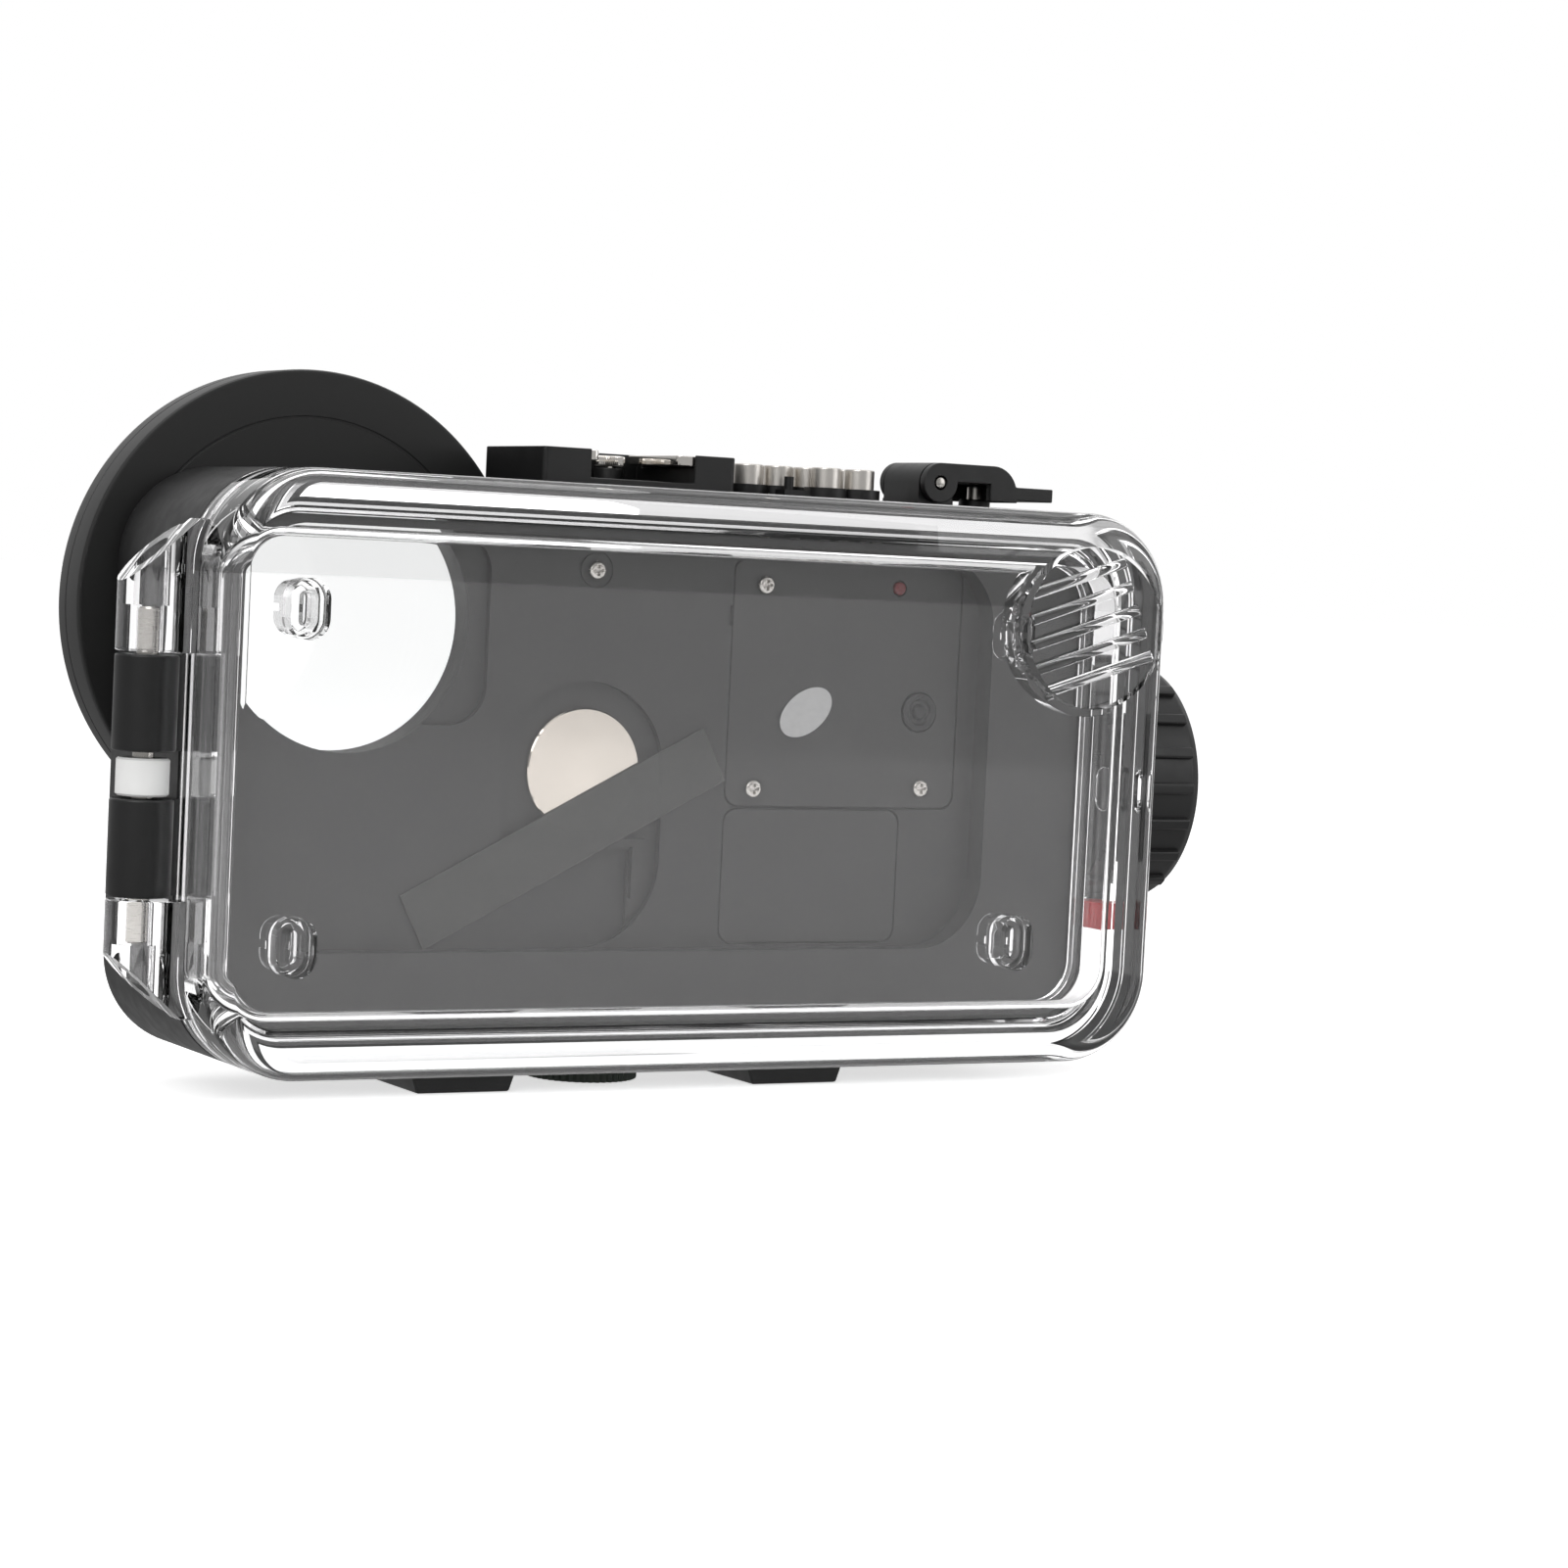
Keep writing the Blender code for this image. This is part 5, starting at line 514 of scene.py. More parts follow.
class Recipe(Graph):
    """A material's nodes, built round one Principled shader."""

    def __init__(self, name: str) -> None:
        """Makes the material.

        Args:
            name: Its name.
        """
        self.material = bpy.data.materials.new(name)
        self.material.use_nodes = True
        super().__init__(self.material.node_tree)
        self.shader = self.tree.nodes["Principled BSDF"]
        self.place = self.node("ShaderNodeTexCoord").outputs["Object"]

    def noise(self, scale: float, detail: float = 3.0, stretch: Spot | None = None) -> Socket:
        """A noise pattern on the object's own coordinates.

        Args:
            scale: Bumps per metre.
            detail: Number of finer layers.
            stretch: Scale along x, y and z, for brushed or drawn surfaces.

        Returns:
            The noise's value.
        """
        place = self.place
        if stretch:
            place = self.node("ShaderNodeMapping", Vector=place, Scale=stretch).outputs["Vector"]
        return self.node("ShaderNodeTexNoise", Scale=scale, Detail=detail, Vector=place).outputs["Fac"]

    def ranged(self, source: Socket, low: float, high: float) -> Socket:
        """Maps the middle of a pattern, from 0.3 to 0.7, to a range."""
        made = self.node("ShaderNodeMapRange", source, 0.3, 0.7, low, high)
        return made.outputs["Result"]

    def tinted(self, source: Socket, dark: Spot, light: Spot) -> Socket:
        """Mixes two colours by a pattern.

        Args:
            source: The pattern.
            dark: Colour at 0.3.
            light: Colour at 0.7.

        Returns:
            The mixed colour.
        """
        made = self.node("ShaderNodeValToRGB", source)
        for element, position, colour in zip(made.color_ramp.elements, (0.3, 0.7), (dark, light)):
            element.position = position
            element.color = (*colour, 1)
        return made.outputs["Color"]

    def bump(self, source: Socket, strength: float, height: float) -> None:
        """Adds a bump from a pattern, on top of any bump there is.

        Args:
            source: The pattern.
            strength: Share of the effect.
            height: Height of the pattern in millimetres.
        """
        made = self.node("ShaderNodeBump", Strength=strength, Distance=height * MILLIMETRE, Height=source)
        target = self.shader.inputs["Normal"]
        if target.is_linked:
            self.link(target.links[0].from_socket, made.inputs["Normal"])
        self.link(made.outputs["Normal"], target)

    def put(self, **sockets: object) -> None:
        """Sets or links inputs of the shader by name."""
        for key, value in sockets.items():
            self.fill(self.shader, key, value)

    def mixed(self, share: Socket, first: Socket, second: Socket) -> Socket:
        """Mixes two shaders by a share."""
        return self.node("ShaderNodeMixShader", share, first, second).outputs["Shader"]

    def show(self, surface: Socket) -> None:
        """Makes a shader the material's surface."""
        self.link(surface, self.tree.nodes["Material Output"].inputs["Surface"])


@dataclass(frozen=True)
class Finish:
    """What every finish shares: a name, the record's material slot and a cached material."""

    name: str
    slot: str

    def recipe(self) -> Recipe:
        """Builds the finish's nodes."""
        raise NotImplementedError

    def material(self) -> bpy.types.Material:
        """The finish's material, made once."""
        return bpy.data.materials.get(self.name) or self.recipe().material


@dataclass(frozen=True)
class MouldedPlastic(Finish):
    """Moulded plastic with a spark-eroded grain, faint flow marks and soft gloss changes."""

    dark: Spot = (0.0045, 0.0045, 0.0048)
    light: Spot = (0.0075, 0.0075, 0.0078)
    gloss: Flat = (0.36, 0.48)
    grain: float = 2600
    depth: float = 0.012

    def recipe(self) -> Recipe:
        """Builds the grain, the flow marks and the gloss.

        Returns:
            The finished recipe.
        """
        made = Recipe(self.name)
        cloud = made.noise(60, 4)
        made.put(Base_Color=made.tinted(cloud, self.dark, self.light), IOR=1.5)
        made.put(Roughness=made.ranged(made.noise(240, 5), *self.gloss))
        made.bump(made.noise(self.grain, 2), 0.5, self.depth)
        made.bump(cloud, 0.25, 0.05)
        return made


@dataclass(frozen=True)
class ClearPlastic(Finish):
    """Polished clear polycarbonate or glass, with the lightest handling haze and hairlines."""

    ior: float = 1.585
    tint: Spot = (0.955, 0.952, 0.956)
    haze: Flat = (0.0, 0.02)
    shadow: Spot = (0.93, 0.94, 0.94)

    def recipe(self) -> Recipe:
        """Builds the clear shader, and lets light reach what lies behind it.

        Returns:
            The finished recipe.
        """
        made = Recipe(self.name)
        made.put(Base_Color=(*self.tint, 1), Transmission_Weight=1.0, IOR=self.ior)
        made.put(Roughness=made.ranged(made.noise(90, 5), *self.haze))
        made.bump(made.noise(35, 2), 0.02, 0.01)
        path = made.node("ShaderNodeLightPath").outputs
        clear = made.node("ShaderNodeBsdfTransparent", (*self.shadow, 1)).outputs["BSDF"]
        made.show(made.mixed(path["Is Shadow Ray"], made.shader.outputs["BSDF"], clear))
        return made


@dataclass(frozen=True)
class Metal(Finish):
    """Machined metal with turning or brushing marks along the given directions."""

    colour: Spot = (0.56, 0.54, 0.51)
    gloss: Flat = (0.16, 0.30)
    marks: Spot = (1, 1, 12)
    scale: float = 500
    depth: float = 0.004

    def recipe(self) -> Recipe:
        """Builds the marks and the gloss.

        Returns:
            The finished recipe.
        """
        made = Recipe(self.name)
        lines = made.noise(self.scale, 3, self.marks)
        shade = tuple(channel * 0.86 for channel in self.colour)
        made.put(Base_Color=made.tinted(made.noise(45, 3), shade, self.colour), Metallic=1.0)
        made.put(Roughness=made.ranged(lines, *self.gloss))
        made.bump(lines, 0.35, self.depth)
        return made


@dataclass(frozen=True)
class Rubber(Finish):
    """Matt moulded silicone rubber with a fine tooth and a dusting on it."""

    colour: Spot = (0.016, 0.016, 0.016)
    dust: Spot = (0.034, 0.033, 0.032)

    def recipe(self) -> Recipe:
        """Builds the tooth and the dusting.

        Returns:
            The finished recipe.
        """
        made = Recipe(self.name)
        made.put(Base_Color=made.tinted(made.noise(420, 5), self.colour, self.dust))
        made.put(Roughness=made.ranged(made.noise(90, 3), 0.62, 0.78))
        made.bump(made.noise(1800, 3), 0.5, 0.02)
        return made


@dataclass(frozen=True)
class Film(Finish):
    """Thin grey film that lets some of what lies under it show."""

    colour: Spot = (0.040, 0.039, 0.038)
    cover: float = 0.78

    def recipe(self) -> Recipe:
        """Builds the drawn lines, the creases and the see-through share.

        Returns:
            The finished recipe.
        """
        made = Recipe(self.name)
        light = tuple(channel * 1.35 for channel in self.colour)
        streaks = made.noise(160, 4, (1, 1, 4))
        made.put(Base_Color=made.tinted(streaks, self.colour, light), Alpha=self.cover)
        made.put(Roughness=made.ranged(made.noise(80, 3), 0.3, 0.5))
        made.bump(made.noise(70, 3), 0.4, 0.12)
        return made


@dataclass(frozen=True)
class Paper(Finish):
    """A blank silver sticker with a light paper tooth."""

    colour: Spot = (0.42, 0.42, 0.42)

    def recipe(self) -> Recipe:
        """Builds the tooth and a faint mottling.

        Returns:
            The finished recipe.
        """
        made = Recipe(self.name)
        fleck = made.noise(900, 4)
        light = tuple(channel * 1.16 for channel in self.colour)
        made.put(Base_Color=made.tinted(fleck, self.colour, light), Metallic=0.25)
        made.put(Roughness=made.ranged(made.noise(300, 2), 0.38, 0.5))
        made.bump(fleck, 0.3, 0.01)
        return made


BLACK = MouldedPlastic("black_plastic_finish", "black_plastic")
PORT_BLACK = MouldedPlastic(
    "port_finish", "port_finish", dark=(0.016, 0.016, 0.0165), light=(0.023, 0.023, 0.024),
    gloss=(0.42, 0.55), grain=3400, depth=0.014,
)
TRAY_GREY = MouldedPlastic(
    "tray_finish", "grey_plastic", dark=(0.024, 0.0235, 0.0235), light=(0.030, 0.0295, 0.029),
    gloss=(0.5, 0.62), grain=1500, depth=0.02,
)
PLATE_GREY = MouldedPlastic(
    "plate_finish", "grey_plastic", dark=(0.028, 0.0275, 0.027), light=(0.034, 0.0335, 0.033),
    gloss=(0.5, 0.6), grain=1500, depth=0.02,
)
CAP_GREEN = MouldedPlastic(
    "dark_green_finish", "green_black_plastic", dark=(0.006, 0.014, 0.007), light=(0.010, 0.022, 0.011),
    gloss=(0.36, 0.5), grain=2400, depth=0.01,
)
RED = MouldedPlastic(
    "red_finish", "red_plastic", dark=(0.55, 0.010, 0.014), light=(0.66, 0.016, 0.020),
    gloss=(0.28, 0.4), grain=2200, depth=0.008,
)
LAMP_RED = MouldedPlastic(
    "leak_lamp_finish", "red_plastic", dark=(0.09, 0.005, 0.007), light=(0.13, 0.008, 0.010),
    gloss=(0.2, 0.3), grain=2200, depth=0.004,
)
NYLON = MouldedPlastic(
    "white_nylon_finish", "white_nylon", dark=(0.76, 0.76, 0.75), light=(0.84, 0.84, 0.83),
    gloss=(0.34, 0.46), grain=1800, depth=0.01,
)
BOARD_GREEN = MouldedPlastic(
    "circuit_board_finish", "board_green", dark=(0.012, 0.075, 0.030), light=(0.020, 0.110, 0.045),
    gloss=(0.3, 0.45), grain=900, depth=0.01,
)
CELL_WRAP = MouldedPlastic(
    "cell_wrap_finish", "cell_wrap", dark=(0.16, 0.17, 0.19), light=(0.22, 0.23, 0.25),
    gloss=(0.25, 0.35), grain=700, depth=0.004,
)
CLEAR = ClearPlastic("clear_polycarbonate_finish", "clear_polycarbonate")
GLASS = ClearPlastic("port_glass_finish", "port_glass", ior=1.5, tint=(0.99, 1.0, 0.995), haze=(0.0, 0.008))
STEEL = Metal("brushed_steel_finish", "brushed_steel")
BUTTON_STEEL = Metal(
    "button_steel_finish", "brushed_steel", colour=(0.74, 0.71, 0.67),
    gloss=(0.28, 0.40), marks=(9, 9, 1), scale=700, depth=0.003,
)
CHROME = Metal(
    "polished_steel_finish", "polished_steel", colour=(0.83, 0.80, 0.76),
    gloss=(0.05, 0.10), marks=(6, 1, 1), scale=260, depth=0.002,
)
DISC_MIRROR = Metal(
    "disc_mirror_finish", "polished_steel", colour=(0.65, 0.60, 0.54),
    gloss=(0.04, 0.08), marks=(1, 1, 5), scale=120, depth=0.002,
)
RUBBER = Rubber("seal_rubber_finish", "seal_rubber")
FILM = Film("grey_film_finish", "grey_film")
STICKER = Paper("blank_sticker_finish", "silver_label")


def dress(thing: Thing, finish: Finish, *nodes: str, body: str = Body.ROOT.value) -> None:
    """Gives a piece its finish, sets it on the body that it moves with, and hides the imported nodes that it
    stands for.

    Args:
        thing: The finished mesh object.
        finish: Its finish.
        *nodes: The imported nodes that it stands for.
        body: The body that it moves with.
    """
    thing.data.materials.clear()
    thing.data.materials.append(finish.material())
    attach(thing, body)
    if nodes:
        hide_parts(*nodes)
    LOG.info("%s: %d faces on %s", thing.name, len(thing.data.polygons), body)


def turn_piece(
    name: str,
    profile: Sequence[Flat],
    axis: Axis,
    centre: Flat,
    sides: int,
    finish: Finish,
    node: str,
    body: str = Body.ROOT.value,
) -> None:
    """Turns a profile of (radius, distance along the axis), smooths it and dresses it."""
    dress(smooth(Solid(name).turned(profile, axis, centre, sides).made()), finish, node, body=body)


def repaint(frame: dict, finish: Finish, *nodes: str) -> None:
    """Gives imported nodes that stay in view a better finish.

    Args:
        finish: The finish.
        *nodes: Names of the nodes.
    """
    for node in nodes:
        shown = frame["nodes"][node]
        shown.data.materials.clear()
        shown.data.materials.append(finish.material())
        LOG.info("%s repainted", node)


# repeated shapes


class Pattern(Graph):
    """A Geometry Nodes tree that copies a shape to many places and makes one plain mesh of it."""

    def __init__(self, name: str) -> None:
        """Starts the tree, with a shape and a material as inputs.

        Args:
            name: Name of the tree.
        """
        super().__init__(bpy.data.node_groups.new(name, "GeometryNodeTree"))
        self.sockets: dict[str, str] = {}
        self.add_socket("Shape", "NodeSocketGeometry")
        self.tree.interface.new_socket("Result", in_out="OUTPUT", socket_type="NodeSocketGeometry")
        self.add_socket("Material", "NodeSocketMaterial")
        self.given = self.node("NodeGroupInput")
        self.result = self.node("NodeGroupOutput")

    def add_socket(self, name: str, kind: str) -> None:
        """Adds a named input and keeps its identifier."""
        made = self.tree.interface.new_socket(name, in_out="INPUT", socket_type=kind)
        self.sockets[name] = made.identifier

    def shifted(self, shape: Socket, step: Socket) -> Socket:
        """Moves a geometry by a step."""
        return self.node("GeometryNodeTransform", Geometry=shape, Translation=step).outputs["Geometry"]

    def close(self, instances: Socket, placed: Callable[[Socket], Socket] | None = None) -> None:
        """Ends the tree in Realize Instances and Set Material.

        Args:
            instances: The copies.
            placed: A last step that takes and gives a geometry socket, or None.
        """
        result = self.node("GeometryNodeRealizeInstances", instances).outputs[0]
        if placed:
            result = placed(result)
        paint = self.node("GeometryNodeSetMaterial", Geometry=result, Material=self.given.outputs["Material"])
        self.link(paint.outputs["Geometry"], self.result.inputs["Result"])

    def applied(self, thing: Thing, name: str, **values: object) -> Thing:
        """Runs the tree on a shape and keeps the plain mesh.

        Args:
            thing: The object with the shape to copy.
            name: Its new name.
            **values: Inputs by name.

        Returns:
            The object with all copies in its mesh.
        """
        modifier = thing.modifiers.new("pattern", "NODES")
        modifier.node_group = self.tree
        for socket, value in values.items():
            modifier[self.sockets[socket]] = value
        settle(thing).name = name
        return thing


class RoundPattern(Pattern):
    """Copies of a shape at even turns round an axis."""

    def __init__(self, name: str, axis: Axis) -> None:
        """Builds the tree.

        Args:
            name: Name of the tree.
            axis: Direction of the axis to turn about.
        """
        super().__init__(name)
        self.add_socket("Count", "NodeSocketInt")
        self.add_socket("Middle", "NodeSocketVector")
        given = self.given.outputs
        points = self.node("GeometryNodeMeshLine", mode="OFFSET", Offset=(0, 0, 0), Count=given["Count"])
        home = self.node("ShaderNodeVectorMath", given["Middle"], operation="SCALE", Scale=-1)
        centred = self.shifted(given["Shape"], home.outputs["Vector"])
        index = self.node("GeometryNodeInputIndex").outputs[0]
        turn = self.calculate("MULTIPLY", self.calculate("DIVIDE", index, given["Count"]), math.tau)
        euler = self.node("ShaderNodeCombineXYZ")
        self.link(turn, euler.inputs[axis.value[2]])
        copies = self.node(
            "GeometryNodeInstanceOnPoints",
            Points=points.outputs["Mesh"],
            Instance=centred,
            Rotation=euler.outputs[0],
        )
        self.close(copies.outputs["Instances"], lambda result: self.shifted(result, given["Middle"]))


class SpotPattern(Pattern):
    """Copies of a shape at given steps from where it was drawn."""

    def __init__(self, name: str, spots: int) -> None:
        """Builds the tree with one Step input for each copy.

        Args:
            name: Name of the tree.
            spots: Number of copies.
        """
        super().__init__(name)
        joined = self.node("GeometryNodeJoinGeometry")
        for index in range(1, spots + 1):
            self.add_socket(f"Step {index}", "NodeSocketVector")
            given = self.given.outputs
            self.link(self.shifted(given["Shape"], given[f"Step {index}"]), joined.inputs["Geometry"])
        self.close(joined.outputs["Geometry"])


# the clear cover


@dataclass
class ClearCover:
    """The hinged clear cover: thick walls, a window, four stops, a finger scoop and two hinge lugs."""

    depth: float = 20.0
    side_wall: float = 10.0
    edge_wall: float = 11.2
    hinge_wall: float = 3.5
    flange_depth: float = 4.0
    front_round: float = 4.5
    window: float = 5.0
    window_round: float = 2.0
    rebates: tuple[Spot, ...] = ((2.6, 5.4, 2.8), (6.4, 7.0, 0.6), (7.5, 8.1, 0.6))
    rebate_lip: float = 0.25
    stops: tuple[Flat, ...] = ((-87.1, 32.0), (-87.1, -31.0), (72.4, -31.0), (72.4, 32.0))
    stop_height: float = 10.0
    scoop: Flat = (86.4, 34.5)
    scoop_radius: float = 18.4
    scoop_wall: float = 1.6
    scoop_depths: Flat = (8.0, 0.6)
    scoop_floor: float = 2.2
    ribs: int = 5
    rib_pitch: float = 5.1
    rib_tilt: float = 20.0
    rib_end: float = 12.5
    lug_middle: float = 1.1
    lug_end: float = 46.6
    lug_shoulder: float = 34.5
    lug_spans: tuple[tuple[int, float, float], ...] = ((1, 22.7, 31.3), (-1, 23.4, 31.8))
    latch_lug: Flat = (-4.5, 0.5)
    latch_lug_size: Flat = (5.6, 9.5)
    latch_lug_span: Flat = (104.0, 105.9)

    def shell(self) -> Thing:
        """The tub: outer walls, rounded front, mating face and cavity in one closed surface.

        Returns:
            The tub.
        """
        loops: list[list[Spot]] = []

        def outer(amount: float, y: float) -> None:
            """Adds a loop of the outer outline, drawn in by an amount."""
            loops.append(Axis.Y.loop(shell_outline(amount, 24), y))

        def inner(amount: float, y: float, hinge_wall: float) -> None:
            """Adds a loop of the cavity.

            Args:
                amount: Distance drawn in.
                y: Place along the view.
                hinge_wall: Thickness of the wall on the hinge side.
            """
            take = self.edge_wall + amount
            low = (-HALF_WIDTH + hinge_wall + amount, BOTTOM + take)
            high = (HALF_WIDTH - self.side_wall - amount, TOP - take)
            loops.append(Axis.Y.loop(round_box(low, high, CORNER - self.side_wall - amount, 24), y))

        for take, rise in rounding(self.front_round, 12):
            outer(take, -self.depth + rise)
        outer(0, -0.5)
        outer(0.4, 0)
        for near, far, deep in self.rebates:
            outer(near, 0)
            outer(far, -deep)
            outer(far + self.rebate_lip, 0)
        inner(-0.4, 0, self.side_wall)
        inner(0, -0.5, self.side_wall)
        inner(0, -self.flange_depth + 0.5, self.side_wall)
        inner(0, -self.flange_depth, self.side_wall - 0.5)
        inner(0, -self.flange_depth, self.hinge_wall)
        back = self.window - self.depth
        for lift, take in rounding(self.window_round, 8):
            inner(take, back + lift, self.hinge_wall)
        return Solid("clear_cover_shell").loft(loops).made()

    def floor_y(self, x: float) -> float:
        """Depth of the scoop's slanting floor.

        Args:
            x: Place across the cover.

        Returns:
            The floor's y there.
        """
        share = (x - self.scoop[0] + self.scoop_radius) / (2 * self.scoop_radius)
        deep, shallow = self.scoop_depths
        return deep + (shallow - deep) * share - self.depth

    def scoop_rod(self, name: str, radius: float, front: float, raised: float) -> Solid:
        """A round bar whose far end follows the scoop's floor.

        Args:
            name: Name of the piece.
            radius: Radius of the bar.
            front: Where it starts.
            raised: How far beyond the floor it ends.

        Returns:
            The bar.
        """
        outline = circle(self.scoop, radius, 128)
        far_end = [(x, self.floor_y(x) + raised, z) for x, z in outline]
        return Solid(name).loft([Axis.Y.loop(outline, front), far_end])

    def rib(self, index: int) -> Solid:
        """One rounded rib on the scoop's floor.

        Args:
            index: Its number from below.

        Returns:
            The rib.
        """
        half_wide, tall, sunk, steps = 1.15, 1.35, 0.8, 12
        aside = (index - self.ribs // 2) * self.rib_pitch
        reach = math.sqrt(max((self.scoop_radius - 1.2) ** 2 - aside**2, 16))
        low, high = -reach, min(reach, self.rib_end)
        loops = []
        for step in range(steps + 1):
            along = low + (high - low) * step / steps
            swell = 1 - 0.55 * max(0.0, (step - 9) / 3) ** 2
            bends = [math.radians(angle) for angle in range(0, 181, 15)]
            section = [(along, -tall * swell * math.sin(b), half_wide * math.cos(b)) for b in bends]
            loops.append([*section, (along, sunk, -half_wide), (along, sunk, half_wide)])
        slope = math.atan2(self.scoop_depths[1] - self.scoop_depths[0], 2 * self.scoop_radius)
        turn = Matrix.Rotation(slope, 3, "Z") @ Matrix.Rotation(-math.radians(self.rib_tilt), 3, "Y")
        shift = turn @ Vector((0, 0, aside))
        x = self.scoop[0] + shift.x
        place = (x, self.floor_y(x), self.scoop[1] + shift.z)
        return Solid(f"scoop_rib_{index}").loft(loops).moved(turn, place)

    def stop(self, index: int, spot: Flat) -> Thing:
        """A hollow pad with a slit, which presses on the phone.

        Args:
            index: Its number.
            spot: Its middle.

        Returns:
            The pad, to be joined to the window.
        """
        back = self.window - self.depth
        tip = back + self.stop_height
        step = tip - 4.5
        levels = (
            (8.0, 11.5, back - 1.0),
            (8.0, 11.5, step - 0.3),
            (7.7, 11.2, step),
            (7.0, 10.5, step),
            (7.0, 10.5, tip - 0.4),
            (6.4, 9.9, tip),
            (5.4, 8.9, tip),
            (5.4, 8.9, step - 0.5),
            (2.3, 6.7, step - 0.5),
            (2.3, 6.7, back + 1.5),
        )
        loops = [Axis.Y.loop(stadium(spot, wide, tall), y) for wide, tall, y in levels]
        x, z = spot
        slit = Solid("slit").block((x - 8, tip - 3.2, z - 0.75), (x, tip + 1, z + 0.75))
        return combine(Solid(f"stop_{index}").loft(loops).made(), [slit])

    def lug(self, side: int, near: float, pin_end: float) -> Thing:
        """One of the two clear hinge lugs, with its sloping shoulder and its bore.

        Args:
            side: 1 for the upper one, -1 for the lower one.
            near: Where it starts, beside the body's barrel.
            pin_end: Where the hinge pin ends.

        Returns:
            The lug.
        """

        def span(first: float, second: float) -> list[float]:
            """Two distances on this lug's side, in rising order."""
            return sorted((side * first, side * second))

        end = -360 - math.degrees(math.asin(GAP / HINGE_RADIUS))
        root = -HALF_WIDTH + 2.5
        outline = arc(HINGE, HINGE_RADIUS, -90, end, 40) + [(root, -GAP), (root, -HINGE_RADIUS)]
        low, high = sorted((side * near, side * self.lug_end + self.lug_middle))
        lug = Solid("hinge_lug").prism(outline[::-1], Axis.Z, low, high, 0.35).made()
        outer = Vector((HINGE[0] - HINGE_RADIUS, self.lug_shoulder))
        inner = Vector((-HALF_WIDTH, self.lug_end))
        run = (inner - outer).normalized() * HINGE_RADIUS
        corners = [outer - run, inner + run, Vector((outer.x - run.x, inner.y + run.y))]
        slope = [(corner.x, side * corner.y + self.lug_middle) for corner in corners]
        trim = Solid("trim").prism(slope if side > 0 else slope[::-1], Axis.Y, -12, 12)
        bore = Solid("bore").rod(HINGE, PIN_BORE, Axis.Z, *span(4.2, pin_end + 0.2))
        well = Solid("well").rod(HINGE, 3.0, Axis.Z, *span(pin_end, 50))
        return combine(lug, [trim, bore, well])

    def build(self) -> None:
        """Makes the whole cover as one fused clear piece and dresses it."""
        cover = self.shell()
        middle = (self.window - self.depth - self.depth) / 2
        wall = self.scoop_rod("scoop_wall", self.scoop_radius, middle, self.scoop_floor)
        pads = [self.stop(index, spot) for index, spot in enumerate(self.stops, 1)]
        combine(cover, [wall, *pads], "UNION")
        combine(cover, [self.scoop_rod("hollow", self.scoop_radius - self.scoop_wall, -self.depth - 1, 0.0)])
        ribs = [self.rib(index) for index in range(self.ribs)]
        outline = stadium(self.latch_lug, *self.latch_lug_size)
        latch = Solid("latch_lug").prism(outline, Axis.X, *self.latch_lug_span, 0.3)
        combine(cover, [*ribs, latch, *(self.lug(*span) for span in self.lug_spans)], "UNION")
        cover.name = "cover_moulding"
        dress(smooth(cover, 0.0, sharp=30), CLEAR, "clear_cover", body=Body.COVER.value)


# the body


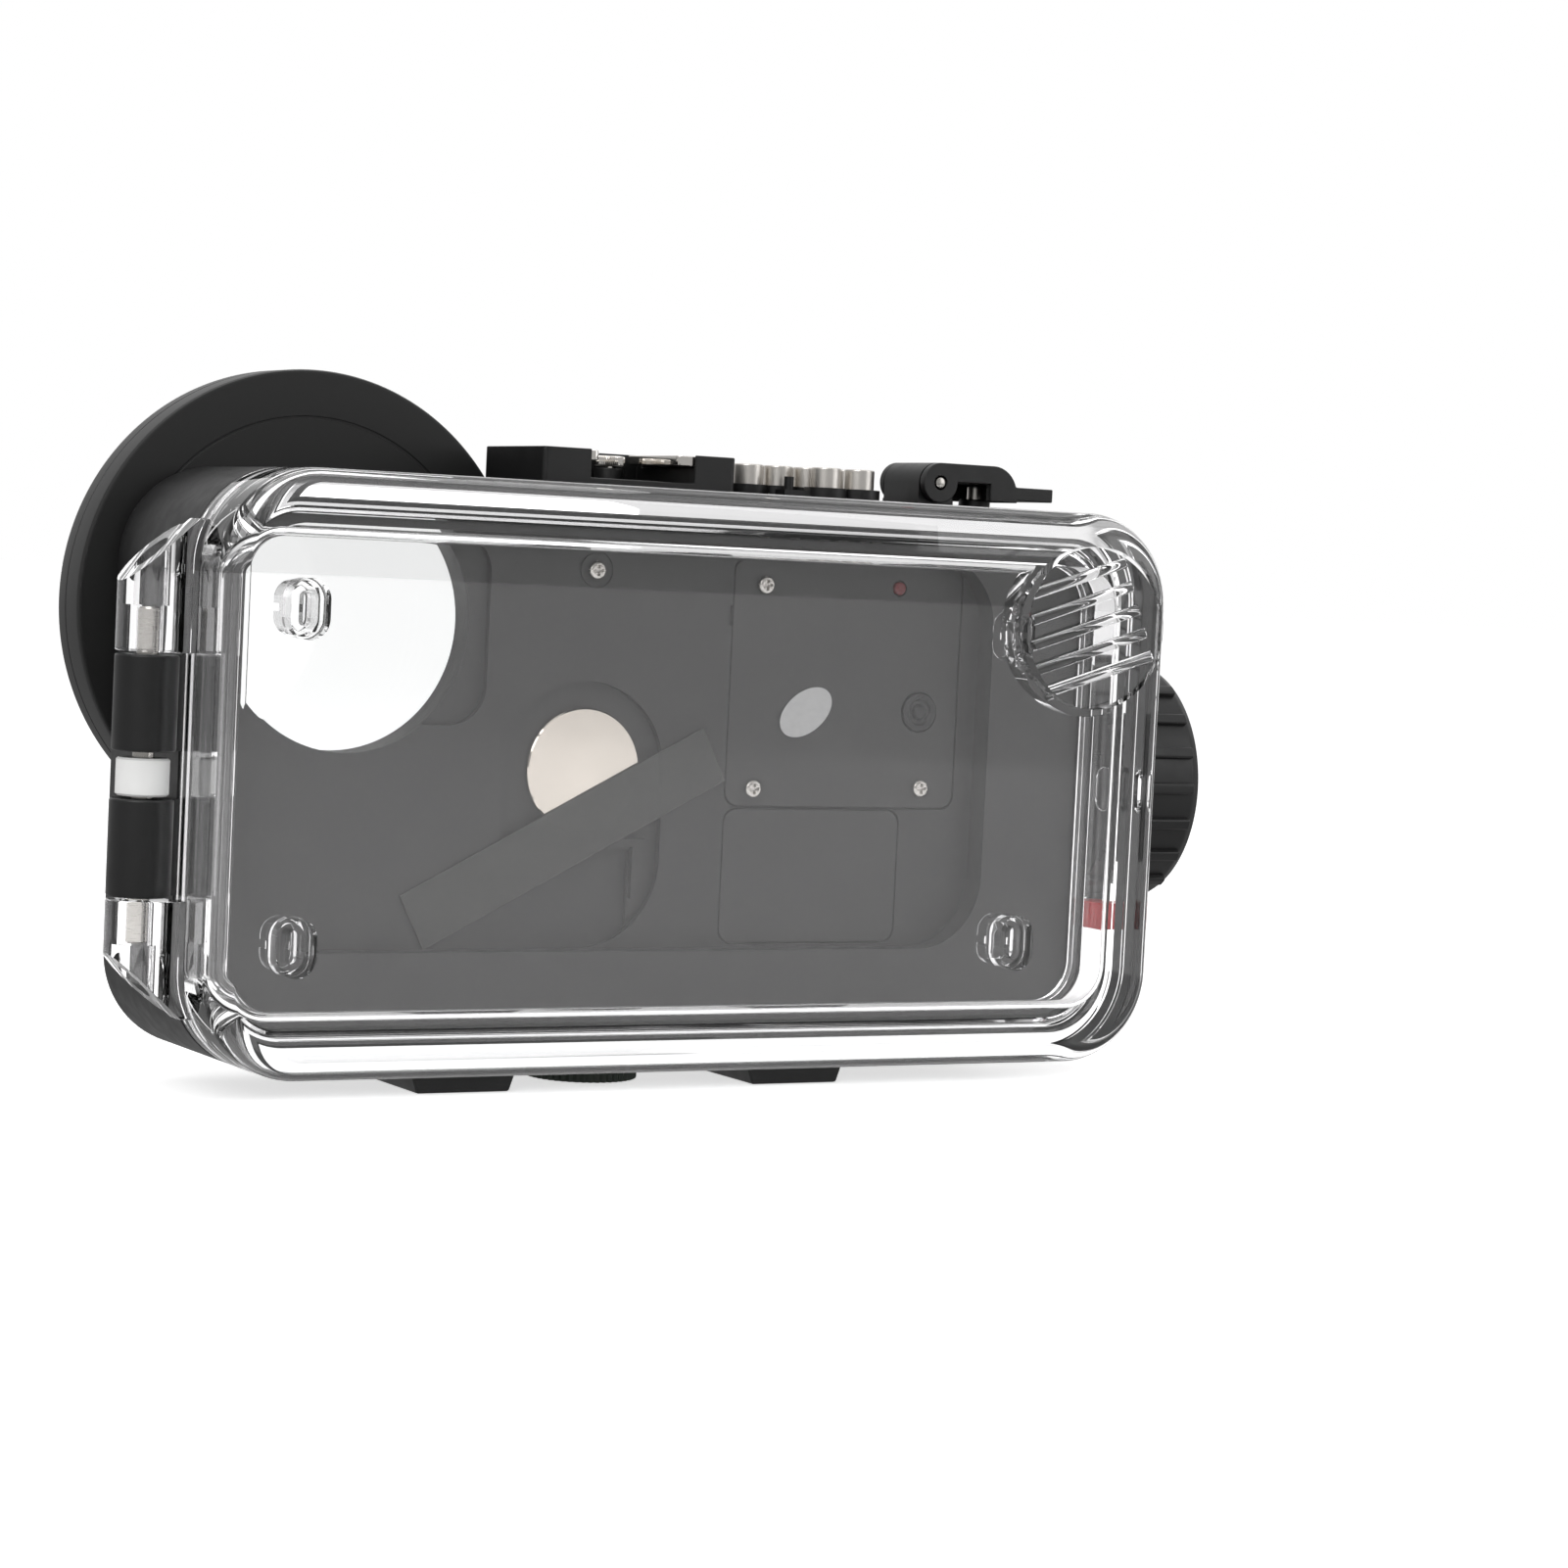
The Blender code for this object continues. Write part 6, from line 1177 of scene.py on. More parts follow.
@dataclass
class HousingBody:
    """The black shell behind the parting plane, with its hinge barrels."""

    wall: float = 8.0
    back_wall: float = 4.0
    far_round: float = 1.2
    bore_radius: float = 29.0
    groove: Flat = (2.5, 5.5)
    barrels: tuple[Flat, Flat] = ((4.2, 22.2), (-22.9, -4.6))
    web_end: float = -104.0
    web_span: Flat = (0.3, 5.3)
    shaft_span: Flat = (96.0, 106.0)
    lock_slot: tuple[Spot, Spot] = ((102.3, 3.7, -31.9), (106.0, 5.7, -23.8))

    def bore_outline(self) -> list[Flat]:
        """The hole for the lens: a circle with a flat top under the roof.

        Returns:
            The outline.
        """
        rise = min(TOP - 4.8 - LENS_BORE[1], self.bore_radius - 0.6)
        end = math.degrees(math.asin(rise / self.bore_radius))
        return arc(LENS_BORE, self.bore_radius, -180 - end, end, 96)

    def shell(self) -> Thing:
        """The tub with its rounded far edge, as one closed surface.

        Returns:
            The tub.
        """
        levels = [(take, BODY_DEPTH - rise) for take, rise in rounding(self.far_round, 6)]
        levels += [(0, 0.8), (0.5, 0.3), (self.wall - 0.3, 0.3), (self.wall, 0.6)]
        levels.append((self.wall, BODY_DEPTH - self.back_wall))
        loops = [Axis.Y.loop(shell_outline(take, 20), y) for take, y in levels]
        return Solid("body_shell").loft(loops).made()

    def barrel(self, low: float, high: float) -> Thing:
        """A hinge barrel on its web, with softened rims.

        Args:
            low: Its lower end.
            high: Its upper end.

        Returns:
            The barrel.
        """
        barrel = Solid("barrel").prism(circle(HINGE, HINGE_RADIUS, 96), Axis.Z, low, high, 0.5).made()
        near, far = self.web_span
        web = Solid("web").block((HINGE[0], near, low + 0.1), (self.web_end, far, high - 0.1))
        return combine(barrel, [web], "UNION")

    def build(self) -> None:
        """Makes the shell with its cuts and dresses it."""
        body = self.shell()
        combine(body, [self.barrel(*span) for span in self.barrels], "UNION")
        near, far = self.groove
        corners = ((far, -1.0), (far, 3.0), (near, 3.0), (near, -1.0))
        seal = [Axis.Y.loop(shell_outline(take, 20), y) for take, y in corners]
        cuts = [
            Solid("groove").loft(seal, closed=True),
            Solid("pin_bore").rod(HINGE, PIN_BORE, Axis.Z, -24, 24),
            Solid("port_bore").prism(self.bore_outline(), Axis.Y, BODY_DEPTH - 6, BODY_DEPTH + 1),
            Solid("shaft").rod(KNOB_MIDDLE, SHAFT_BORE, Axis.X, *self.shaft_span),
            Solid("slot").block(*self.lock_slot),
        ]
        combine(body, cuts)
        body.name = "body_moulding"
        dress(smooth(body, 0.15, 2), BLACK, "housing_body")


@dataclass
class Hinge:
    """The steel pin and the white sleeve between the body's barrels."""

    pin_radius: float = 2.0
    pin_span: Flat = (-31.5, 31.0)
    sleeve_radius: float = 5.0
    sleeve_span: Flat = (-4.1, 3.0)
    edge: float = 0.4

    def profile(self, inner: float, outer: float, span: Flat) -> list[Flat]:
        """A bar's or ring's profile with bevelled ends.

        Args:
            inner: Inner radius, 0 for a bar.
            outer: Outer radius.
            span: Both ends along the axis.

        Returns:
            The profile.
        """
        (low, high), edge = span, self.edge
        face = outer - edge
        first = [(inner, low), (face, low), (outer, low + edge)]
        return [*first, (outer, high - edge), (face, high), (inner, high)]

    def build(self) -> None:
        """Makes and dresses the pin and the sleeve."""
        pin = self.profile(0, self.pin_radius, self.pin_span)
        turn_piece("hinge_pin_turned", pin, Axis.Z, HINGE, 64, STEEL, "hinge_pin")
        ring = self.profile(PIN_BORE, self.sleeve_radius, self.sleeve_span)
        turn_piece("hinge_sleeve_turned", ring, Axis.Z, HINGE, 96, NYLON, "hinge_sleeve")


# the tray and its parts


@dataclass
class PhoneTray:
    """The grey tray with the phone bed, the camera window and the recess under the disc."""

    low: Flat = (-96.5, -47.5)
    high: Flat = (96.5, 49.7)
    corner: float = 10.5
    front: float = 2.5
    back: float = 12.0
    bed_low: Flat = (-92.1, -34.0)
    bed_high: Flat = (74.2, 48.0)
    bed_corner: float = 15.0
    window: Flat = (-69.5, 30.2)
    window_radius: float = 26.0
    window_corner: float = 12.0
    recess_radius: float = 17.8
    recess_depth: float = 1.6
    bump_low: float = 10.0
    bump_end: float = -39.7
    bump_depth: float = 1.5
    collar_wall: float = 1.5
    collar_height: float = 3.7
    cross_shift: Flat = (12.7, -14.5)
    cross_span: Flat = (0.4, 2.6)
    cable: Flat = (-11.3, -6.0)
    clip_seat: tuple[Flat, Flat] = ((13.4, 31.7), (14.6, 35.8))

    def camera_outline(self, grow: float = 0.0) -> list[Flat]:
        """The camera window: a circle cut straight at the phone's left and top edges.

        Args:
            grow: Distance to draw it larger.

        Returns:
            The outline.
        """
        radius = self.window_radius + grow
        left, top = self.bed_low[0] - grow, self.bed_high[1] + grow
        corner = self.window_corner + grow
        x, z = self.window
        start = math.degrees(math.atan2(-math.sqrt(radius**2 - (left - x) ** 2), left - x))
        end = math.degrees(math.asin((top - z) / radius))
        bend = arc((left + corner, top - corner), corner, 90, 180, 24)
        return arc(self.window, radius, start, end, 72) + bend

    def pocket(self, name: str, low: Flat, high: Flat) -> Solid:
        """The pocket for a plate in the bed's floor, a gap larger than the plate."""
        outline = round_box((low[0] - GAP, low[1] - GAP), (high[0] + GAP, high[1] + GAP), 3)
        return Solid(name).prism(outline, Axis.Y, TRAY_FLOOR - 1, TRAY_FLOOR + PLATE_DEPTH + GAP)

    def marks(self) -> list[Solid]:
        """Shallow moulded marks in the bed's floor: a clip seat by the plate and a screw ring.

        Returns:
            The two cutters.
        """
        above, deep = TRAY_FLOOR - 1, TRAY_FLOOR + 0.35
        (left, bottom), (right, top) = self.clip_seat
        ring = [(3.3, above), (3.3, deep), (3.8, deep), (3.8, above)]
        return [
            Solid("clip_seat").block((left, above, bottom), (right, TRAY_FLOOR + 0.8, top)),
            Solid("screw_ring").turned(ring, Axis.Y, (-16.8, 41.6), 64),
        ]

    def build(self) -> None:
        """Makes and dresses the tray."""
        floor, front = TRAY_FLOOR, self.front - 1
        left, bottom = self.bed_low
        rim = round_box(self.low, self.high, self.corner, 20)
        tray = Solid("tray").prism(rim, Axis.Y, self.front, self.back, 0.3, 2)
        bed_rim = round_box(self.bed_low, self.bed_high, self.bed_corner, 24)
        bed = Solid("bed").prism(bed_rim, Axis.Y, front, floor)
        lens = round_box((left, self.bump_low), (self.bump_end, self.bed_high[1]), 8, 16)
        bump = Solid("bump").prism(lens, Axis.Y, self.front, floor + self.bump_depth)
        tray = combine(tray.made(), [bed, bump])
        rim = self.camera_outline(self.collar_wall)
        collar = Solid("collar").prism(rim, Axis.Y, self.back - 1, self.back + self.collar_height)
        combine(tray, [collar], "UNION")
        window = Solid("window").prism(self.camera_outline(), Axis.Y, front, self.back + 5)
        top = DISC_MIDDLE[1] + self.recess_radius
        slot = stadium((DISC_MIDDLE[0], (top + bottom) / 2), 2 * self.recess_radius, top - bottom, 48)
        combine(tray, [window, Solid("recess").prism(slot, Axis.Y, floor - 1, floor + self.recess_depth)])
        x, z = DISC_MIDDLE[0] + self.cross_shift[0], DISC_MIDDLE[1] + self.cross_shift[1]
        low, high = floor + self.cross_span[0], floor + self.cross_span[1]
        cross = [
            Solid("upright").block((x - 0.8, low, z - 11.2), (x + 0.8, high, z + 0.8)),
            Solid("arm").block((x - 7.1, low, z - 0.8), (x + 2.3, high, z + 0.8)),
        ]
        combine(tray, cross, "UNION")
        cable = Solid("cable").block((self.cable[0], floor + 0.6, bottom), (self.cable[1], high, z - 1.6))
        pockets = [self.pocket("plate_pocket", *PLATE), self.pocket("door_pocket", *DOOR)]
        combine(tray, [cable, *pockets, *self.marks()])
        tray.name = "tray_moulding"
        dress(smooth(tray, 0.18, 2), TRAY_GREY, "phone_tray")


@dataclass
class Electronics:
    """The plates, the leak lamp, the pressure sensor, the sticker and the screws in the tray."""

    lamp: Flat = (54.1, 40.7)
    lamp_radius: float = 1.4
    sensor: Flat = (60.2, 15.1)
    sensor_radius: float = 4.0
    screw_hole: float = 1.2
    sticker: Flat = (32.7, 14.5)
    sticker_half: Flat = (6.75, 4.25)
    sticker_tilt: float = 35.0
    screws: tuple[Flat, ...] = ((-16.8, 41.6), (21.9, 40.2), (21.0, -1.4), (61.1, -0.8))

    def plate(self, name: str, low: Flat, high: Flat) -> Thing:
        """A thin plate that lies in the bed's floor."""
        outline = round_box(low, high, 3, 12)
        return Solid(name).prism(outline, Axis.Y, TRAY_FLOOR, TRAY_FLOOR + PLATE_DEPTH, 0.25, 2).made()

    def plates(self) -> None:
        """The cover plate over the board and the door over the cell."""
        plate = self.plate("electronics_plate", *PLATE)
        holes = [("hole", spot, self.screw_hole, 32) for spot in self.screws[1:]]
        holes.append(("lamp_hole", self.lamp, self.lamp_radius + GAP, 48))
        holes.append(("sensor_hole", self.sensor, self.sensor_radius + GAP, 64))
        low, high = TRAY_FLOOR - 1, TRAY_FLOOR + 3
        cutters = []
        for name, spot, radius, sides in holes:
            cutters.append(Solid(name).rod(spot, radius, Axis.Y, low, high, sides))
        combine(plate, cutters)
        dress(smooth(plate, 0.12, 2), PLATE_GREY, "electronics_cover")
        dress(smooth(self.plate("cell_door", *DOOR)), PLATE_GREY, "battery_door")

    def instruments(self) -> None:
        """The red lamp and the pressure sensor with its rim and dome."""
        floor, seat = TRAY_FLOOR, TRAY_FLOOR + PLATE_DEPTH
        bends = [math.radians(angle) for angle in range(0, 90, 10)]
        radius, rise = self.lamp_radius, 0.5
        dome = [(radius * math.cos(bend), floor - rise * math.sin(bend)) for bend in bends]
        lamp = [(0, seat), (radius, seat), *dome, (0, floor - rise)]
        turn_piece("leak_lamp", lamp, Axis.Y, self.lamp, 48, LAMP_RED, "leak_led")
        edge = self.sensor_radius
        rim = [(edge, -0.3), (3.8, -0.5), (2.8, -0.5), (2.4, -0.05), (1.7, 0)]
        rim += [(1.55, -0.45), (1.1, -0.85), (0, -1.0)]
        sensor = [(0, seat), (edge, seat), *((radius, floor + depth) for radius, depth in rim)]
        turn_piece("pressure_port", sensor, Axis.Y, self.sensor, 64, BLACK, "pressure_sensor")

    def label(self) -> None:
        """The blank oval sticker, tilted as it was stuck on."""
        tilt, (half_long, half_wide) = math.radians(self.sticker_tilt), self.sticker_half
        turns = [math.tau * step / 72 for step in range(72)]
        points = [(half_long * math.cos(t), half_wide * math.sin(t)) for t in turns]
        outline = [tilted(self.sticker, u, v, tilt) for u, v in points]
        back = TRAY_FLOOR - GAP
        oval = Solid("blank_sticker").prism(outline, Axis.Y, back - 0.2, back, 0.06, 2).made()
        dress(smooth(oval), STICKER, "inspection_label")

    def screw(self) -> Thing:
        """One pan-head screw with its cross recess, at the first spot.

        Returns:
            The screw.
        """
        back = TRAY_FLOOR - GAP
        head = [(0, back + 6.2), (0.9, back + 6.2), (0.9, back), (1.85, back), (1.85, back - 0.25)]
        bends = [math.radians(angle) for angle in range(15, 91, 15)]
        head += [(1.2 + 0.65 * math.cos(bend), back - 0.25 - 0.65 * math.sin(bend)) for bend in bends]
        head.append((0, back - 0.9))
        screw = Solid("screw").turned(head, Axis.Y, self.screws[0], 64).made()
        x, z = self.screws[0]
        cross = []
        for name, wide, tall in (("slot_a", 1.25, 0.36), ("slot_b", 0.36, 1.25)):
            loops = []
            for share, y in ((1.0, back - 2.0), (0.8, back - 0.15)):
                half, half_tall = wide * share, tall * share
                corners = box_outline((x - half, z - half_tall), (x + half, z + half_tall))
                loops.append(Axis.Y.loop(corners, y))
            cross.append(Solid(name).loft(loops))
        return smooth(combine(screw, cross), 0.05, 2)

    def build(self) -> None:
        """Makes and dresses everything on the tray's right half."""
        self.plates()
        self.instruments()
        self.label()
        pattern = SpotPattern("screws_at_spots", len(self.screws))
        x, z = self.screws[0]
        steps = {
            f"Step {index}": Vector((spot[0] - x, 0, spot[1] - z)) * MILLIMETRE
            for index, spot in enumerate(self.screws, 1)
        }
        screws = pattern.applied(self.screw(), "chassis_screws", Material=STEEL.material(), **steps)
        dress(screws, STEEL, "tray_screw", "plate_screw_1", "plate_screw_2", "plate_screw_3")


@dataclass
class DiscAndStrap:
    """The polished disc and the film strap that crosses it."""

    disc_radius: float = 12.4
    disc_depth: float = 1.3
    strap: Flat = (-21.1, -11.6)
    length: float = 74.0
    width: float = 12.0
    tilt: float = 27.5

    def build(self) -> None:
        """Makes and dresses the disc and the strap."""
        floor = TRAY_FLOOR
        radius, back, edge = self.disc_radius, floor + self.disc_depth, 0.25
        profile = [(0, back), (radius, back), (radius, floor + edge), (radius - edge, floor), (0, floor)]
        turn_piece("mirror_disc", profile, Axis.Y, DISC_MIDDLE, 128, DISC_MIRROR, "magnet_disc")
        tilt, half, steps = math.radians(self.tilt), self.width / 2, 40
        low, high = floor - GAP - 0.45, floor - GAP - 0.05
        loops = []
        for step in range(steps + 1):
            u = -self.length / 2 + self.length * step / steps
            wave = 0.05 * math.sin(u * 0.55) + 0.04 * math.sin(u * 0.21 + 1)
            section = []
            for v, y in ((-half, low), (-half, high), (half, high), (half, low)):
                x, z = tilted(self.strap, u, v, tilt)
                section.append((x, y + wave, z))
            loops.append(section)
        dress(smooth(Solid("pull_strap_film").loft(loops).made(), 0.05, 2), FILM, "pull_strap")


# the lens port


@dataclass
class LensPort:
    """The wide round port on the far side, its pad, its glass and the ring that holds it."""

    middle: Flat = (-63.6, 30.9)
    radius: float = 47.9
    front: float = 41.0
    back: float = 53.0
    clear: float = 38.0
    pad_radius: float = 35.0
    flare: float = 1.14
    flare_top: float = 53.4

    def housing(self) -> None:
        """The turned and moulded port housing on its pad."""
        front, back, radius = self.front, self.back, self.radius
        seat, pocket = front + 5.0, self.clear + 1.9
        profile = [(0, seat), (pocket, seat), (pocket, back - 0.5), (pocket + 0.5, back)]
        profile += [(radius - 0.9, back), (radius - 0.25, back - 0.25), (radius, back - 0.9)]
        rim = [(0, 7.4), (0.22, 7.25), (0.22, 6.95), (0, 6.8), (0, 0.8), (0.25, 0.25), (0.8, 0)]
        rim += [(9.2, 0), (9.35, 0.18), (9.65, 0.18), (9.8, 0)]
        profile += [(radius - take, front + rise) for take, rise in rim] + [(0, front)]
        housing = Solid("port_turned").turned(profile, Axis.Y, self.middle, 192).made()
        end = math.degrees(math.asin((TOP - 1.5 - LENS_BORE[1]) / self.pad_radius))
        flat_top = arc(LENS_BORE, self.pad_radius, -180 - end, end, 96)
        pad = Solid("pad").prism(flat_top, Axis.Y, BODY_DEPTH + GAP, front + 1)
        combine(housing, [pad], "UNION")
        bore = HousingBody().bore_outline()
        x0, z0 = LENS_BORE
        flare, top = self.flare, self.flare_top
        wide = [(x0 + (x - x0) * flare, min(z0 + (z - z0) * flare, top)) for x, z in bore]
        levels = ((bore, 37.0), (bore, front - 1.5), (wide, seat + 1))
        combine(housing, [Solid("flared_bore").loft([Axis.Y.loop(outline, y) for outline, y in levels])])
        dress(smooth(housing, 0.0, sharp=28), PORT_BLACK, "port_housing")

    def glass(self) -> None:
        """The round glass and the ring in front of it."""
        seat = self.front + 5.3
        clear, radius = self.clear, self.clear + 1.5
        disc = [(0, seat + 3), (radius - 0.3, seat + 3), (radius, seat + 2.7)]
        disc += [(radius, seat + 0.3), (radius - 0.3, seat), (0, seat)]
        turn_piece("port_window", disc, Axis.Y, self.middle, 192, GLASS, "port_glass")
        low = seat + 3.3
        high = low + 3.4
        ring = [(clear, low), (radius, low), (radius, high), (clear + 1.0, high), (clear, high - 1.6)]
        holder = Solid("glass_retainer").turned(ring, Axis.Y, self.middle, 192).made()
        dress(smooth(holder, 0.1, 2), PORT_BLACK, "glass_ring")

    def build(self) -> None:
        """Makes and dresses the port."""
        self.housing()
        self.glass()


# the latch


@dataclass
class Latch:
    """The ridged knob with its screw and the red lock slider below; the imported cam behind the knob is kept.
    """

    inner: float = 106.5
    width: float = 18.8
    radius: float = 27.8
    root: float = 26.6
    recess: float = 23.5
    screw_well: float = 4.3
    ridges: int = 22
    ridge_share: float = 0.30
    slider_low: Spot = (105.6, -7.0, -29.4)
    slider_high: Spot = (112.0, 6.2, -23.8)
    tongue: tuple[Spot, Spot] = ((102.6, 4.0, -28.0), (106.5, 5.4, -25.2))
    grips: tuple[float, ...] = (-28.5, -27.2, -25.9, -24.9)

    def ridge(self) -> Thing:
        """One long ridge of the knob with soft flanks.

        Returns:
            The ridge.
        """
        half = math.radians(360 / self.ridges * self.ridge_share / 2)
        flank, sunk = self.radius - 0.35, self.root - 1.5
        y, z = KNOB_MIDDLE
        corners = ((sunk, -1.25), (sunk, 1.25), (flank, 1.02), (self.radius, 0.8))
        corners += ((self.radius, 0.0), (self.radius, -0.8), (flank, -1.02))
        outline = [(y + r * math.cos(half * share), z + r * math.sin(half * share)) for r, share in corners]
        end = self.inner + self.width - 3.0
        return smooth(Solid("ridge").prism(outline, Axis.X, self.inner, end).made(), 0.3, 3)

    def knob(self) -> None:
        """The knob's core and its ridges."""
        inner, root, outer = self.inner, self.root, self.inner + self.width
        profile = [(SHAFT_BORE, inner + 4.0), (self.recess, inner + 4.0), (self.recess, inner)]
        profile += [(root - 0.3, inner), (root, inner + 0.3)]
        crown = [(root, 3.0), (root - 0.35, 2.0), (25.5, 0.5), (24.7, 0.1), (24.1, 0), (6.2, 0)]
        crown += [(5.7, 0.25), (5.5, 0.6), (5.3, self.screw_well), (SHAFT_BORE, self.screw_well)]
        profile += [(radius, outer - drop) for radius, drop in crown]
        knob = Body.KNOB.value
        turn_piece("knob_core", profile, Axis.X, KNOB_MIDDLE, 160, BLACK, "latch_knob", knob)
        pattern = RoundPattern("ridges_round_knob", Axis.X)
        middle = (Vector((0, *KNOB_MIDDLE)) + Vector((0, PLANE_MIDDLE.y, PLANE_MIDDLE.z))) * MILLIMETRE
        settings = {"Material": BLACK.material(), "Count": self.ridges, "Middle": middle}
        dress(pattern.applied(self.ridge(), "knob_ridges", **settings), BLACK, body=knob)

    def screw(self) -> None:
        """The screw in the middle of the knob, with a six-sided socket."""
        seat = self.inner + self.width - self.screw_well + GAP
        head = [(0, -8), (1.5, -8), (1.5, 0), (5.0, 0), (5.0, 1.2), (4.7, 1.65), (4.2, 1.8), (0, 1.8)]
        profile = [(radius, seat + rise) for radius, rise in head]
        screw = Solid("knob_screw_turned").turned(profile, Axis.X, KNOB_MIDDLE, 96).made()
        combine(screw, [Solid("socket").rod(KNOB_MIDDLE, 2.1, Axis.X, seat + 0.3, seat + 3, 6)])
        dress(smooth(screw, 0.1, 2), STEEL, "knob_screw", body=Body.KNOB.value)

    def slider(self) -> None:
        """The red slider with grip ribs on its outer face."""
        low, high = self.slider_low, self.slider_high
        face = box_outline(low[1:], high[1:])
        block = Solid("lock_slider_moulding").prism(face, Axis.X, low[0], high[0]).made()
        combine(block, [Solid("tongue").block(*self.tongue)], "UNION")
        start, end = low[1] - 1, high[1] + 1
        combine(block, [Solid("grip").block((111.4, start, z), (113, end, z + 0.6)) for z in self.grips])
        dress(smooth(block, 0.35, 3), RED, "lock_slider", body=Body.LOCK.value)

    def build(self) -> None:
        """Makes and dresses the latch."""
        self.knob()
        self.screw()
        self.slider()


# what stands on the roof


@dataclass
class PushButtons:
    """Six sprung steel buttons in a black guard."""

    spots: tuple[Flat, ...] = (
        (25.7, 22.0), (32.8, 22.0), (39.9, 22.0), (40.0, 14.5), (48.0, 14.5), (49.6, 22.0),
    )
    bar: tuple[Flat, Flat] = ((40.0, 12.5), (48.0, 16.5))
    stud_foot: tuple[Flat, Flat] = ((29.5, 13.0), (40.0, 17.0))
    stud: Flat = (31.5, 15.0)
    radius: float = 3.2
    rise: float = 6.8
    guard_rise: float = 2.6
    groove: float = 50.2
    collar_radius: float = 4.5
    bore_radius: float = 3.5

    def button(self, index: int, spot: Flat) -> None:
        """One button: a turned cap with a dished top on its stem.

        Args:
            index: Its number.
            spot: Its middle seen from above.
        """
        top, low, groove = TOP + self.rise, TOP + self.guard_rise - 0.8, self.groove
        dish = [(0, 0.12), (2.45, 0.06), (2.6, 0), (2.95, 0.04), (3.12, 0.15), (self.radius, 0.4)]
        profile = [(radius, top - drop) for radius, drop in dish]
        profile += [(self.radius, low), (1.5, low), (1.5, groove), (1.0, groove), (1.0, groove - 1.1)]
        profile += [(1.5, groove - 1.1), (1.5, STEM_END), (0, STEM_END)]
        node, body = f"push_button_{index}", f"button_{index}"
        turn_piece(f"button_cap_{index}", profile, Axis.Z, spot, 96, BUTTON_STEEL, node, body)

    def guard(self) -> None:
        """The collars, the bar and the stud, joined into one moulding."""
        low, high, bar_top = TOP + GAP, TOP + self.guard_rise, TOP + 1.8
        collars = []
        for index, spot in enumerate(self.spots):
            collars.append(Solid(f"collar_{index}").rod(spot, self.collar_radius, Axis.Z, low, high, 72))
        guard = collars.pop(0).made()
        bars = [
            Solid("bar").prism(box_outline(*self.bar), Axis.Z, low, bar_top),
            Solid("stud_foot").prism(box_outline(*self.stud_foot), Axis.Z, low, bar_top),
            Solid("stud").rod(self.stud, 1.0, Axis.Z, low, TOP + 4.5, 32),
        ]
        combine(guard, [*collars, *bars], "UNION")
        bore = self.bore_radius
        combine(guard, [Solid("bore").rod(spot, bore, Axis.Z, low - 1, high + 1, 72) for spot in self.spots])
        guard.name = "guard_moulding"
        dress(smooth(guard, 0.2, 2), BLACK, "button_guard")

    def build(self) -> None:
        """Makes and dresses the buttons and their guard."""
        for index, spot in enumerate(self.spots, 1):
            self.button(index, spot)
        self.guard()


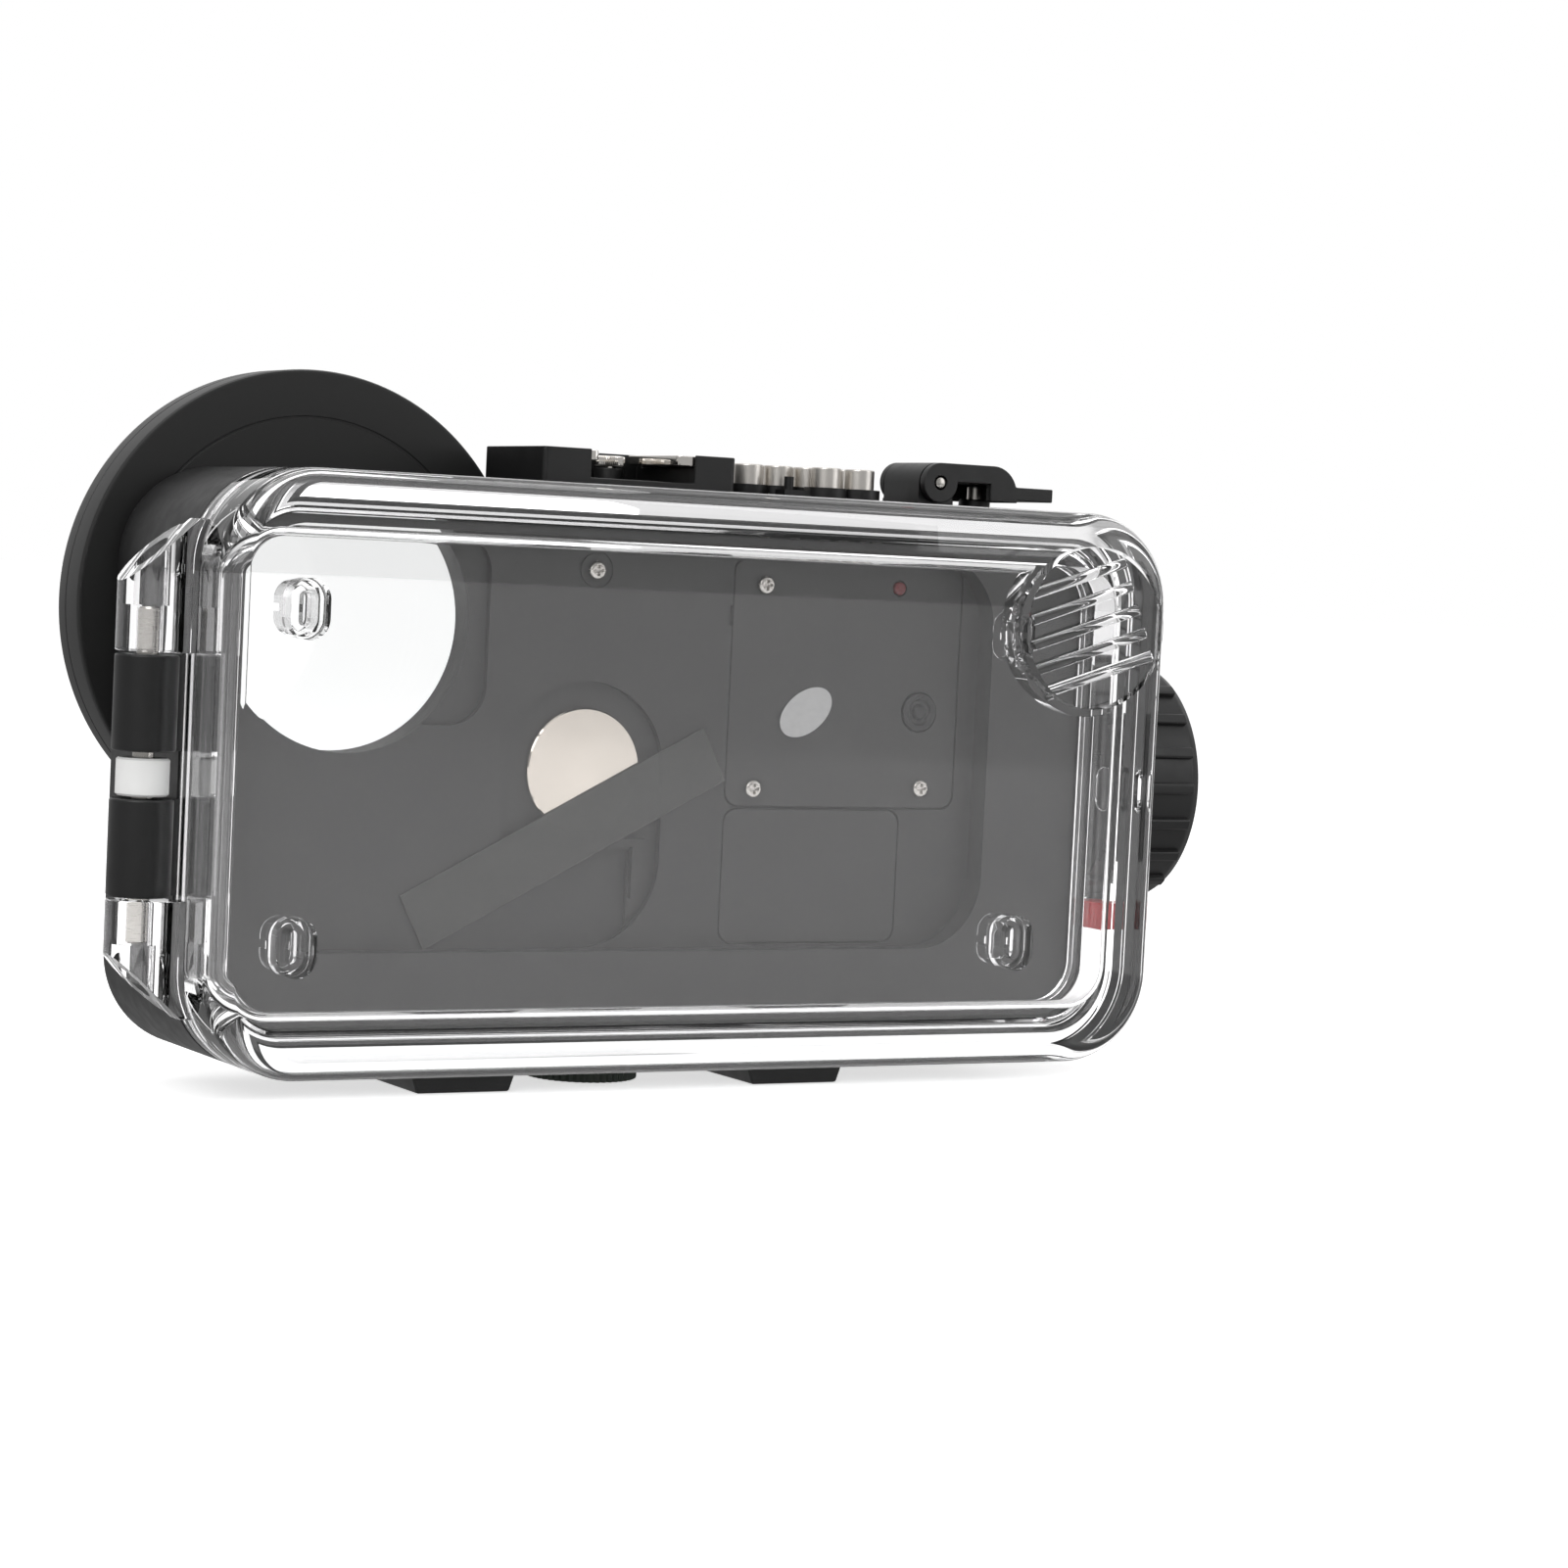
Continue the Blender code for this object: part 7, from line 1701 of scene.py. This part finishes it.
@dataclass
class ShutterLever:
    """The lever on its bracket, its pin, and the shutter button under it."""

    pivot: Flat = (64.2, 63.2)
    front: float = 8.0
    back: float = 26.0
    knuckle: float = 4.2
    bore: float = 1.5
    cheek: float = 1.7
    under: float = 0.3
    shutter: Flat = (78.4, 17.0)
    shutter_top: float = 63.2
    collar: Flat = (58.5, 60.3)

    def hole(self, low: float, high: float) -> Solid:
        """The pin's bore, cut from just before to just after a piece."""
        return Solid("hole").rod(self.pivot, self.bore, Axis.Y, low - 1, high + 1)

    def lever(self) -> None:
        """The bent lever arm with its slotted knuckle and leg."""
        (x, z), under, leg, pad = self.pivot, self.under, -3.3, -2.8
        outline = arc((0, 0), self.knuckle, 90, 360 + math.degrees(math.asin(under / self.knuckle)), 40)
        outline += [(12.4, under), (12.4, leg), (19.3, leg), (19.3, pad), (28.2, pad), (28.2, 0), (19.3, 0)]
        outline += arc((13.2, -1.75), self.knuckle + 1.75, 90, 18, 20)[::-1]
        flat = [(x + u, z + v) for u, v in outline]
        lever = Solid("lever_moulding").prism(flat, Axis.Y, self.front, self.back).made()
        low, high = self.front + self.cheek, self.back - self.cheek
        slot = Solid("slot").block((x - 6, low, z - 6), (x + 6.0, high, z + 6))
        leg_slot = Solid("leg_slot").block((x + 11, low, z - 6), (x + 18.5, high, z + under))
        combine(lever, [slot, leg_slot, self.hole(self.front, self.back)])
        dress(smooth(lever, 0.45, 3), BLACK, "shutter_lever", body=Body.LEVER.value)

    def bracket(self) -> None:
        """The bracket between the lever's cheeks, on its foot."""
        x, z = self.pivot
        low, high = self.front + 2.0, self.back - 2.0
        bracket = Solid("bracket_moulding").rod(self.pivot, self.knuckle, Axis.Y, low, high, 96).made()
        extra = [
            Solid("neck").block((x - 4.2, low, 58.5), (x + 4.2, high, z)),
            Solid("shoe").block((x - 4.4, low, 58.5), (x + 4.4, high, 59.7)),
        ]
        combine(combine(bracket, extra, "UNION"), [self.hole(low, high)])
        dress(smooth(bracket, 0.2, 2), BLACK, "lever_bracket")

    def pin(self) -> None:
        """The lever's pin with domed ends."""
        end = [(0, 0), (0.8, 0), (1.1, 0.15), (1.2, 0.4)]
        profile = [(radius, self.front + take) for radius, take in end]
        profile += [(radius, self.back - take) for radius, take in reversed(end)]
        turn_piece("lever_pin_turned", profile, Axis.Y, self.pivot, 48, STEEL, "lever_pin")

    def button(self) -> None:
        """The shutter button and its collar."""
        top, (seat, rim) = self.shutter_top, self.collar
        low = rim - 0.8
        cap = [(0, top), (1.3, top), (1.6, top - 0.3), (1.65, top - 0.6), (1.65, low), (1.0, low)]
        cap += [(1.0, STEM_END), (0, STEM_END)]
        node = "shutter_button"
        turn_piece("shutter_cap", cap, Axis.Z, self.shutter, 64, BUTTON_STEEL, node, Body.SHUTTER.value)
        ring = [(1.95, seat), (3.35, seat), (3.35, rim - 0.3), (3.05, rim), (1.95, rim)]
        turn_piece("shutter_collar_turned", ring, Axis.Z, self.shutter, 64, BLACK, "shutter_collar")

    def build(self) -> None:
        """Makes and dresses the lever group."""
        self.lever()
        self.bracket()
        self.pin()
        self.button()


@dataclass
class AccessoryShoe:
    """The block with a channel, two bright rails and a knurled lock screw."""

    low: Flat = (-28.4, 8.0)
    high: Flat = (15.0, 35.3)
    seat: float = 58.5
    top: float = 65.6
    floor_rise: float = 1.4
    channel: Flat = (-17.8, 5.6)
    rail_depth: float = 2.5
    rail_seats: Flat = (-25.2, 11.8)
    rail_seat_span: Flat = (8.5, 31.5)
    rails_across: tuple[tuple[str, float, float], ...] = (("left", -24.9, -15.6), ("right", 2.0, 11.5))
    rail_span: Flat = (8.8, 31.2)
    lock: Flat = (-3.3, 28.8)
    knurls: int = 48

    def block(self) -> None:
        """The black block with its channel and rail seats."""
        outline = round_box(self.low, self.high, 1.0, 6)
        block = Solid("shoe_moulding").prism(outline, Axis.Z, self.seat, self.top).made()
        floor, over = self.seat + self.floor_rise, self.top + 1
        rail_seat = self.top - self.rail_depth
        (left, right), (near, far) = self.channel, self.rail_seat_span
        cuts = [
            Solid("channel").block((left, self.low[1] - 1, floor), (right, self.high[1] - 2, over)),
            Solid("seat_left").block((self.rail_seats[0], near, rail_seat), (left + 1, far, over)),
            Solid("seat_right").block((right - 1, near, rail_seat), (self.rail_seats[1], far, over)),
        ]
        combine(block, cuts)
        combine(block, [Solid("post").rod(self.lock, 3.0, Axis.Z, floor - 0.5, 62.5)], "UNION")
        combine(block, [Solid("post_hole").rod(self.lock, 1.7, Axis.Z, floor, 63.5, 32)])
        dress(smooth(block, 0.3, 2), BLACK, "shoe_block")

    def rails(self) -> None:
        """The two polished rails on the block."""
        low = self.top - self.rail_depth + GAP
        near, far = self.rail_span
        for name, left, right in self.rails_across:
            outline = round_box((left, near), (right, far), 1.0, 8)
            rail = Solid(f"rail_{name}").prism(outline, Axis.Z, low, low + 2.0, 0.2, 3).made()
            dress(smooth(rail), CHROME, f"shoe_rail_{name}")

    def screw(self) -> None:
        """The lock screw with a knurled head and a driver slot."""
        top = self.seat - GAP + 6.8
        low, floor = top - 2.2, self.seat + self.floor_rise
        x, y = self.lock
        knurl = []
        for step in range(2 * self.knurls):
            turn = math.tau * step / (2 * self.knurls)
            radius = 3.2 - (0.18 if step % 2 else 0)
            knurl.append((x + radius * math.cos(turn), y + radius * math.sin(turn)))
        head = Solid("shoe_screw_turned").prism(knurl, Axis.Z, low, top, 0.3, 3).made()
        combine(head, [Solid("stem").rod(self.lock, 1.4, Axis.Z, floor + GAP, low + 0.2, 32)], "UNION")
        combine(head, [Solid("slot").block((x - 4, y - 0.4, top - 0.7), (x + 4, y + 0.4, top + 1))])
        dress(smooth(head), CHROME, "shoe_lock_screw", body=Body.SHOE_SCREW.value)

    def build(self) -> None:
        """Makes and dresses the shoe."""
        self.block()
        self.rails()
        self.screw()


@dataclass
class FeetAndValve:
    """Two feet under the body and the fluted cap of the vacuum valve between them."""

    floor: float = -62.2
    seat: float = -56.3
    feet: Flat = (-41.5, 33.8)
    foot_half: float = 12.0
    foot_taper: float = 2.0
    foot_span: Flat = (4.5, 34.5)
    valve: Flat = (-8.4, 19.5)
    cap_radius: float = 11.6
    cap_height: float = 5.3
    flutes: int = 48
    socket_radius: float = 4.8

    def foot(self, name: str, x: float) -> None:
        """One tapered foot.

        Args:
            name: left or right.
            x: Its middle.
        """
        half, short = self.foot_half, self.foot_half - self.foot_taper
        ground, seat = self.floor, self.seat
        outline = [(x - short, ground), (x + short, ground), (x + half, seat), (x - half, seat)]
        foot = Solid(f"foot_{name}_moulding").prism(outline, Axis.Y, *self.foot_span).made()
        dress(smooth(foot, 0.5, 3), BLACK, f"foot_{name}")

    def cap(self) -> None:
        """The cap with its row of flutes and a coin slot."""
        top, (x, y) = self.seat, self.valve
        low = top - self.cap_height
        outline = []
        for step in range(self.flutes * 4):
            turn = math.tau * step / (self.flutes * 4)
            radius = self.cap_radius - 0.22 * (1 - math.cos(turn * self.flutes))
            outline.append((x + radius * math.cos(turn), y + radius * math.sin(turn)))
        cap = Solid("valve_cap_moulding").prism(outline, Axis.Z, low, top, 0.35, 3).made()
        socket = Solid("socket").rod(self.valve, self.socket_radius, Axis.Z, low + 1.0, top + 1)
        coin = Solid("coin_slot").block((x - 8, y - 0.8, low - 1), (x + 8, y + 0.8, low + 0.55))
        combine(cap, [socket, coin])
        dress(smooth(cap), CAP_GREEN, "valve_cap", body=Body.CAP.value)

    def build(self) -> None:
        """Makes and dresses the feet and the cap."""
        for name, x in zip(("left", "right"), self.feet):
            self.foot(name, x)
        self.cap()


# the studio


@dataclass
class Studio:
    """The camera at the photographed angle, a pale floor, a white surround and soft lamps."""

    eye: Spot = (-365.19, -676.17, 43.79)
    azimuth: float = 30.0
    elevation: float = 3.21
    roll: float = -2.80
    lens: float = 88.26
    backdrop_edge: Flat = (0.5, 0.85)
    room: float = 0.44
    overhead_edge: Flat = (0.35, 0.75)
    overhead: float = 0.85
    ambient: float = 0.5
    floor_size: float = 12.0
    floor_drop: float = 0.0002
    floor_glow: float = 0.66
    lamps: tuple[tuple[str, Spot, Flat, float], ...] = (
        ("key", (-0.9, -0.8, 0.9), (0.8, 0.8), 6.5),
        ("fill", (1.0, -0.9, 0.5), (0.8, 0.8), 2.6),
        ("top", (0.0, 0.1, 1.1), (1.0, 0.6), 4.5),
    )

    def camera(self) -> None:
        """Places the camera."""
        azimuth, elevation, roll = (math.radians(a) for a in (self.azimuth, self.elevation, self.roll))
        level = math.cos(elevation)
        forward = Vector((math.sin(azimuth) * level, math.cos(azimuth) * level, -math.sin(elevation)))
        right = Vector((math.cos(azimuth), -math.sin(azimuth), 0))
        down = forward.cross(right)
        right_rolled = right * math.cos(roll) + down * math.sin(roll)
        down_rolled = -right * math.sin(roll) + down * math.cos(roll)
        data = bpy.data.cameras.new("camera")
        data.lens = self.lens
        data.sensor_width = 36
        data.clip_end = 50
        data.clip_start = 0.01
        camera = bpy.data.objects.new("camera", data)
        turn = Matrix((right_rolled, -down_rolled, -forward)).transposed()
        place = (Vector(self.eye) + PLANE_MIDDLE) * MILLIMETRE
        camera.matrix_world = Matrix.Translation(place) @ turn.to_4x4()
        bpy.context.scene.collection.objects.link(camera)
        bpy.context.scene.camera = camera

    def surround(self) -> None:
        """A white backdrop beyond the housing, a pale room round it, and soft light for matt surfaces."""
        world = bpy.data.worlds.new("surround")
        bpy.context.scene.world = world
        world.use_nodes = True
        graph = Graph(world.node_tree)
        path = graph.node("ShaderNodeLightPath").outputs
        way = graph.node("ShaderNodeTexCoord").outputs["Generated"]
        azimuth = math.radians(self.azimuth)
        beyond = (math.sin(azimuth), math.cos(azimuth), 0)
        facing = graph.node("ShaderNodeVectorMath", way, beyond, operation="DOT_PRODUCT").outputs["Value"]
        height = graph.node("ShaderNodeSeparateXYZ", way).outputs["Z"]
        backdrop = graph.eased(facing, self.backdrop_edge, (self.room, 1.0))
        overhead = graph.eased(height, self.overhead_edge, (0.0, self.overhead))
        seen = graph.calculate("MAXIMUM", backdrop, overhead)
        sharp = graph.calculate("MAXIMUM", path["Is Glossy Ray"], path["Is Transmission Ray"])
        shared = graph.node("ShaderNodeMapRange", Value=sharp, To_Min=self.ambient, To_Max=seen)
        background = graph.tree.nodes["Background"]
        graph.fill(background, "Color", (1, 1, 1, 1))
        strength = graph.calculate("MAXIMUM", shared.outputs["Result"], path["Is Camera Ray"])
        graph.fill(background, "Strength", strength)

    def floor_material(self) -> bpy.types.Material:
        """A pale matt floor: white and shadowed to the camera and through glass, and an even tone in mirrors.

        Returns:
            The material.
        """
        made = Recipe("floor_finish")
        made.put(Base_Color=(0.93, 0.93, 0.93, 1), Roughness=0.9, Specular_IOR_Level=0.0)
        plain = made.shader.outputs["BSDF"]
        path = made.node("ShaderNodeLightPath").outputs
        glow = made.node("ShaderNodeEmission", Strength=self.floor_glow).outputs["Emission"]
        even = made.node("ShaderNodeEmission", Strength=self.room).outputs["Emission"]
        lit = made.node("ShaderNodeAddShader", plain, glow).outputs["Shader"]
        glossy, through = path["Is Glossy Ray"], path["Is Transmission Ray"]
        seen = made.calculate("MAXIMUM", path["Is Camera Ray"], through)
        mirrored = made.calculate("SUBTRACT", glossy, through, use_clamp=True)
        made.show(made.mixed(mirrored, made.mixed(seen, plain, lit), even))
        return made.material

    def floor(self) -> None:
        """A large pale floor under the feet."""
        work = bmesh.new()
        bmesh.ops.create_grid(work, x_segments=1, y_segments=1, size=self.floor_size)
        mesh = bpy.data.meshes.new("floor")
        work.to_mesh(mesh)
        work.free()
        floor = bpy.data.objects.new("floor", mesh)
        floor.location.z = -self.floor_drop
        bpy.context.scene.collection.objects.link(floor)
        mesh.materials.append(self.floor_material())

    def lamp(self, name: str, spot: Spot, size: Flat, power: float) -> None:
        """A soft area lamp that looks at the housing.

        Args:
            name: Name of the lamp.
            spot: Its place in metres.
            size: Its width and height in metres.
            power: Its power in watts.
        """
        data = bpy.data.lights.new(name, "AREA")
        data.shape = "RECTANGLE"
        data.size, data.size_y = size
        data.energy = power
        lamp = bpy.data.objects.new(name, data)
        lamp.location = spot
        aim = Vector((0, 0, 0.06)) - Vector(spot)
        lamp.rotation_euler = aim.to_track_quat("-Z", "Y").to_euler()
        bpy.context.scene.collection.objects.link(lamp)

    def build(self) -> None:
        """Makes the studio."""
        self.camera()
        self.surround()
        self.floor()
        for lamp in self.lamps:
            self.lamp(*lamp)
        bpy.context.scene.view_settings.view_transform = "Standard"


ASSEMBLIES = (
    ClearCover,
    HousingBody,
    Hinge,
    PhoneTray,
    Electronics,
    DiscAndStrap,
    LensPort,
    Latch,
    PushButtons,
    ShutterLever,
    AccessoryShoe,
    FeetAndValve,
)


def main() -> None:
    """Builds the studio and every sub-assembly in order, and ends by giving the imported nodes that stay in
    view their finishes.
    """
    logging.basicConfig(level=logging.INFO, format="%(message)s")
    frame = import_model()
    Studio().build()
    for assembly in ASSEMBLIES:
        assembly().build()
    repaint(frame, RUBBER, "cover_seal", "port_seal", "shaft_seal", "valve_seal")
    repaint(frame, STEEL, "latch_shaft", "latch_cam", *(f"button_clip_{index}" for index in range(1, 7)))
    repaint(frame, BLACK, "electronics_bay", "vacuum_valve")
    repaint(frame, BOARD_GREEN, "circuit_board")
    repaint(frame, CELL_WRAP, "battery_cell")


if __name__ == "__main__":
    main()
